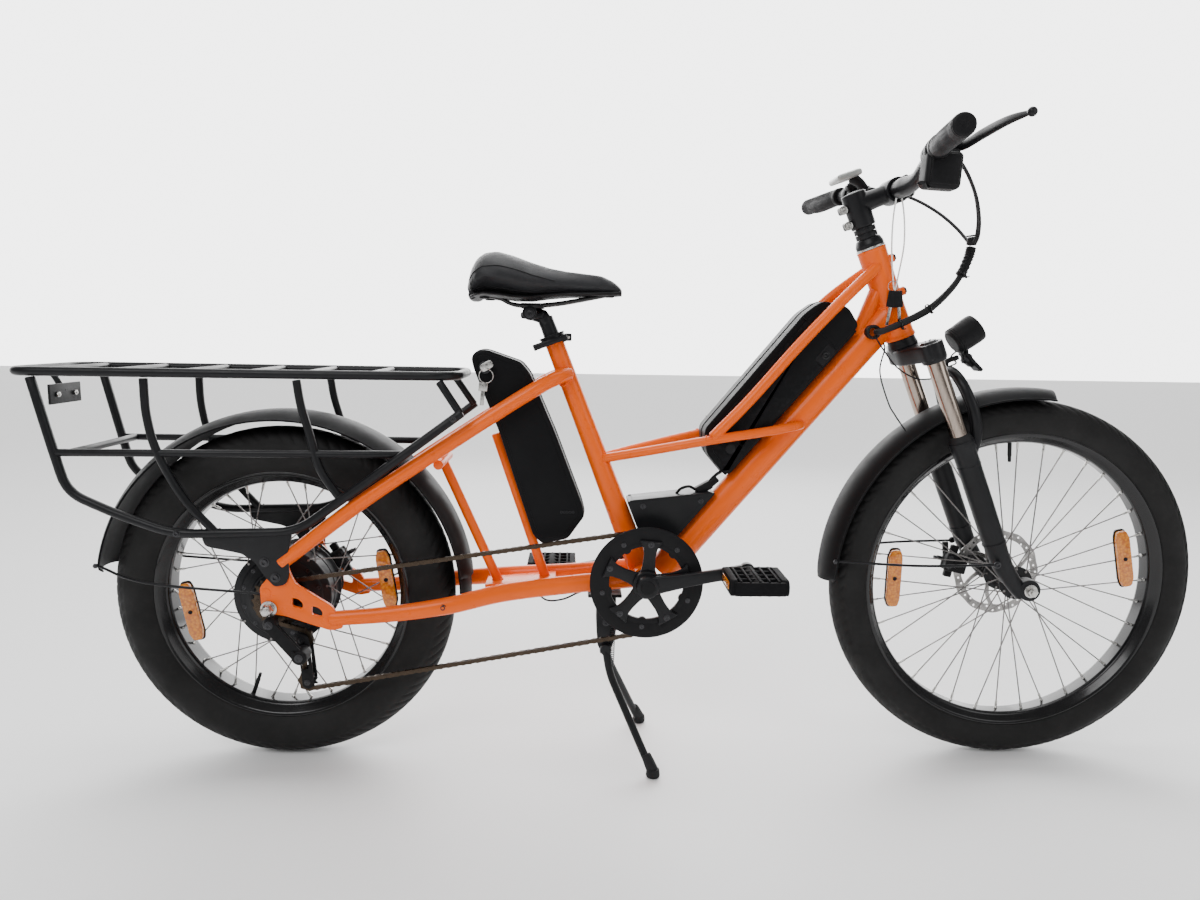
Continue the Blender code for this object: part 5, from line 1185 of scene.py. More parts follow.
def fork():
    outline = [(-0.088, 0.000), (-0.084, 0.030), (-0.062, 0.042), (-0.036, 0.034), (-0.016, 0.022)]
    outline += [(0.016, 0.022), (0.036, 0.034), (0.062, 0.042), (0.084, 0.030), (0.088, 0.000)]
    outline += [(0.060, -0.008), (0.024, -0.024), (-0.024, -0.024), (-0.060, -0.008)]
    outline = rounded_outline(outline, 0.010, 5)
    count = len(outline)
    low = [steer(0.440, f, s) for s, f in outline]
    high = [steer(0.468, f, s) for s, f in outline]
    faces = [list(range(count)), list(range(2 * count - 1, count - 1, -1))]
    faces += [[k, k + count, (k + 1) % count + count, (k + 1) % count] for k in range(count)]
    crown = bevelled((low + high, faces), 0.0040, 4, 50.0)
    race = turn(soften([(0.0, 0.461), (0.0245, 0.461), (0.0258, 0.4700), (0.0240, 0.4770),
                        (0.0235, HEAD_LOW - 0.0004),
                        (0.0, HEAD_LOW - 0.0004)], 0.0010), STEER_BASE, STEER_UP, 64)
    steerer = plug(STEERER_R, 0.452, 0.742, STEER_BASE, STEER_UP, 40)
    cap = turn(soften([(0.0, 0.742), (0.0165, 0.742), (0.0165, 0.7455), (0.0060, 0.7475), (0.0, 0.7475)],
                      0.0010),
               STEER_BASE, STEER_UP, 48)
    parts = [crown, race, steerer, cap]
    for side in (-1, 1):
        leg = leg_base(side)
        sock = [(0.0, 0.434), (STANCHION_R + 0.0046, 0.434), (STANCHION_R + 0.0070, 0.440),
                (STANCHION_R + 0.0070, 0.468), (0.0, 0.468)]
        parts.append(turn(soften(sock, 0.0020), leg, STEER_UP, 56))
        dial = [(0.0, 0.466), (0.0150, 0.466), (0.0150, 0.4690), (0.0125, 0.4700), (0.0122, 0.4710),
                (0.0080, 0.4718), (0.0, 0.4718)]
        parts.append(turn(soften(dial, 0.0006, 2), leg, STEER_UP, 48))
        for k in range(3):
            angle = 2 * pi * k / 3 + 0.5
            grip_at = leg + STEER_UP * 0.4722 + STEER_FORWARD * 0.0048 * cos(angle)
            grip_at = grip_at + Y_AXIS * 0.0048 * sin(angle)
            parts.append(plug(0.0014, -0.0006, 0.0008, grip_at, STEER_UP, 12, 0.0003))
    show(merge(*parts), "fork_crown_casting", "fork_crown", "black_satin", ["fork_crown"], 30.0)
    tubes = [plug(STANCHION_R, 0.165, 0.445, leg_base(side), STEER_UP, 72) for side in (-1, 1)]
    show(merge(*tubes), "fork_stanchions", "fork_crown", "stanchion")

    arch = [(0.262, 0.030, 0.066), (0.290, 0.048, 0.0655), (0.330, 0.057, 0.0640), (0.372, 0.058, 0.054)]
    arch += [(0.397, 0.058, 0.032), (0.403, 0.058, 0.0)]
    arch += [(up, forward, -side) for up, forward, side in reversed(arch[:-1])]
    parts = [sweep(curve_through([steer(*p) for p in arch], 6), 0.0068, 28, flatten=1.25,
                   side_hint=STEER_FORWARD)]
    rib = [steer(up, forward - 0.006, side * 0.92) for up, forward, side in arch]
    parts.append(sweep(curve_through(rib, 6), 0.0036, 14))
    for side in (-1, 1):
        leg = [(-0.006, 0.037), (0.012, 0.031), (0.030, 0.026), (0.055, 0.0205), (0.075, LEG_FORWARD)]
        leg += [(0.120, LEG_FORWARD), (0.180, LEG_FORWARD), (0.240, LEG_FORWARD), (0.272, LEG_FORWARD)]
        leg += [(0.276, LEG_FORWARD), (0.290, LEG_FORWARD), (0.292, LEG_FORWARD)]
        radii = [0.0135, 0.0140, 0.0150, 0.0168, 0.0180, 0.0190, LOWER_LEG_R, LOWER_LEG_R, LOWER_LEG_R]
        radii += [LOWER_LEG_R + 0.0016, LOWER_LEG_R + 0.0016, LOWER_LEG_R + 0.0006]
        path = [steer(up, forward, side * LEG_Y) for up, forward in leg]
        parts.append(sweep(path, radii, 48, rounding=0.08))
        end = FRONT_AXLE + Y_AXIS * side * (LEG_Y + 0.001)
        lug = [(0.0, -0.013), (0.0175, -0.013), (0.0190, -0.010), (0.0190, 0.010), (0.0165, 0.013),
               (0.0, 0.013)]
        parts.append(turn(soften(lug, 0.0015), end, Y_AXIS, 48))
        for up in (0.100, 0.245):
            parts.append(ring(LOWER_LEG_R - 0.003, LOWER_LEG_R + 0.0005, up, up + 0.0025,
                              leg_base(side), STEER_UP, 48, 0.0003))
    lamp_arm = [steer(0.4020, 0.0580), steer(0.4150, 0.0640), steer(0.4150, 0.0850)]
    parts.append(sweep(curve_through(lamp_arm, 6), 0.0045, 20))
    show(merge(*parts), "fork_lower_castings", "fork_lowers", "black_satin", ["fork_lowers"], 34.0)
    seals = []
    for side in (-1, 1):
        seal = [(STANCHION_R + 0.0002, 0.290), (LOWER_LEG_R - 0.0005, 0.290), (LOWER_LEG_R, 0.2935),
                (LOWER_LEG_R - 0.0015, 0.2965), (STANCHION_R + 0.0030, 0.2985),
                (STANCHION_R + 0.0008, 0.3015),
                (STANCHION_R + 0.0002, 0.3015)]
        seals.append(turn(soften(seal, 0.0004, 2), leg_base(side), STEER_UP, 56))
    show(merge(*seals), "fork_wiper_seals", "fork_lowers", "soft_black")
    nuts = []
    for side in (-1, 1):
        face = FRONT_AXLE + Y_AXIS * side * (LEG_Y + 0.0142)
        nuts.append(ring(0.0052, 0.0115, 0.0, 0.0014, face, Y_AXIS * side, 36))
        nuts.append(hex_nut(face + Y_AXIS * side * 0.0014, Y_AXIS * side, 0.0090, 0.0080))
    nuts.append(plug(0.0050, -0.094, 0.094, FRONT_AXLE, Y_AXIS, 28))
    show(merge(*nuts), "front_axle_nuts", "fork_lowers", "steel")


def fender_band(centre, inner, start, stop, half, drop, thickness, steps, sections=15):
    """A crowned strip swept round the wheel, with rounded ends and rolled edges."""
    verts, edges = [], ([], [])
    for s in range(steps + 1):
        angle = radians(start + (stop - start) * s / steps)
        spoke = radial(angle)
        end_gap = min(s, steps - s) * radians(abs(stop - start)) / steps * inner
        width = half * (sqrt(max(0.0, 1.0 - max(0.0, 1.0 - end_gap / 0.028) ** 2)) * 0.35 + 0.65)
        for k in range(sections):
            u = -1 + 2 * k / (sections - 1)
            verts.append(centre + spoke * (inner + thickness - drop * abs(u) ** 2.4) + Y_AXIS * width * u)
        for k in range(sections):
            u = 1 - 2 * k / (sections - 1)
            verts.append(centre + spoke * (inner - drop * abs(u) ** 2.4) + Y_AXIS * (width - 0.0012) * u)
        for side, line in zip((-1, 1), edges):
            line.append(centre + spoke * (inner + 0.4 * thickness - drop) + Y_AXIS * side * width)
    return merge(loft(verts, 2 * sections), *[sweep(line, 0.0018, 10) for line in edges])


def mudguards():
    band = fender_band(FRONT_AXLE, FRONT_WHEEL_R + 0.018, 82, 180, 0.0445, 0.016, 0.0026, 84)
    show(band, "front_fender_blade", "front_fender", "fender_plastic", ["front_fender"], 30.0)
    parts, bolts = [], []
    for side in (-1, 1):
        fixing = FRONT_AXLE + Vector((-0.3310, side * 0.0400, 0.040))
        leg = steer(0.070, LEG_FORWARD - 0.0150, side * 0.0874)
        parts.append(sweep(curve_through([fixing, (fixing + leg) / 2 + Y_AXIS * side * 0.018, leg], 12),
                           0.0022, 16))
        parts.append(ring(0.0024, 0.0050, -0.0016, 0.0016, leg, Y_AXIS, 24))
        bolts.append(bolt(leg + Y_AXIS * side * 0.0016, Y_AXIS * side, 0.0042, 0.0030))
        bolts.append(hex_nut(fixing + Y_AXIS * side * 0.0020, Y_AXIS * side, 0.0046, 0.0030))
    parts.append(block(steer(0.370, 0.0440, 0.0), (0.012, 0.020, 0.052), STEER_FORWARD, STEER_UP, 0.002))
    show(merge(*parts), "front_fender_stays", "front_fender", "black_satin")
    show(merge(*bolts), "front_fender_bolts", "front_fender", "bolt_steel")
    band = fender_band(REAR_AXLE + X_AXIS * 0.003, REAR_WHEEL_R + 0.0275, 6, 172, 0.0540, 0.014, 0.0026, 130)
    flap = fender_band(REAR_AXLE, REAR_WHEEL_R + 0.0262, -3, 12, 0.0440, 0.012, 0.0022, 16)
    show(merge(band, flap), "rear_fender_blade", "rear_fender", "fender_plastic", ["rear_fender"], 30.0)
    parts, bolts = [], []
    for side in (-1, 1):
        start = REAR_AXLE + Vector((-0.3060, side * 0.0500, 0.0577))
        end = Vector((-0.012, side * (DROPOUT_Y - 0.0055), 0.318))
        parts.append(sweep(curve_through([start, start + Vector((0.10, side * 0.034, -0.020)), end], 12),
                           0.0022, 16))
        bolts.append(hex_nut(start + Y_AXIS * side * 0.0020, Y_AXIS * side, 0.0046, 0.0030))
    show(merge(*parts), "rear_fender_stays", "rear_fender", "black_satin")
    show(merge(*bolts), "rear_fender_nuts", "rear_fender", "bolt_steel")


# ---------------------------------------------------------------- drivetrain
SPIDER_TURN = 85


def crank_end(angle, y):
    return BB + Vector((CRANK * cos(angle), y, CRANK * sin(angle)))


def tapered(angle, stations):
    """The outline of an arm from the crank's axis, from (distance, half width) stations."""
    along = radial(angle)
    side = Vector((-sin(angle), 0.0, cos(angle)))
    outline = [BB + along * d + side * half for d, half in stations]
    outline += [BB + along * d - side * half for d, half in reversed(stations)]
    return [(p.x, p.z) for p in outline]


def crank_arm(angle, y):
    """A forged arm with its boss and pedal eye."""
    along = radial(angle)
    stations = [(0.006, 0.0160), (0.030, 0.0138), (0.060, 0.0116), (0.090, 0.0104), (0.120, 0.0100),
                (0.150, 0.0106), (0.168, 0.0112)]
    arm = plate(tapered(angle, stations), y - 0.0062, y + 0.0062, 0.0032, 4)
    outside = 1 if y > 0 else -1
    boss = turn(soften([(0.0, -0.010), (0.0185, -0.010), (0.0195, -0.005), (0.0185, 0.0090), (0.0150, 0.0104),
                        (0.0, 0.0104)], 0.0010), BB + Y_AXIS * y, Y_AXIS * outside, 56)
    eye = turn(soften([(0.0, -0.0065), (0.0130, -0.0065), (0.0135, 0.0), (0.0130, 0.0065), (0.0085, 0.0068),
                       (0.0080, 0.0052), (0.0, 0.0052)], 0.0006), BB + along * CRANK + Y_AXIS * y,
               Y_AXIS * outside, 44)
    return merge(arm, boss, eye)


def crankset():
    right, left = crank_arm(CRANK_TILT, -0.0960), crank_arm(CRANK_TILT + pi, 0.0850)
    spindle = plug(0.0085, -0.100, 0.100, BB, Y_AXIS, 32)
    parts = [right, left, spindle, plug(0.0240, -0.0905, -0.0760, BB, Y_AXIS, 56, 0.0015)]
    for k in range(5):
        stations = [(0.012, 0.0150), (0.028, 0.0112), (0.046, 0.0100), (0.060, 0.0112), (0.068, 0.0150),
                    (0.0745, 0.0200)]
        outline = rounded_outline(tapered(radians(SPIDER_TURN + 72 * k), stations), 0.0035)
        parts.append(plate(outline, -0.0825, -0.0765, 0.0016, 3))
    show(merge(*parts), "crank_arms", "crankset", "black_satin", ["crankset"], 30.0)
    caps, bolts = [], []
    for y, outside in ((-0.0960, -1), (0.0850, 1)):
        cap = [(0.0, 0.0), (0.0128, 0.0), (0.0128, 0.0012), (0.0100, 0.0022), (0.0, 0.0026)]
        caps.append(turn(soften(cap, 0.0004, 2), BB + Y_AXIS * (y + outside * 0.0104), Y_AXIS * outside, 40))
    show(merge(*caps), "crank_bolt_caps", "crankset", "black_plastic")
    for k in range(5):
        angle = radians(SPIDER_TURN + 72 * k)
        spot = BB + Vector((0.0690 * cos(angle), -0.0825, 0.0690 * sin(angle)))
        bolts.append(bolt(spot, -Y_AXIS, 0.0038, 0.0018))
    show(merge(*bolts), "chainring_bolts", "crankset", "bolt_steel")


def chainring():
    teeth = 44
    ring_face = toothed(BB, teeth, CHAIN_Y, 0.0020, hole=0.0665, height=0.0042)
    guard = [(0.0725, -0.0767), (0.0955, -0.0767), (0.0972, -0.0758), (0.0972, -0.0738), (0.0960, -0.0728)]
    guard += [(0.0740, -0.0728), (0.0725, -0.0740)]
    made = turn(soften(guard, 0.0006, 2), BB, Y_AXIS, 128)
    inner = ring(0.0640, 0.0745, -0.0765, -0.0690, BB, Y_AXIS, 96, 0.0008)
    tabs, bolts = [], []
    for k in range(5):
        angle = radians(SPIDER_TURN + 36 + 72 * k)
        spot = BB + Vector((0.0775 * cos(angle), -0.0767, 0.0775 * sin(angle)))
        bolts.append(bolt(spot, -Y_AXIS, 0.0030, 0.0013))
        tabs.append(plug(0.0085, -0.0764, -0.0700,
                         (BB.x + 0.0690 * cos(angle), 0.0, BB.z + 0.0690 * sin(angle)),
                         Y_AXIS, 32))
    show(merge(ring_face, made, inner, *tabs), "chainring_plates", "chainring", "black_plastic",
         ["chainring"], 28.0)
    show(merge(*bolts), "chainguard_bolts", "chainring", "bolt_steel")


def pedal(name, angle, side):
    eye_y = -0.0960 if side < 0 else 0.0850
    pivot = crank_end(angle, eye_y)
    near = pivot.y + side * 0.0069
    centre = Vector((pivot.x, near + side * 0.056, pivot.z))
    parts = []
    for offset in (-0.0405, 0.0405):
        outline = [(-0.046, -0.006), (-0.040, -0.0130), (0.040, -0.0130), (0.046, -0.006), (0.046, 0.006),
                   (0.040, 0.0130), (-0.040, 0.0130), (-0.046, 0.006)]
        slab = plate(rounded_outline(outline, 0.004), -0.0055, 0.0055, 0.0012)
        parts.append(([centre + X_AXIS * (p.y + offset) + Y_AXIS * p.x + Z_AXIS * p.z for p in slab[0]],
                      slab[1]))
    for offset in (-0.0445, -0.0220, 0.0, 0.0220, 0.0445):
        wide = 0.0068 if abs(offset) > 0.04 else 0.0050
        parts.append(block(centre + Vector((0.0, offset, 0.0)), (0.080, wide, 0.0215), bevel=0.0012))
    for x in (-0.030, -0.015, 0.0, 0.015, 0.030):
        for z in (-1, 1):
            parts.append(block(centre + Vector((x, 0.0, z * 0.0112)), (0.0035, 0.086, 0.0028), bevel=0.0006))
    parts.append(plug(0.0112, 0.002, 0.100, (pivot.x, near, pivot.z), Y_AXIS * side, 40, 0.0015))
    show(merge(*parts), name + "_cage", name, "pedal_plastic", [name], 34.0)
    glow = []
    for offset in (-1, 1):
        glow.append(block(centre + Vector((offset * 0.0466, 0.0, 0.0)), (0.0022, 0.050, 0.0125),
                          bevel=0.0008))
    show(merge(*glow), name + "_reflectors", name, "amber")
    cap = [(0.0, 0.0), (0.0086, 0.0), (0.0086, 0.0015), (0.0060, 0.0028), (0.0, 0.0030)]
    rod = plug(0.0046, -0.002, 0.006, (pivot.x, near, pivot.z), Y_AXIS * side, 24)
    show(merge(turn(soften(cap, 0.0004, 2), (pivot.x, near + side * 0.100, pivot.z), Y_AXIS * side, 28), rod),
         name + "_axle_cap", name, "bolt_steel")


DERAILLEUR_PIVOT = Vector((0.004, -0.103, 0.272))
CAGE_PIVOT = Vector((0.050, CHAIN_Y, 0.214))
UPPER_PULLEY = Vector((0.044, CHAIN_Y, 0.232))
LOWER_PULLEY = Vector((0.052, CHAIN_Y, 0.157))
PULLEY_R = 0.0150


def derailleur():
    along = Vector((0.60, 0.10, -0.78)).normalized()
    link = block((0.026, -0.1120, 0.243), (0.070, 0.0050, 0.020), along, bevel=0.0018)
    inner_link = block((0.026, -0.1030, 0.243), (0.066, 0.0050, 0.018), along, bevel=0.0018)
    bridge = [plug(0.0034, -0.1155, -0.0995, (0.026 + along.x * d, 0.0, 0.243 + along.z * d), Y_AXIS, 24)
              for d in (-0.026, 0.026)]
    hanger = turn(soften([(0.0, -0.1180), (0.0075, -0.1180), (0.0090, -0.1160), (0.0115, -0.1120),
                          (0.0120, -0.1012),
                          (0.0, -0.1012)], 0.0010), (DERAILLEUR_PIVOT.x, 0.0, DERAILLEUR_PIVOT.z), Y_AXIS, 40)
    knuckle = turn(soften([(0.0, -0.1140), (0.0110, -0.1140), (0.0128, -0.1110), (0.0134, -0.0900),
                           (0.0120, -0.0820),
                           (0.0, -0.0820)], 0.0012), (CAGE_PIVOT.x, 0.0, CAGE_PIVOT.z), Y_AXIS, 44)
    show(merge(link, inner_link, *bridge, hanger, knuckle), "derailleur_knuckles", "derailleur_body",
         "black_plastic", ["derailleur_body"], 32.0)
    details = [bolt((DERAILLEUR_PIVOT.x, -0.1180, DERAILLEUR_PIVOT.z), -Y_AXIS, 0.0048, 0.0022)]
    details.append(bolt((CAGE_PIVOT.x, -0.1140, CAGE_PIVOT.z), -Y_AXIS, 0.0048, 0.0016))
    coil = []
    for s in range(145):
        angle = 2 * pi * s / 24
        share = s / 144
        coil.append(Vector((0.026, -0.1075, 0.243)) + along * (-0.020 + 0.040 * share)
                    + Y_AXIS * 0.0030 * cos(angle) + along.cross(Y_AXIS) * 0.0030 * sin(angle))
    details.append(sweep(coil, 0.0006, 6))
    show(merge(*details), "derailleur_bolts", "derailleur_body", "bolt_steel")
    outline = [(UPPER_PULLEY.x - 0.010, UPPER_PULLEY.z + 0.012),
               (UPPER_PULLEY.x + 0.012, UPPER_PULLEY.z + 0.008)]
    outline += [(LOWER_PULLEY.x + 0.012, LOWER_PULLEY.z), (LOWER_PULLEY.x + 0.004, LOWER_PULLEY.z - 0.013)]
    outline += [(LOWER_PULLEY.x - 0.008, LOWER_PULLEY.z - 0.008),
                (LOWER_PULLEY.x - 0.010, LOWER_PULLEY.z + 0.02)]
    outline = rounded_outline(outline, 0.008)
    middle = (UPPER_PULLEY + LOWER_PULLEY) / 2
    window = [(middle.x - 0.0052, middle.z + 0.014), (middle.x + 0.0058, middle.z + 0.014),
              (middle.x + 0.0070, middle.z - 0.014), (middle.x - 0.0042, middle.z - 0.014)]
    window = rounded_outline(window, 0.004)
    plates = [cut(plate(outline, low, low + 0.0020, 0.0), plate(window, low - 0.01, low + 0.01, 0.0))
              for low in (-0.0790, -0.0590)]
    hub = plug(0.0110, -0.0814, -0.0776, (CAGE_PIVOT.x, 0.0, CAGE_PIVOT.z), Y_AXIS, 36)
    parts = [bevelled(merge(*plates), 0.0004, 2, 60.0), hub]
    for pulley in (UPPER_PULLEY, LOWER_PULLEY):
        parts.append(toothed_pulley(pulley))
        parts.append(plug(0.0060, -0.0785, -0.0575, (pulley.x, 0.0, pulley.z), Y_AXIS, 28))
    show(merge(*parts), "derailleur_cage_plates", "derailleur_cage", "black_plastic", ["derailleur_cage"],
         32.0)
    heads = [bolt((p.x, -0.0792, p.z), -Y_AXIS, 0.0036, 0.0018) for p in (UPPER_PULLEY, LOWER_PULLEY)]
    show(merge(*heads), "pulley_bolts", "derailleur_cage", "bolt_steel")


def toothed_pulley(pulley, teeth=10):
    outline = []
    for k in range(teeth):
        for share, r in ((0.0, 0.0112), (0.20, 0.0116), (0.38, 0.0150), (0.50, 0.0160), (0.62, 0.0150),
                         (0.80, 0.0116)):
            angle = 2 * pi * (k + share) / teeth
            outline.append((pulley.x + r * cos(angle), pulley.z + r * sin(angle)))
    return plate(outline, CHAIN_Y - 0.0012, CHAIN_Y + 0.0012, 0.0)


def arc_points(centre, radius, start, stop, steps):
    made = []
    for s in range(steps + 1):
        angle = radians(start + (stop - start) * s / steps)
        made.append(Vector((centre.x + radius * cos(angle), CHAIN_Y, centre.z + radius * sin(angle))))
    return made


def chain():
    """Plates, rollers and pins laid link by link round the ring, sprocket and pulleys."""
    path = arc_points(BB, RING_R + 0.0005, -82, 98, 60)
    path += arc_points(REAR_AXLE, COG_R, 98, 268, 40)
    path += arc_points(UPPER_PULLEY, PULLEY_R, 75, -60, 14)
    path += arc_points(LOWER_PULLEY, PULLEY_R, 130, 278, 18)
    path.append(path[0])
    lengths = [0.0]
    for a, b in zip(path, path[1:]):
        lengths.append(lengths[-1] + (b - a).length)
    count = 2 * round(lengths[-1] / 0.0127 / 2)
    pins = []
    spot = 0
    for k in range(count):
        target = lengths[-1] * k / count
        while lengths[spot + 1] < target:
            spot += 1
        share = (target - lengths[spot]) / (lengths[spot + 1] - lengths[spot])
        pins.append(path[spot].lerp(path[spot + 1], share))
    plates, rollers = [], []
    shape = []
    for end in (0, 1):
        for step in range(7):
            angle = radians(-75 + 150 * step / 6)
            shape.append((0.0041 * cos(angle), 0.0041 * sin(angle), end))
    for k in range(count):
        a, b = pins[k], pins[(k + 1) % count]
        along = (b - a).normalized()
        out = along.cross(Y_AXIS)
        gaps = ((0.0014, 0.0022),) if k % 2 else ((0.0025, 0.0033),)
        for side in (-1, 1):
            for low, high in gaps:
                ringed = [b + along * u + out * w for u, w, end in shape if not end]
                ringed.append((a + b) / 2 + out * 0.0031)
                ringed += [a - along * u - out * w for u, w, end in shape if end]
                ringed.append((a + b) / 2 - out * 0.0031)
                n = len(ringed)
                verts = [p + Y_AXIS * side * low for p in ringed] + [p + Y_AXIS * side * high for p in ringed]
                faces = [list(range(n)), list(range(2 * n - 1, n - 1, -1))]
                faces += [[i, i + n, (i + 1) % n + n, (i + 1) % n] for i in range(n)]
                plates.append((verts, faces))
        rollers.append(turn([(0.0, -0.0038), (0.0017, -0.0038), (0.0017, -0.0014), (0.0038, -0.0014),
                             (0.0038, 0.0014), (0.0017, 0.0014), (0.0017, 0.0038), (0.0, 0.0038)], a, Y_AXIS,
                            12))
    show(merge(*plates, *rollers), "chain_links", "chain", "chain_steel", ["chain"], 30.0)


def caliper(name, axle, angle, y, radius, mount):
    out = radial(angle)
    centre = axle + out * (radius + 0.002) + Y_AXIS * y
    around = out.cross(Y_AXIS)
    halves = [block(centre + Y_AXIS * s * 0.0078, (0.040, 0.0100, 0.034), out, bevel=0.0030, segments=4)
              for s in (-1, 1)]
    bridge = block(centre + out * 0.0125, (0.0130, 0.0200, 0.026), out, bevel=0.0020)
    pistons = [plug(0.0105, 0.0, 0.0030, centre - out * 0.004 + Y_AXIS * s * 0.0125, Y_AXIS * s, 40)
               for s in (-1, 1)]
    arm = sweep(evenly(centre + Y_AXIS * 0.010 + out * 0.012, Vector(mount), 5), 0.0055, 24)
    tabs = [block(centre + out * 0.004 + around * s * 0.0235 + Y_AXIS * 0.006, (0.014, 0.010, 0.014), out,
                  bevel=0.002)
            for s in (-1, 1)]
    show(merge(*halves, bridge, *pistons, arm, *tabs), name + "_body", name, "black_plastic", [name], 32.0)
    bolts = [bolt(centre + out * 0.0135 + around * s * 0.0085 - Y_AXIS * 0.0128, -Y_AXIS, 0.0034, 0.0024)
             for s in (-1, 1)]
    bolts += [bolt(centre + out * 0.004 + around * s * 0.0250 + Y_AXIS * 0.0110, Y_AXIS, 0.0040, 0.0034)
              for s in (-1, 1)]
    lever = sweep(evenly(centre + Y_AXIS * 0.0160 + around * 0.004, centre + Y_AXIS * 0.0165 + out * 0.022,
                         4), 0.0030, 16)
    adjuster = turn(soften([(0.0, 0.0), (0.0042, 0.0), (0.0042, 0.010), (0.0028, 0.012), (0.0028, 0.017),
                            (0.0, 0.017)],
                           0.0005, 2), centre + out * 0.017 + Y_AXIS * 0.014, out, 24)
    show(merge(*bolts, lever, adjuster), name + "_bolts", name, "bolt_steel")


# ---------------------------------------------------------------- saddle and post
RAIL = [(0.350, 0.045, 0.8180), (0.376, 0.034, 0.8140), (0.398, 0.0255, 0.8045), (0.430, 0.022, 0.8025),
        (0.470, 0.021, 0.8060), (0.505, 0.018, 0.8120), (0.540, 0.013, 0.8190), (0.562, 0.010, 0.8235)]
SADDLE = [(0.3250, 0.052, 0.812, 0.841), (0.3300, 0.074, 0.8095, 0.865), (0.339, 0.089, 0.8130, 0.881),
          (0.353, 0.097, 0.8160, 0.8912), (0.376, 0.098, 0.8145, 0.8910), (0.402, 0.091, 0.811, 0.8845),
          (0.430, 0.075, 0.811, 0.8745), (0.460, 0.055, 0.815, 0.8660), (0.490, 0.040, 0.818, 0.8610),
          (0.520, 0.0315, 0.819, 0.8580), (0.549, 0.0270, 0.820, 0.8550), (0.571, 0.0225, 0.821, 0.8480),
          (0.583, 0.0160, 0.822, 0.8390), (0.589, 0.0090, 0.824, 0.8320)]


def saddle_shape(shrink=0.0, around=56):
    """The cushion's closed form, lofted through its sections; shrink pulls it inside its final size."""
    knots = [Vector((x, half, (low + high) / 2, (high - low) / 2)) for x, half, low, high in SADDLE]
    stations = []
    for a, b in zip(knots, knots[1:]):
        stations += [a.lerp(b, s / 4) for s in range(4)]
    stations.append(knots[-1])
    verts = []
    for x, half, middle, rise in stations:
        half, rise = max(0.003, half - shrink), max(0.003, rise - shrink)
        for k in range(around):
            angle = 2 * pi * k / around
            c, s = cos(angle), sin(angle)
            wide = half * abs(c) ** 0.72 * (1 if c >= 0 else -1)
            droop = 0.25 * rise * abs(c) ** 1.6 if s > 0 else 0.0
            dip = 0.10 * rise * max(0.0, 1.0 - (wide / (0.35 * half + 0.001)) ** 2) if s > 0 else 0.0
            flat = 0.80 if s < 0 else 1.0
            verts.append(Vector((x, wide, middle + rise * s * flat - droop - dip)))
    return loft(verts, around)


def inflated(shape, pressure=4.0, grain=0.005, frames=20, reach=0.0035):
    """The shape remeshed, blown up a little as cloth, then smoothed once."""
    made = as_object(shape, "work")
    scene = bpy.context.scene

    def settle():
        graph = bpy.context.evaluated_depsgraph_get()
        fresh = bpy.data.meshes.new_from_object(made.evaluated_get(graph))
        made.modifiers.clear()
        made.data = fresh

    remesh = made.modifiers.new("remesh", "REMESH")
    remesh.mode = "VOXEL"
    remesh.voxel_size = grain
    smooth = made.modifiers.new("smooth", "SMOOTH")
    smooth.iterations = 6
    smooth.factor = 0.5
    settle()
    start = [v.co.copy() for v in made.data.vertices]
    cloth = made.modifiers.new("cloth", "CLOTH")
    settings = cloth.settings
    settings.quality = 7
    settings.mass = 0.25
    settings.tension_stiffness = 30.0
    settings.compression_stiffness = 30.0
    settings.bending_stiffness = 4.0
    settings.use_pressure = True
    settings.uniform_pressure_force = pressure
    settings.effector_weights.gravity = 0.0
    cloth.point_cache.frame_start = 1
    cloth.point_cache.frame_end = frames
    for frame_number in range(1, frames + 1):
        scene.frame_set(frame_number)
    settle()
    scene.frame_set(1)
    for vert, rest in zip(made.data.vertices, start):
        step = vert.co - rest
        if step.length > reach:
            vert.co = rest + step * (reach / step.length)
    finer = made.modifiers.new("finer", "SUBSURF")
    finer.levels = 1
    finer.render_levels = 1
    settle()
    mesh = bmesh.new()
    mesh.from_mesh(made.data)
    bpy.data.objects.remove(made)
    return from_mesh(mesh)


def surface_line(tree, origins, directions, lift=0.0002):
    line = []
    for origin, direction in zip(origins, directions):
        hit = tree.ray_cast(origin, direction, 0.3)
        if hit[0] is not None:
            line.append(hit[0] + hit[1] * lift)
    return line


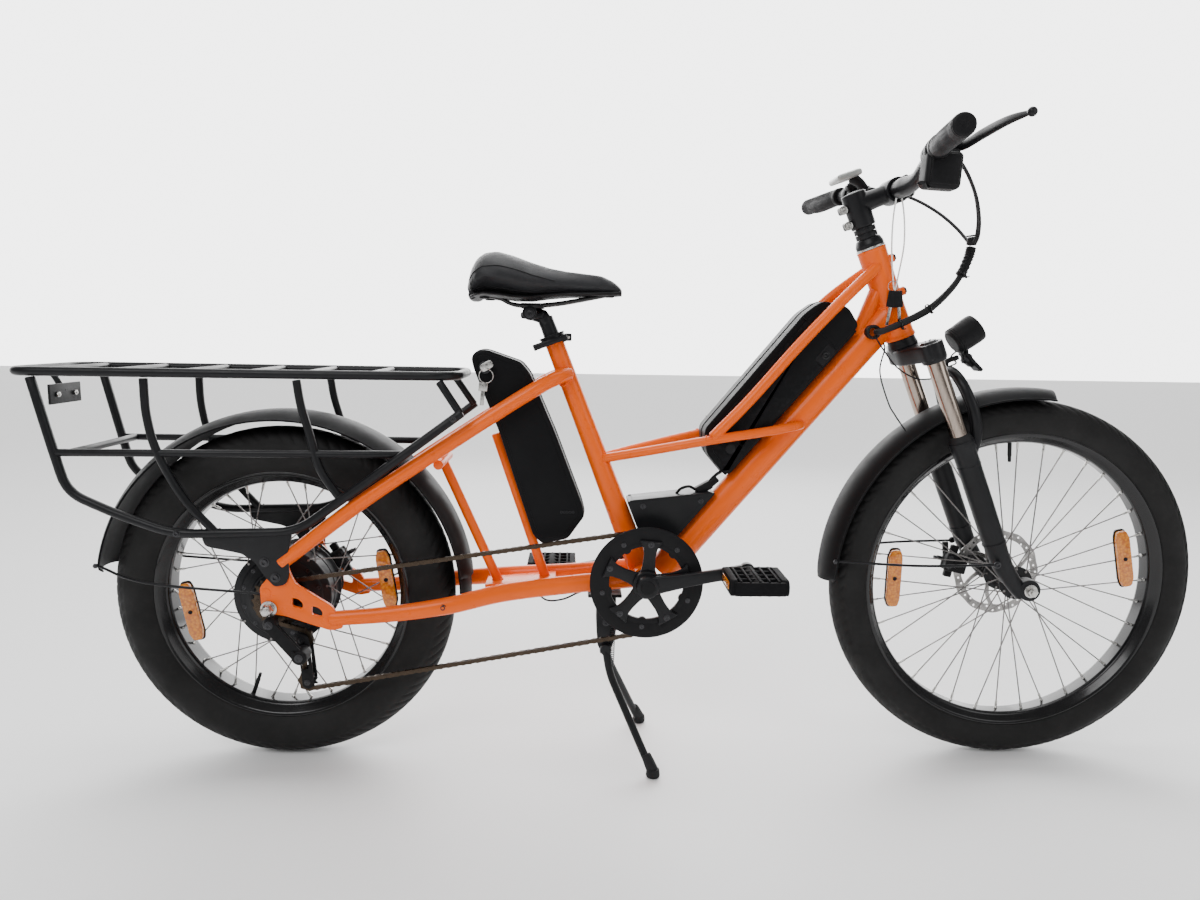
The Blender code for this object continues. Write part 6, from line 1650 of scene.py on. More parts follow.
def seat_group():
    cushion = inflated(saddle_shape(0.0022))
    made = show(cushion, "saddle_cushion", "saddle", "saddle_skin", ["saddle"], 60.0)
    tree = BVHTree.FromPolygons([tuple(p) for p in cushion[0]], cushion[1])
    seams = []
    for side in (-1, 1):
        for rise, start, stop in ((0.20, 0.336, 0.575), (0.56, 0.470, 0.330)):
            origins, directions = [], []
            for k in range(60):
                x = start + (stop - start) * k / 59
                low = high = 0.0
                for a, b in zip(SADDLE, SADDLE[1:]):
                    if a[0] <= x <= b[0]:
                        share = (x - a[0]) / (b[0] - a[0])
                        low, high = a[2] + (b[2] - a[2]) * share, a[3] + (b[3] - a[3]) * share
                bow = 0.10 * sin(pi * k / 59) if rise > 0.5 else 0.0
                origins.append(Vector((x, side * 0.16, low + (high - low) * (rise + bow))))
                directions.append(Vector((0.0, -side, 0.0)))
            line = surface_line(tree, origins, directions)
            if len(line) > 8:
                seams.append(sweep(line, 0.0009, 10, side_hint=Z_AXIS))
    show(merge(*seams), "saddle_seams", "saddle", "soft_black")
    verts = []
    around = 28
    for x, half, low, high in SADDLE[1:-1]:
        for k in range(around):
            angle = 2 * pi * k / around
            verts.append(Vector((x, half * 0.86 * cos(angle), low + 0.0042 + 0.0055 * sin(angle))))
    widths = (-0.056, -0.040, -0.020, 0.0, 0.020, 0.040, 0.056)
    tail = [(0.3345, y, 0.8190 - 0.004 * cos(y / 0.070 * pi / 2)) for y in widths]
    bumper = sweep(curve_through(tail, 6), 0.0070, 20, flatten=1.0, side_hint=Z_AXIS)
    blocks = [block((0.354, side * 0.045, 0.8180), (0.018, 0.014, 0.012), bevel=0.003) for side in (-1, 1)]
    blocks.append(block((0.562, 0.0, 0.8235), (0.018, 0.028, 0.010), bevel=0.003))
    show(merge(loft(verts, around), bumper, *blocks), "saddle_base", "saddle", "black_plastic")

    length = SEAT_TUBE_LENGTH
    levels = [-0.250, 0.000, 0.008, 0.020, 0.034]
    radii = [SEAT_POST_R, SEAT_POST_R, 0.0135, 0.0130, 0.0130]
    post = sweep([seat_line(length + d) for d in levels], radii, 48, rounding=0.0)
    top = Vector((0.4270, 0.0, 0.7905))
    neck = sweep([seat_line(length + 0.022), (0.4475, 0.0, 0.7850), top], [0.0132, 0.0125, 0.0115], 40)
    cradle = block(top + Vector((0.004, 0.0, -0.004)), (0.040, 0.030, 0.012), bevel=0.0045, segments=4)
    barrel = plug(0.0125, -0.026, 0.026, top, Y_AXIS, 48, 0.0025)
    upper = block(top + Vector((0.004, 0.0, 0.0120)), (0.040, 0.050, 0.0090), bevel=0.0025)
    show(merge(post, neck, cradle, barrel, upper), "seat_post_tube", "seat_post", "black_satin",
         ["seat_post"])
    rails = [sweep(curve_through([mirrored(p, side) for p in RAIL], 12), 0.0035, 24) for side in (-1, 1)]
    show(merge(*rails), "saddle_rails", "seat_post", "black_gloss")
    bolts = [bolt(top + Y_AXIS * side * 0.026, Y_AXIS * side, 0.0060, 0.0035) for side in (-1, 1)]
    show(merge(*bolts), "seat_clamp_bolts", "seat_post", "bolt_steel")


COLLAR_PIVOT = SEAT_TUBE_TOP + Vector((0.0215, -0.0190, -0.002))


def seat_collar():
    low = SEAT_TUBE_LENGTH - 0.013
    band = ring(0.0168, 0.0212, low, SEAT_TUBE_LENGTH + 0.003, SEAT_TUBE_LOW, SEAT_UP, 72, 0.0008)
    lip = ring(0.0166, 0.0222, SEAT_TUBE_LENGTH - 0.0005, SEAT_TUBE_LENGTH + 0.0030, SEAT_TUBE_LOW, SEAT_UP,
               72, 0.0008)
    ear = [block(seat_line(SEAT_TUBE_LENGTH - 0.005) + Vector((0.0255, s * 0.0072, 0.004)),
                 (0.013, 0.0110, 0.013), bevel=0.0022) for s in (-1, 1)]
    show(merge(band, lip, *ear), "seat_collar_band", "seat_collar", "black_satin", ["seat_collar"])
    stud = seat_line(SEAT_TUBE_LENGTH - 0.005) + Vector((0.0265, 0.0, 0.004))
    show(merge(plug(0.0026, -0.015, 0.018, stud, Y_AXIS, 24),
               hex_nut(stud + Y_AXIS * 0.0130, Y_AXIS, 0.0058, 0.0060)),
         "seat_collar_stud", "seat_collar", "steel")
    barrel = plug(0.0052, -0.0062, 0.0062, COLLAR_PIVOT, SEAT_UP, 36, 0.0010)
    points = [(0.0, -0.0010, 0.0), (-0.010, -0.0072, -0.003), (-0.026, -0.0100, -0.008),
              (-0.052, -0.0105, -0.018)]
    path = curve_through([COLLAR_PIVOT + Vector(p) for p in points], 8)
    radii = [0.0042 + 0.0014 * min(1.0, max(0.0, (i - 10) / 14)) for i in range(len(path))]
    show(merge(barrel, sweep(path, radii, 24, flatten=0.45)), "seat_lever_blade", "seat_lever", "black_satin",
         ["seat_lever"])


# ---------------------------------------------------------------- batteries and electrics
def inset(outline, amount):
    """A closed outline drawn in by an even amount."""
    points = [Vector(p) for p in outline]
    area = sum(a.x * b.y - b.x * a.y for a, b in zip(points, points[1:] + points[:1]))
    turn_side = 1.0 if area > 0 else -1.0
    made = []
    for k, here in enumerate(points):
        one = (here - points[k - 1]).normalized()
        two = (points[(k + 1) % len(points)] - here).normalized()
        normal = Vector((-(one.y + two.y), one.x + two.x))
        if normal.length < 1e-6:
            continue
        normal.normalize()
        stretch = max(0.5, normal.dot(Vector((-one.y, one.x))))
        made.append(tuple(here + normal * turn_side * amount / stretch))
    return made


def rear_battery():
    outline = [(0.329, 0.714), (0.336, 0.7245), (0.352, 0.7285), (0.413, 0.708), (0.428, 0.690)]
    outline += [(0.472, 0.588), (0.520, 0.463), (0.5245, 0.443), (0.4955, 0.402), (0.452, 0.3920)]
    outline += [(0.435, 0.407), (0.3755, 0.590), (0.333, 0.696)]
    outline = rounded_outline(outline, 0.007, 4)
    core = plate(outline, -0.0350, 0.0350, 0.0045, 4)
    covers = []
    face = inset(outline, 0.0085)
    for side in (-1, 1):
        edges = sorted((side * 0.0300, side * 0.0362))
        covers.append(plate(face, *edges, bevel=0.0016, segments=3))
    seam = [Vector((x, 0.0, z)) for x, z in inset(outline, -0.0003)]
    covers.append(sweep(seam, 0.0010, 8, closed=True, side_hint=Y_AXIS))
    show(merge(core, *covers), "rear_battery_case", "rear_battery", "battery_shell", ["rear_battery"], 30.0)
    details = [ring(0.0062, 0.0104, 0.0355, 0.0382, (0.353, 0.0, 0.698), -Y_AXIS, 48, 0.0006)]
    for k in range(5):
        details.append(ring(0.0016, 0.0022, 0.0358, 0.0366, (0.484 + 0.005 * k, 0.0, 0.450), -Y_AXIS, 16,
                            0.0001))
    show(merge(*details), "rear_battery_lock", "rear_battery", "bolt_steel")
    pivot = Vector((0.353, -0.036, 0.698))
    barrel = plug(0.0060, 0.0364, 0.0420, (pivot.x, 0.0, pivot.z), -Y_AXIS, 36, 0.0008)
    stem = block((pivot.x, -0.0450, pivot.z), (0.0075, 0.0100, 0.0022), bevel=0.0005)
    bow = plate(rounded_outline([(-0.011, -0.0065), (0.011, -0.0065), (0.011, 0.0065), (-0.011, 0.0065)],
                                0.0055), -0.0012,
                0.0012, 0.0004)
    tilt = Vector((0.85, 0.0, 0.52)).normalized()
    up = tilt.cross(Y_AXIS)
    bow = ([pivot + Vector((0.004, -0.0145, 0.003)) + tilt * p.x + Y_AXIS * p.y + up * p.z for p in bow[0]],
           bow[1])
    hoop = [Vector((0.3560 + 0.0118 * cos(a), -0.0510 - 0.0012 * sin(a), 0.6845 + 0.0118 * sin(a)))
            for a in (2 * pi * k / 48 for k in range(48))]
    split = sweep(hoop, 0.00075, 10, closed=True)
    second = [Vector((p.x + 0.0003, p.y - 0.0014, p.z)) for p in hoop]
    split_two = sweep(second, 0.00075, 10, closed=True)
    hang = Vector((0.3515, -0.0520, 0.6700))
    down = Vector((-0.08, 0.0, -1.0)).normalized()
    hung_bow = block(hang + down * 0.004, (0.014, 0.0022, 0.0150), down, bevel=0.0008)
    blade = block(hang + down * 0.022, (0.026, 0.0018, 0.0065), down, bevel=0.0004)
    show(merge(barrel, stem, bow, split, split_two, hung_bow, blade), "battery_key_ring", "battery_key",
         "steel",
         ["battery_key"])


def front_battery():
    stations = [(0.205, 0.040), (0.212, 0.085), (0.240, 0.116), (0.500, 0.119), (0.535, 0.110),
                (0.556, 0.070)]
    outline = [(p.x, p.z) for p in (down_point(d, DOWN_TUBE_R + 0.010) for d in (0.545, 0.205))]
    outline += [(p.x, p.z) for p in (down_point(d, out) for d, out in stations)]
    outline = rounded_outline(outline, 0.010, 5)
    core = plate(outline, -0.0365, 0.0365, 0.0065, 4)
    covers = []
    face = inset(outline, 0.0105)
    for side in (-1, 1):
        edges = sorted((side * 0.0320, side * 0.0388))
        covers.append(plate(face, *edges, bevel=0.0018, segments=3))
    seam = [Vector((x, 0.0, z)) for x, z in inset(outline, -0.0003)]
    covers.append(sweep(seam, 0.0011, 8, closed=True, side_hint=Y_AXIS))
    for d in (0.262, 0.492):
        bands = [down_point(d, 0.044), down_point(d, 0.1165)]
        for side in (-1, 1):
            covers.append(sweep([p + Y_AXIS * side * 0.0388 for p in bands], 0.0009, 10))
    show(merge(core, *covers), "front_battery_case", "front_battery", "battery_shell", ["front_battery"],
         30.0)
    cradle = block(down_point(0.375, DOWN_TUBE_R + 0.006), (0.330, 0.036, 0.0085), DOWN_ALONG, DOWN_OUT,
                   0.002)
    lock = block(down_point(0.470, 0.0445, -0.0350), (0.036, 0.010, 0.020), DOWN_ALONG, DOWN_OUT, 0.003)
    show(merge(cradle, lock), "front_battery_cradle", "front_battery", "black_plastic")
    barrel = ring(0.0030, 0.0068, -0.0010, 0.0018, down_point(0.470, 0.0445, -0.0402), -Y_AXIS, 40, 0.0005)
    core = plug(0.0030, -0.001, 0.0010, down_point(0.470, 0.0445, -0.0402), -Y_AXIS, 24, 0.0003)
    show(merge(barrel, core), "front_battery_lock", "front_battery", "black_gloss")
    port = plug(0.0085, 0.0, 0.0016, down_point(0.245, 0.060, -0.0386), -Y_AXIS, 40, 0.0006)
    show(port, "front_battery_port_cap", "front_battery", "soft_black")


def controller():
    outline = [(0.598, 0.468), (0.753, 0.4855), (0.711, 0.435), (0.669, 0.385), (0.634, 0.383),
               (0.6235, 0.404)]
    outline.append((0.613, 0.430))
    outline = rounded_outline(outline, 0.005, 4)
    body = plate(outline, -0.0292, 0.0292, 0.0030, 3)
    seat = sweep([seat_line(0.0), seat_line(0.15), seat_line(0.30)], [0.0228, 0.0213, 0.0198], 32, 0.96,
                 rounding=0.0)
    down = sweep(evenly(down_point(-0.02), down_point(0.4), 4), DOWN_TUBE_R + 0.0008, 32, flatten=0.94,
                 rounding=0.0)
    body = cut(body, seat, down)
    lips = []
    for side in (-1, 1):
        ridge = [(0.603, side * 0.0278, 0.4685), (0.640, side * 0.0280, 0.4727),
                 (0.746, side * 0.0280, 0.4847)]
        lips.append(sweep(evenly(ridge[0], ridge[1], 4)[:-1] + evenly(ridge[1], ridge[2], 8), 0.0015, 14))
    lid = block((0.6750, 0.0, 0.4772), (0.136, 0.0545, 0.0022), (1.0, 0.0, 0.113), bevel=0.0008)
    show(merge(body, *lips, lid), "controller_case", "controller_box", "black_satin", ["controller_box"])
    screws = [bolt((x, side * 0.0293, z), Y_AXIS * side, 0.0034, 0.0020) for side in (-1, 1)
              for x, z in ((0.626, 0.460), (0.727, 0.470), (0.662, 0.398))]
    show(merge(*screws), "controller_screws", "controller_box", "bolt_steel")
    start = Vector((0.734, -0.008, 0.491))
    plug_body = [block(start, (0.030, 0.018, 0.015), (1.0, 0.0, 0.55), bevel=0.003)]
    plug_body.append(block(start + Vector((0.017, -0.001, 0.011)), (0.018, 0.014, 0.011), (1.0, 0.0, 0.9),
                           bevel=0.0025))
    wire = curve_through([(0.722, -0.008, 0.486), (0.708, -0.012, 0.4930), (0.694, -0.010, 0.4890),
                          (0.686, -0.006, 0.4790)], 8)
    plug_body.append(sweep(wire, 0.0026, 14))
    lead = curve_through([(0.742, -0.009, 0.500), (0.754, -0.012, 0.514), (0.772, -0.012, 0.526),
                          (0.790, -0.010, 0.538)], 8)
    plug_body.append(sweep(lead, 0.0028, 14))
    show(merge(*plug_body), "controller_plugs", "controller_box", "black_plastic")


# ---------------------------------------------------------------- stand
def kickstand():
    cheeks = []
    outline = [(0.548, 0.298), (0.582, 0.298), (0.584, 0.235), (0.578, 0.206), (0.568, 0.1905),
               (0.558, 0.1915), (0.550, 0.206), (0.548, 0.240)]
    for side in (-1, 1):
        edges = sorted((side * 0.0158, side * 0.0246))
        cheeks.append(plate(rounded_outline(outline, 0.006), *edges, bevel=0.0012))
    web = block((0.565, 0.0, 0.266), (0.032, 0.034, 0.064), bevel=0.002)
    top = block((0.562, 0.0, 0.2985), (0.060, 0.066, 0.006), bevel=0.0016)
    show(merge(*cheeks, web, top), "stand_bracket_casting", "stand_bracket", "black_satin", ["stand_bracket"])
    bolts = [bolt((0.552, 0.0, 0.3015), Z_AXIS, 0.0055, 0.0030)]
    bolts += [bolt((0.565, s * 0.0246, 0.248), Y_AXIS * s, 0.0045, 0.0028) for s in (-1, 1)]
    show(merge(*bolts), "stand_bracket_bolts", "stand_bracket", "bolt_steel")
    parts = [plug(0.0050, -0.0300, 0.0300, STAND_PIVOT, Y_AXIS, 32)]
    parts.append(block(STAND_PIVOT + Vector((0.0, 0.0, -0.004)), (0.020, 0.0285, 0.022), bevel=0.003))
    feet = []
    for name, side in SIDES.items():
        foot_x = STAND_FOOT_X[name]
        points = [STAND_PIVOT + Vector((0.0, side * 0.029, 0.0)), Vector((0.5725, side * 0.034, 0.156)),
                  Vector((foot_x - 0.003, side * (STAND_FOOT_Y - 0.003), 0.010))]
        path = rounded_path(points, 0.03, 8)
        path = path[:-1] + evenly(path[-2], path[-1], 8)[1:]
        parts.append(sweep(path, 0.0068, 28))
        parts.append(turn(soften([(0.0, -0.006), (0.0098, -0.006), (0.0105, 0.0), (0.0098, 0.006),
                                  (0.0, 0.006)], 0.001),
                          STAND_PIVOT + Y_AXIS * side * 0.0300, Y_AXIS, 40))
        foot = (foot_x, side * STAND_FOOT_Y, 0.0)
        sole = [(0.0, 0.0), (0.0105, 0.0), (0.0122, 0.0022), (0.0118, 0.0080)]
        lean = (points[1] - points[2]).normalized()
        feet.append(turn(soften(sole + [(0.0110, 0.0140), (0.0, 0.0150)], 0.0012), foot, Z_AXIS, 40))
        feet.append(sweep([Vector(foot) + Z_AXIS * 0.010, Vector(foot) + Z_AXIS * 0.010 + lean * 0.016,
                           Vector(foot) + Z_AXIS * 0.010 + lean * 0.030], [0.0102, 0.0096, 0.0084], 32))
    show(merge(*parts), "kickstand_legs", "kickstand", "black_satin", ["kickstand"])
    show(merge(*feet), "kickstand_feet", "kickstand", "grip_rubber")
    coil = []
    low, high = Vector((0.576, -0.0335, 0.170)), Vector((0.5780, -0.0300, 0.240))
    along = (high - low).normalized()
    across = along.cross(Y_AXIS).normalized()
    other = along.cross(across)
    for s in range(20 * 14 + 1):
        angle = 2 * pi * s / 14
        coil.append(low.lerp(high, s / (20 * 14)) + (across * cos(angle) + other * sin(angle)) * 0.0034)
    show(sweep(coil, 0.0008, 8), "kickstand_spring", "stand_bracket", "bolt_steel")


# ---------------------------------------------------------------- cockpit
BAR_CENTRE = steer(0.723, 0.067)
BAR = [(BAR_CENTRE.x, 0.0, BAR_CENTRE.z), (BAR_CENTRE.x, 0.035, BAR_CENTRE.z), (1.046, 0.090, 1.008),
       (1.038, 0.150, 1.022), (1.022, 0.235, 1.031), (0.997, 0.362, 1.029)]


def bar_curve(side, steps=14):
    return curve_through([mirrored(p, side) for p in BAR], steps)


def bar_point(side, away):
    """The bar's middle and direction at a distance from the centre plane."""
    path = bar_curve(side)
    for a, b in zip(path, path[1:]):
        if abs(a.y) <= away <= abs(b.y):
            share = (away - abs(a.y)) / max(1e-9, abs(b.y) - abs(a.y))
            return a.lerp(b, share), (b - a).normalized()
    along = (path[-1] - path[-2]).normalized()
    return path[-1] + along * (away - abs(path[-1].y)), along


def stem():
    body = [(0.0, 0.6850), (0.0190, 0.6850), (0.0205, 0.6870), (0.0208, 0.7100), (0.0205, 0.7440),
            (0.0190, 0.7452), (0.0, 0.7452)]
    shell = turn(soften(body, 0.0010), STEER_BASE, STEER_UP, 72)
    neck = sweep([steer(0.7235, 0.0), steer(0.7235, 0.018), steer(0.7235, 0.034), steer(0.7235, 0.052)],
                 [0.0180, 0.0170, 0.0158, 0.0162], 44, flatten=1.15, rounding=0.0)
    clamp = ring(0.0163, 0.0212, -0.024, 0.024, BAR_CENTRE, Y_AXIS, 72, 0.0016)
    ears = [block(steer(h, -0.0245), (0.0160, 0.0175, 0.0135), STEER_FORWARD, STEER_UP, 0.0035)
            for h in (0.6965, 0.7240)]
    face = block(BAR_CENTRE + STEER_FORWARD * 0.0195, (0.0070, 0.0450, 0.0380), STEER_FORWARD, STEER_UP,
                 0.0028)
    spacers = []
    for low, high, r in ((0.6660, 0.6748, 0.0184), (0.6755, 0.6844, 0.0184)):
        spacers.append(ring(STEERER_R + 0.0003, r, low, high, STEER_BASE, STEER_UP, 64, 0.0009))
    cone = [(STEERER_R + 0.0003, HEAD_HIGH + 0.0044), (0.0238, HEAD_HIGH + 0.0044), (0.0236, 0.6560),
            (0.0205, 0.6640), (0.0188, 0.6655), (STEERER_R + 0.0003, 0.6655)]
    spacers.append(turn(soften(cone, 0.0008), STEER_BASE, STEER_UP, 72))
    show(merge(shell, neck, clamp, *ears, face, *spacers), "stem_casting", "stem", "black_satin", ["stem"])
    shine = ring(STEERER_R + 0.0003, 0.0246, HEAD_HIGH + 0.0006, HEAD_HIGH + 0.0042, STEER_BASE, STEER_UP, 72,
                 0.0009)
    show(shine, "headset_ring", "stem", "steel")
    bolts = [bolt(steer(h, -0.0270) - Y_AXIS * 0.0088, -Y_AXIS, 0.0052, 0.0036) for h in (0.6965, 0.7240)]
    for up in (-0.0125, 0.0125):
        for y in (-0.0160, 0.0160):
            bolts.append(bolt(BAR_CENTRE + STEER_FORWARD * 0.0230 + STEER_UP * up + Y_AXIS * y, STEER_FORWARD,
                              0.0036, 0.0030))
    show(merge(*bolts), "stem_bolts", "stem", "steel")


def handlebar():
    path = list(reversed(bar_curve(-1))) + bar_curve(1)[1:]
    radii = []
    for point in path:
        away = abs(point.y)
        radii.append(0.0159 if away < 0.05 else max(0.0111, 0.0159 - (away - 0.05) * 0.08))
    show(sweep(path, radii, 40, side_hint=X_AXIS), "handlebar_tube", "handlebar", "black_satin",
         ["handlebar"])


def grips():
    for name, side in SIDES.items():
        stations, around = 96, 60
        verts = []
        first, last = 0.2335, 0.3670
        for s in range(stations):
            share = s / (stations - 1)
            middle, along = bar_point(side, first + (last - first) * share)
            back = (-X_AXIS - along * (-X_AXIS).dot(along)).normalized()
            up = along.cross(back)
            if up.z < 0:
                up = -up
            ends = min(1.0, share / 0.05, (1.0 - share) / 0.03)
            ends = 1.0 - (1.0 - max(0.0, ends)) ** 3 * 0.16
            wing = 0.0105 * sin(pi * min(1.0, max(0.0, (share - 0.02) / 0.80))) ** 0.9
            for k in range(around):
                angle = 2 * pi * k / around
                toward = max(0.0, cos(angle + 0.85)) ** 4
                ribs = 0.0
                if toward < 0.06 and 0.12 < share < 0.86:
                    ribs = -0.0009 * (0.5 + 0.5 * cos(2 * pi * share * 22)) ** 2
                elif toward > 0.10 and 0.14 < share < 0.80:
                    ribs = -0.0006 * (0.5 + 0.5 * cos(angle * 18)) ** 3
                r = 0.0160 * ends + wing * toward + ribs
                verts.append(middle + (back * cos(angle) + up * sin(angle)) * r)
        node = "grip_" + name
        show(loft(verts, around), node + "_rubber", node, "grip_rubber", [node], 40.0)
        middle, along = bar_point(side, last)
        cap = [(0.0, -0.002), (0.0150, -0.002), (0.0152, 0.0006), (0.0125, 0.0022), (0.0045, 0.0022),
               (0.0040, 0.0012), (0.0, 0.0012)]
        inner, inner_along = bar_point(side, 0.2325)
        collar = ring(0.0112, 0.0172, -0.0060, 0.0045, inner, inner_along, 56, 0.0012)
        show(merge(turn(soften(cap, 0.0006, 2), middle, along, 48), collar), node + "_ends", node,
             "black_plastic")


LEVER_PIVOT = Vector((1.056, 0.196, 1.036))
LEVER_BLADE = [(-0.004, -0.006, 0.0), (0.010, 0.014, 0.001), (0.019, 0.056, 0.009), (0.024, 0.114, 0.013),
               (0.032, 0.160, 0.013)]


def brake_levers():
    for name, side in SIDES.items():
        clamp_centre, along = bar_point(side, 0.190)
        pivot = mirrored(LEVER_PIVOT, side)
        band = ring(0.0116, 0.0176, -0.0075, 0.0075, clamp_centre, along, 56, 0.0014)
        reach = (pivot - clamp_centre).normalized()
        arm = block(clamp_centre + reach * 0.018, (0.026, 0.0215, 0.0150), reach, bevel=0.0040, segments=4)
        horns = [block(pivot - reach * 0.001 + Z_AXIS * s * 0.0062, (0.020, 0.0200, 0.0040), reach,
                       bevel=0.0016) for s in (-1, 1)]
        barrel = plug(0.0048, 0.0, 0.020, pivot + Vector((-0.004, side * -0.008, 0.0)),
                      Vector((0.35, -side, -0.15)), 28, 0.0008)
        knurl = ring(0.0046, 0.0062, 0.010, 0.017, pivot + Vector((-0.004, side * -0.008, 0.0)),
                     Vector((0.35, -side, -0.15)), 20)
        parts = [band, arm, *horns, barrel, knurl]
        node = "lever_body_" + name
        show(merge(*parts), node + "_clamp", node, "black_satin", [node])
        pins = [bolt(pivot + Z_AXIS * 0.0082, Z_AXIS, 0.0040, 0.0022),
                bolt(pivot - Z_AXIS * 0.0082, -Z_AXIS, 0.0040, 0.0022)]
        pins.append(bolt(clamp_centre - Z_AXIS * 0.0165 + X_AXIS * 0.004, -Z_AXIS, 0.0038, 0.0026))
        show(merge(*pins), node + "_bolts", node, "bolt_steel")
        path = curve_through([pivot + mirrored(p, side) for p in LEVER_BLADE], 12)
        radii = []
        for i in range(len(path)):
            share = i / (len(path) - 1)
            radii.append(0.0036 + 0.0040 * sin(pi * min(1.0, share * 1.05)) ** 0.8)
        blade = sweep(path, radii, 30, flatten=0.62, side_hint=X_AXIS)
        end = path[-1]
        knob = turn(soften([(0.0, -0.0056), (0.0045, -0.0050), (0.0064, -0.0015), (0.0064, 0.0015),
                            (0.0045, 0.0050), (0.0, 0.0056)], 0.0018, 4), end, path[-1] - path[-2], 32)
        node = "brake_lever_" + name
        show(merge(blade, knob), node + "_blade", node, "black_satin", [node])
    box = block((1.036, -0.2085, 1.001), (0.054, 0.034, 0.054), (1.0, 0.0, -0.05), bevel=0.0085, segments=6)
    face = block((1.036, -0.2262, 1.001), (0.042, 0.004, 0.044), (1.0, 0.0, -0.05), bevel=0.0018)
    clamp_centre, along = bar_point(-1, 0.2100)
    band = ring(0.0112, 0.0178, -0.008, 0.008, clamp_centre, along, 48, 0.0014)
    trigger = sweep(curve_through([(1.022, -0.212, 0.978), (1.006, -0.226, 0.974), (0.994, -0.244, 0.978)],
                                  8),
                    [0.0042] * 8 + [0.0058] * 9, 20, flatten=0.5, side_hint=Z_AXIS)
    window = block((1.050, -0.2085, 1.0275), (0.018, 0.020, 0.003), (1.0, 0.0, -0.05), bevel=0.001)
    show(merge(box, face, band, trigger, window), "shifter_box", "lever_body_right", "black_plastic")


def display():
    along = Vector((1.0, 0.0, 0.35)).normalized()
    up = along.cross(Y_AXIS)
    up = up if up.z > 0 else -up
    centre = Vector((0.998, 0.125, 1.049))
    shell = block(centre, (0.046, 0.062, 0.0115), along, up, bevel=0.0045, segments=5)
    show(shell, "display_shell", "display", "display_grey", ["display"])
    glass = block(centre + up * 0.0056, (0.035, 0.050, 0.0014), along, up, bevel=0.0005)
    show(glass, "display_glass", "display", "screen")
    middle, direction = bar_point(1, 0.125)
    band = [ring(0.0130, 0.0168, -0.007 + d, 0.003 + d, middle, direction, 48, 0.0012)
            for d in (-0.010, 0.010)]
    foot = sweep([(1.034, 0.125, 1.028), (1.026, 0.125, 1.039), (1.010, 0.125, 1.049)],
                 [0.0090, 0.0085, 0.0100], 28,
                 flatten=1.25)
    pod, pod_along = bar_point(1, 0.172)
    pad = block(pod + Vector((-0.008, 0.0, 0.0150)), (0.022, 0.020, 0.012), along, up, bevel=0.003)
    keys = [plug(0.0030, 0.0, 0.0022, pod + Vector((-0.008 + dx, 0.0, 0.0210 + 0.3 * dx)), up, 24, 0.0006)
            for dx in (-0.006, 0.006)]
    ring_two = ring(0.0112, 0.0160, -0.006, 0.006, pod, pod_along, 48, 0.0012)
    show(merge(*band, foot, pad, ring_two, *keys), "display_mount", "display", "black_plastic")


# ---------------------------------------------------------------- lamp
def headlight():
    aim = Vector((0.62, 0.0, 0.45)).normalized()
    centre = Vector((1.184, 0.0, 0.764))
    profile = [(0.0, -0.0250), (0.0190, -0.0250), (0.0222, -0.0230), (0.0244, -0.0142), (0.0253, 0.0),
               (0.0257, 0.0175), (0.0248, 0.0246), (0.0236, 0.0259), (0.0232, 0.0225), (0.0, 0.0225)]
    shell = turn(soften(profile, 0.0016, 3), centre, aim, 80)
    fins = [ring(0.0225, 0.0249, -0.0205 + 0.0034 * k, -0.0190 + 0.0034 * k, centre, aim, 64, 0.0003)
            for k in range(3)]
    tail = block(centre + Vector((0.004, 0.0, -0.036)), (0.012, 0.012, 0.026), (1.0, 0.0, 0.2), bevel=0.003)
    fork_piece = block(centre + Vector((0.010, 0.0, -0.046)), (0.020, 0.018, 0.010), (1.0, 0.0, -0.7),
                       bevel=0.002)
    panel = block(Vector((1.1990, 0.0, 0.7185)), (0.044, 0.030, 0.0065), (0.72, 0.0, -0.69), bevel=0.0022)
    show(merge(shell, *fins, tail, fork_piece, panel), "headlight_shell", "headlight", "black_plastic",
         ["headlight"], 30.0)
    bowl = turn(soften([(0.0, 0.0227), (0.0080, 0.0228), (0.0160, 0.0236), (0.0228, 0.0247), (0.0228, 0.0241),
                        (0.0, 0.0221)],
                       0.0003, 2), centre, aim, 64)
    show(bowl, "headlight_mirror", "headlight", "lamp_mirror")
    lens = turn(soften([(0.0, 0.0262), (0.0120, 0.0258), (0.0232, 0.0246), (0.0232, 0.0256), (0.0120, 0.0272),
                        (0.0, 0.0278)],
                       0.0003, 2), centre, aim, 64)
    show(lens, "headlight_lens", "headlight", "lens_glass")
    arm = [Vector((1.1955, 0.0, 0.7205)), Vector((1.1950, 0.0, 0.7265)), Vector((1.190, 0.0, 0.735))]
    screw = [bolt(Vector((1.1905, -0.0090, 0.7260)), -Y_AXIS, 0.0048, 0.0030),
             hex_nut(Vector((1.1905, 0.0090, 0.7260)), Y_AXIS, 0.0050, 0.0036)]
    show(merge(sweep(curve_through(arm, 6), 0.0030, 16), *screw), "headlight_screw", "headlight",
         "bolt_steel")
    wire = [(1.170, -0.004, 0.736), (1.160, -0.008, 0.726), (1.168, -0.012, 0.716), (1.154, -0.010, 0.708),
            (1.160, -0.006, 0.698), (1.146, -0.004, 0.690)]
    show(sweep(curve_through(wire, 10), 0.0014, 10), "headlight_wire", "fork_lowers", "soft_black")


# ---------------------------------------------------------------- cables
LOOM = [(1.013, -0.037, 0.767), (1.024, -0.048, 0.770), (1.069, -0.052, 0.7915), (1.108, -0.046, 0.8145),
        (1.1495, -0.032, 0.8535), (1.170, -0.024, 0.893), (1.176, -0.020, 0.912)]


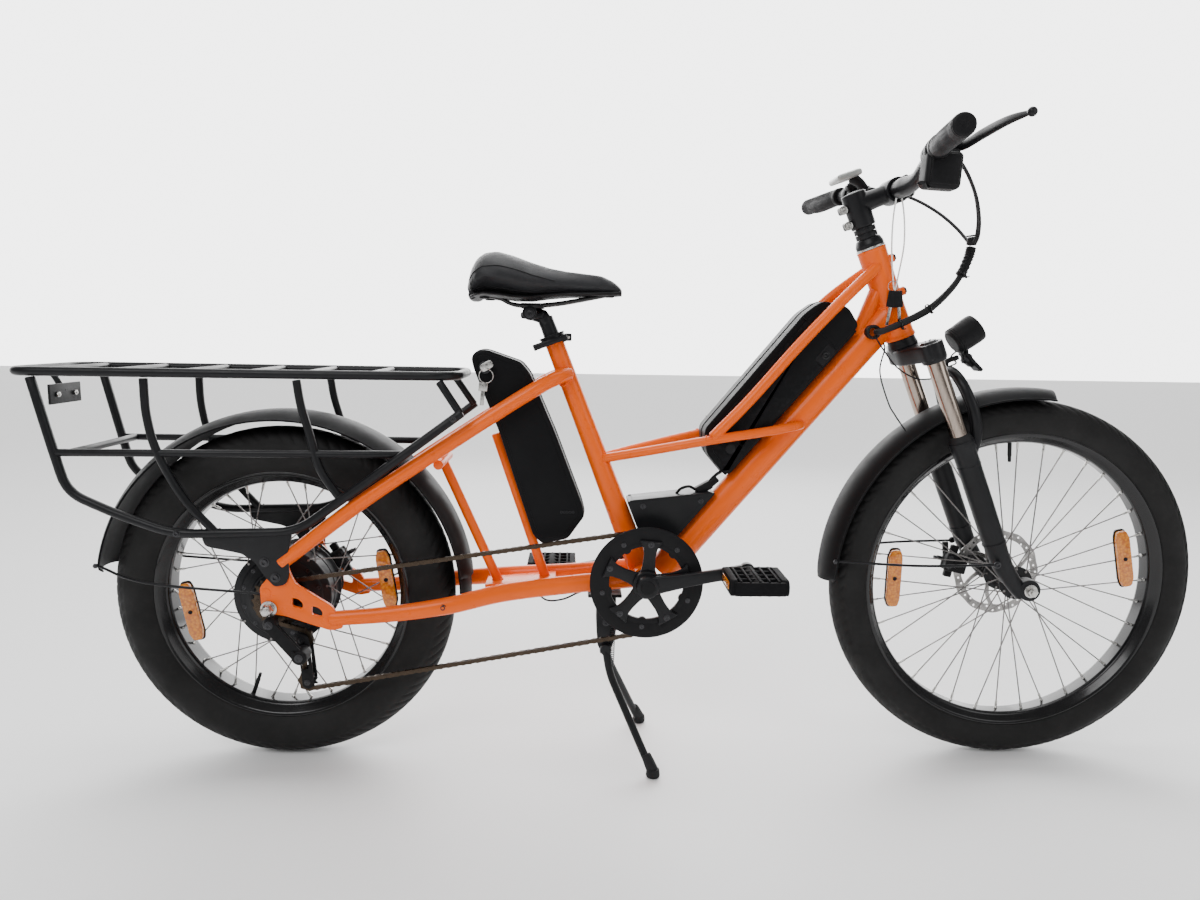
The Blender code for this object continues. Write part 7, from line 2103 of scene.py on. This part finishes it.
def blended(shape, name, finish, start, end, stands_for=(), slot="black_plastic"):
    """A piece between the frame and the steering, left fixed where it is put; it rides on no body and does
    not bend.
    """
    made = coated(as_object(shape, name, SHIFT), finish, 40.0)
    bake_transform(made)
    for other in stands_for:
        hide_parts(other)


def tie(centre, along, radius):
    """A cable tie: a flat band with its head and cut tail."""
    along = Vector(along).normalized()
    across = (X_AXIS - along * along.x).normalized()
    band = ring(radius, radius + 0.0011, -0.0013, 0.0013, centre, along, 36, 0.0002)
    head = block(Vector(centre) + across * (radius + 0.0016), (0.0036, 0.0042, 0.0040), across, bevel=0.0006)
    tail = block(Vector(centre) + across * (radius + 0.0030) - along.cross(across) * 0.005,
                 (0.0009, 0.010, 0.0024), across, bevel=0.0002)
    return merge(band, head, tail)


def cables():
    path = curve_through(LOOM, 16)
    total = len(path) - 1
    covered = [p for i, p in enumerate(path) if i > total * 0.70]
    core = sweep(path, 0.0050, 24)
    wrap = []
    for i, p in enumerate(covered):
        wrap.append(0.0078 + 0.0007 * cos(i * 2 * pi / 3.0))
    sleeve = sweep(covered, wrap, 28)
    ends = (LOOM[0], LOOM[-1])
    blended(core, "cable_loom_strand", "soft_black", *ends, stands_for=["cable_loom"])
    blended(sleeve, "cable_loom_sleeve", "black_plastic", *ends)
    second = []
    for i, p in enumerate(path):
        turnabout = 2 * pi * i / 46
        second.append(p + Vector((0.0, -0.0048 * cos(turnabout), 0.0052 * sin(turnabout) - 0.001)))
    third = [p + Vector((0.003, 0.0040, -0.0046 + 0.001 * sin(i / 9.0))) for i, p in enumerate(path)]
    blended(merge(sweep(second[2:-2], 0.0021, 14), sweep(third[3:-3], 0.0021, 14)), "cable_loom_wires",
            "black_plastic", *ends)
    ties = []
    for share in (0.72, 0.46, 0.28):
        spot = int(total * share)
        ties.append(tie(path[spot], path[spot + 1] - path[spot - 1], 0.0082 if share > 0.6 else 0.0072))
    blended(merge(*ties), "cable_loom_ties", "black_gloss", *ends)

    right = [(1.052, -0.176, 1.036), (1.085, -0.163, 1.022), (1.123, -0.130, 0.989), (1.151, -0.090, 0.957)]
    right += [(1.170, -0.050, 0.932), (1.1755, -0.0270, 0.9165)]
    left = [(1.052, 0.176, 1.036), (1.080, 0.145, 1.030), (1.115, 0.100, 1.010), (1.143, 0.055, 0.981)]
    left += [(1.163, 0.016, 0.949), (1.1745, -0.0200, 0.9165)]
    pair = [sweep(curve_through(route, 14), 0.0028, 20) for route in (right, left)]
    extra = [p + Vector((0.004, 0.002, -0.006 * sin(pi * i / 70)))
             for i, p in enumerate(curve_through(right, 14))]
    pair.append(sweep(extra, 0.0023, 16))
    cap = sweep([(1.1735, -0.0232, 0.9290), (1.1750, -0.0222, 0.9210), (1.1755, -0.0210, 0.9160)],
                [0.0070, 0.0084, 0.0086], 32)
    show(merge(*pair, cap), "brake_cable_housings", "brake_cables", "soft_black", ["brake_cables"])
    knots = [tie((1.1725, -0.0240, 0.9310), (0.15, 0.02, -1.0), 0.0074)]
    show(merge(*knots), "brake_cable_ties", "brake_cables", "black_gloss")

    loop = curve_through([(1.0320, -0.030, 0.748), (1.0275, -0.048, 0.7374), (1.0205, -0.052, 0.7003),
                          (1.0345, -0.060, 0.6503), (1.0491, -0.058, 0.6273), (1.0720, -0.050, 0.6000)], 14)
    cross = curve_through([(1.0140, -0.034, 0.762), (1.0260, -0.046, 0.738), (1.0500, -0.052, 0.708),
                           (1.0850, -0.048, 0.690), (1.1180, -0.044, 0.6900)], 14)
    blended(merge(sweep(loop, 0.0013, 12), sweep(cross, 0.0013, 12)), "thin_cable_loops", "soft_black",
            (1.013, 0.0, 0.765), (1.060, 0.0, 0.690))
    under = curve_through([(0.440, -0.030, 0.3060), (0.4605, -0.040, 0.2933), (0.490, -0.040, 0.2960),
                           (0.520, -0.030, 0.306), (0.560, -0.030, 0.311)], 12)
    show(sweep(under, 0.0016, 12), "underside_wire", "centre_struts", "soft_black")


def key_tag():
    """The loop of white tie that hangs at the stem with the spare keys on it."""
    y = -0.0295
    loop = [(1.0425, y + 0.002, 1.0010), (1.0490, y, 0.985), (1.0545, y - 0.001, 0.950),
            (1.0560, y - 0.001, 0.910),
            (1.0500, y - 0.001, 0.865), (1.0450, y - 0.001, 0.838), (1.0400, y - 0.001, 0.865),
            (1.0355, y - 0.001, 0.910),
            (1.0350, y - 0.001, 0.955), (1.0385, y, 0.988)]
    path = curve_through(loop + [loop[0]], 10)[:-1]
    show(sweep(path, 0.0013, 12, flatten=1.5, closed=True, side_hint=Y_AXIS), "key_tie", "stem", "white_tie")
    keys, blades = [], []
    for shift, lean in ((-0.006, -0.14), (0.009, 0.12)):
        down = Vector((lean, 0.0, -1.0)).normalized()
        start = Vector((1.0450 + shift * 0.5, y - 0.002 - abs(shift) * 0.2, 0.8360))
        keys.append(block(start + down * 0.013, (0.028, 0.0042, 0.0150), down, bevel=0.0020, segments=4))
        blades.append(block(start + down * 0.042, (0.032, 0.0018, 0.0052), down, bevel=0.0004))
    show(merge(*keys), "spare_key_heads", "stem", "black_plastic")
    hoop = [Vector((1.0410 + 0.0085 * cos(a), y - 0.0035, 0.8445 + 0.0085 * sin(a)))
            for a in (2 * pi * k / 40 for k in range(40))]
    blades.append(sweep(hoop, 0.0006, 8, closed=True))
    show(merge(*blades), "spare_key_blades", "stem", "steel")


# ---------------------------------------------------------------- the whole
camera()
studio()
frame_tubes()
rack()
tyre("rear", REAR_AXLE, REAR_WHEEL_R, REAR_TYRE_R, 84)
tyre("front", FRONT_AXLE, FRONT_WHEEL_R, FRONT_TYRE_R, 96)
wheel("rear", REAR_AXLE, REAR_WHEEL_R, REAR_TYRE_R, 0.0835, 0.032, 0.036, REAR_REFLECTORS, radians(250))
wheel("front", FRONT_AXLE, FRONT_WHEEL_R, FRONT_TYRE_R, 0.0292, 0.0290, 0.027, FRONT_REFLECTORS,
      radians(93.8))
rotor("rear", REAR_AXLE, 0.080, 0.0620, 0.0150)
rotor("front", FRONT_AXLE, 0.080, 0.0440, 0.0150)
hubs()
freewheel()
fork()
mudguards()
crankset()
chainring()
pedal("pedal_right", CRANK_TILT, -1)
pedal("pedal_left", CRANK_TILT + pi, 1)
derailleur()
chain()
caliper("rear_caliper", REAR_AXLE, radians(30), 0.0620, 0.080, (0.075, 0.0870, 0.345))
caliper("front_caliper", FRONT_AXLE, radians(168), 0.0440, 0.080, steer(0.085, -0.0200, 0.056))
seat_group()
seat_collar()
rear_battery()
front_battery()
controller()
kickstand()
stem()
handlebar()
grips()
brake_levers()
display()
headlight()
cables()
key_tag()
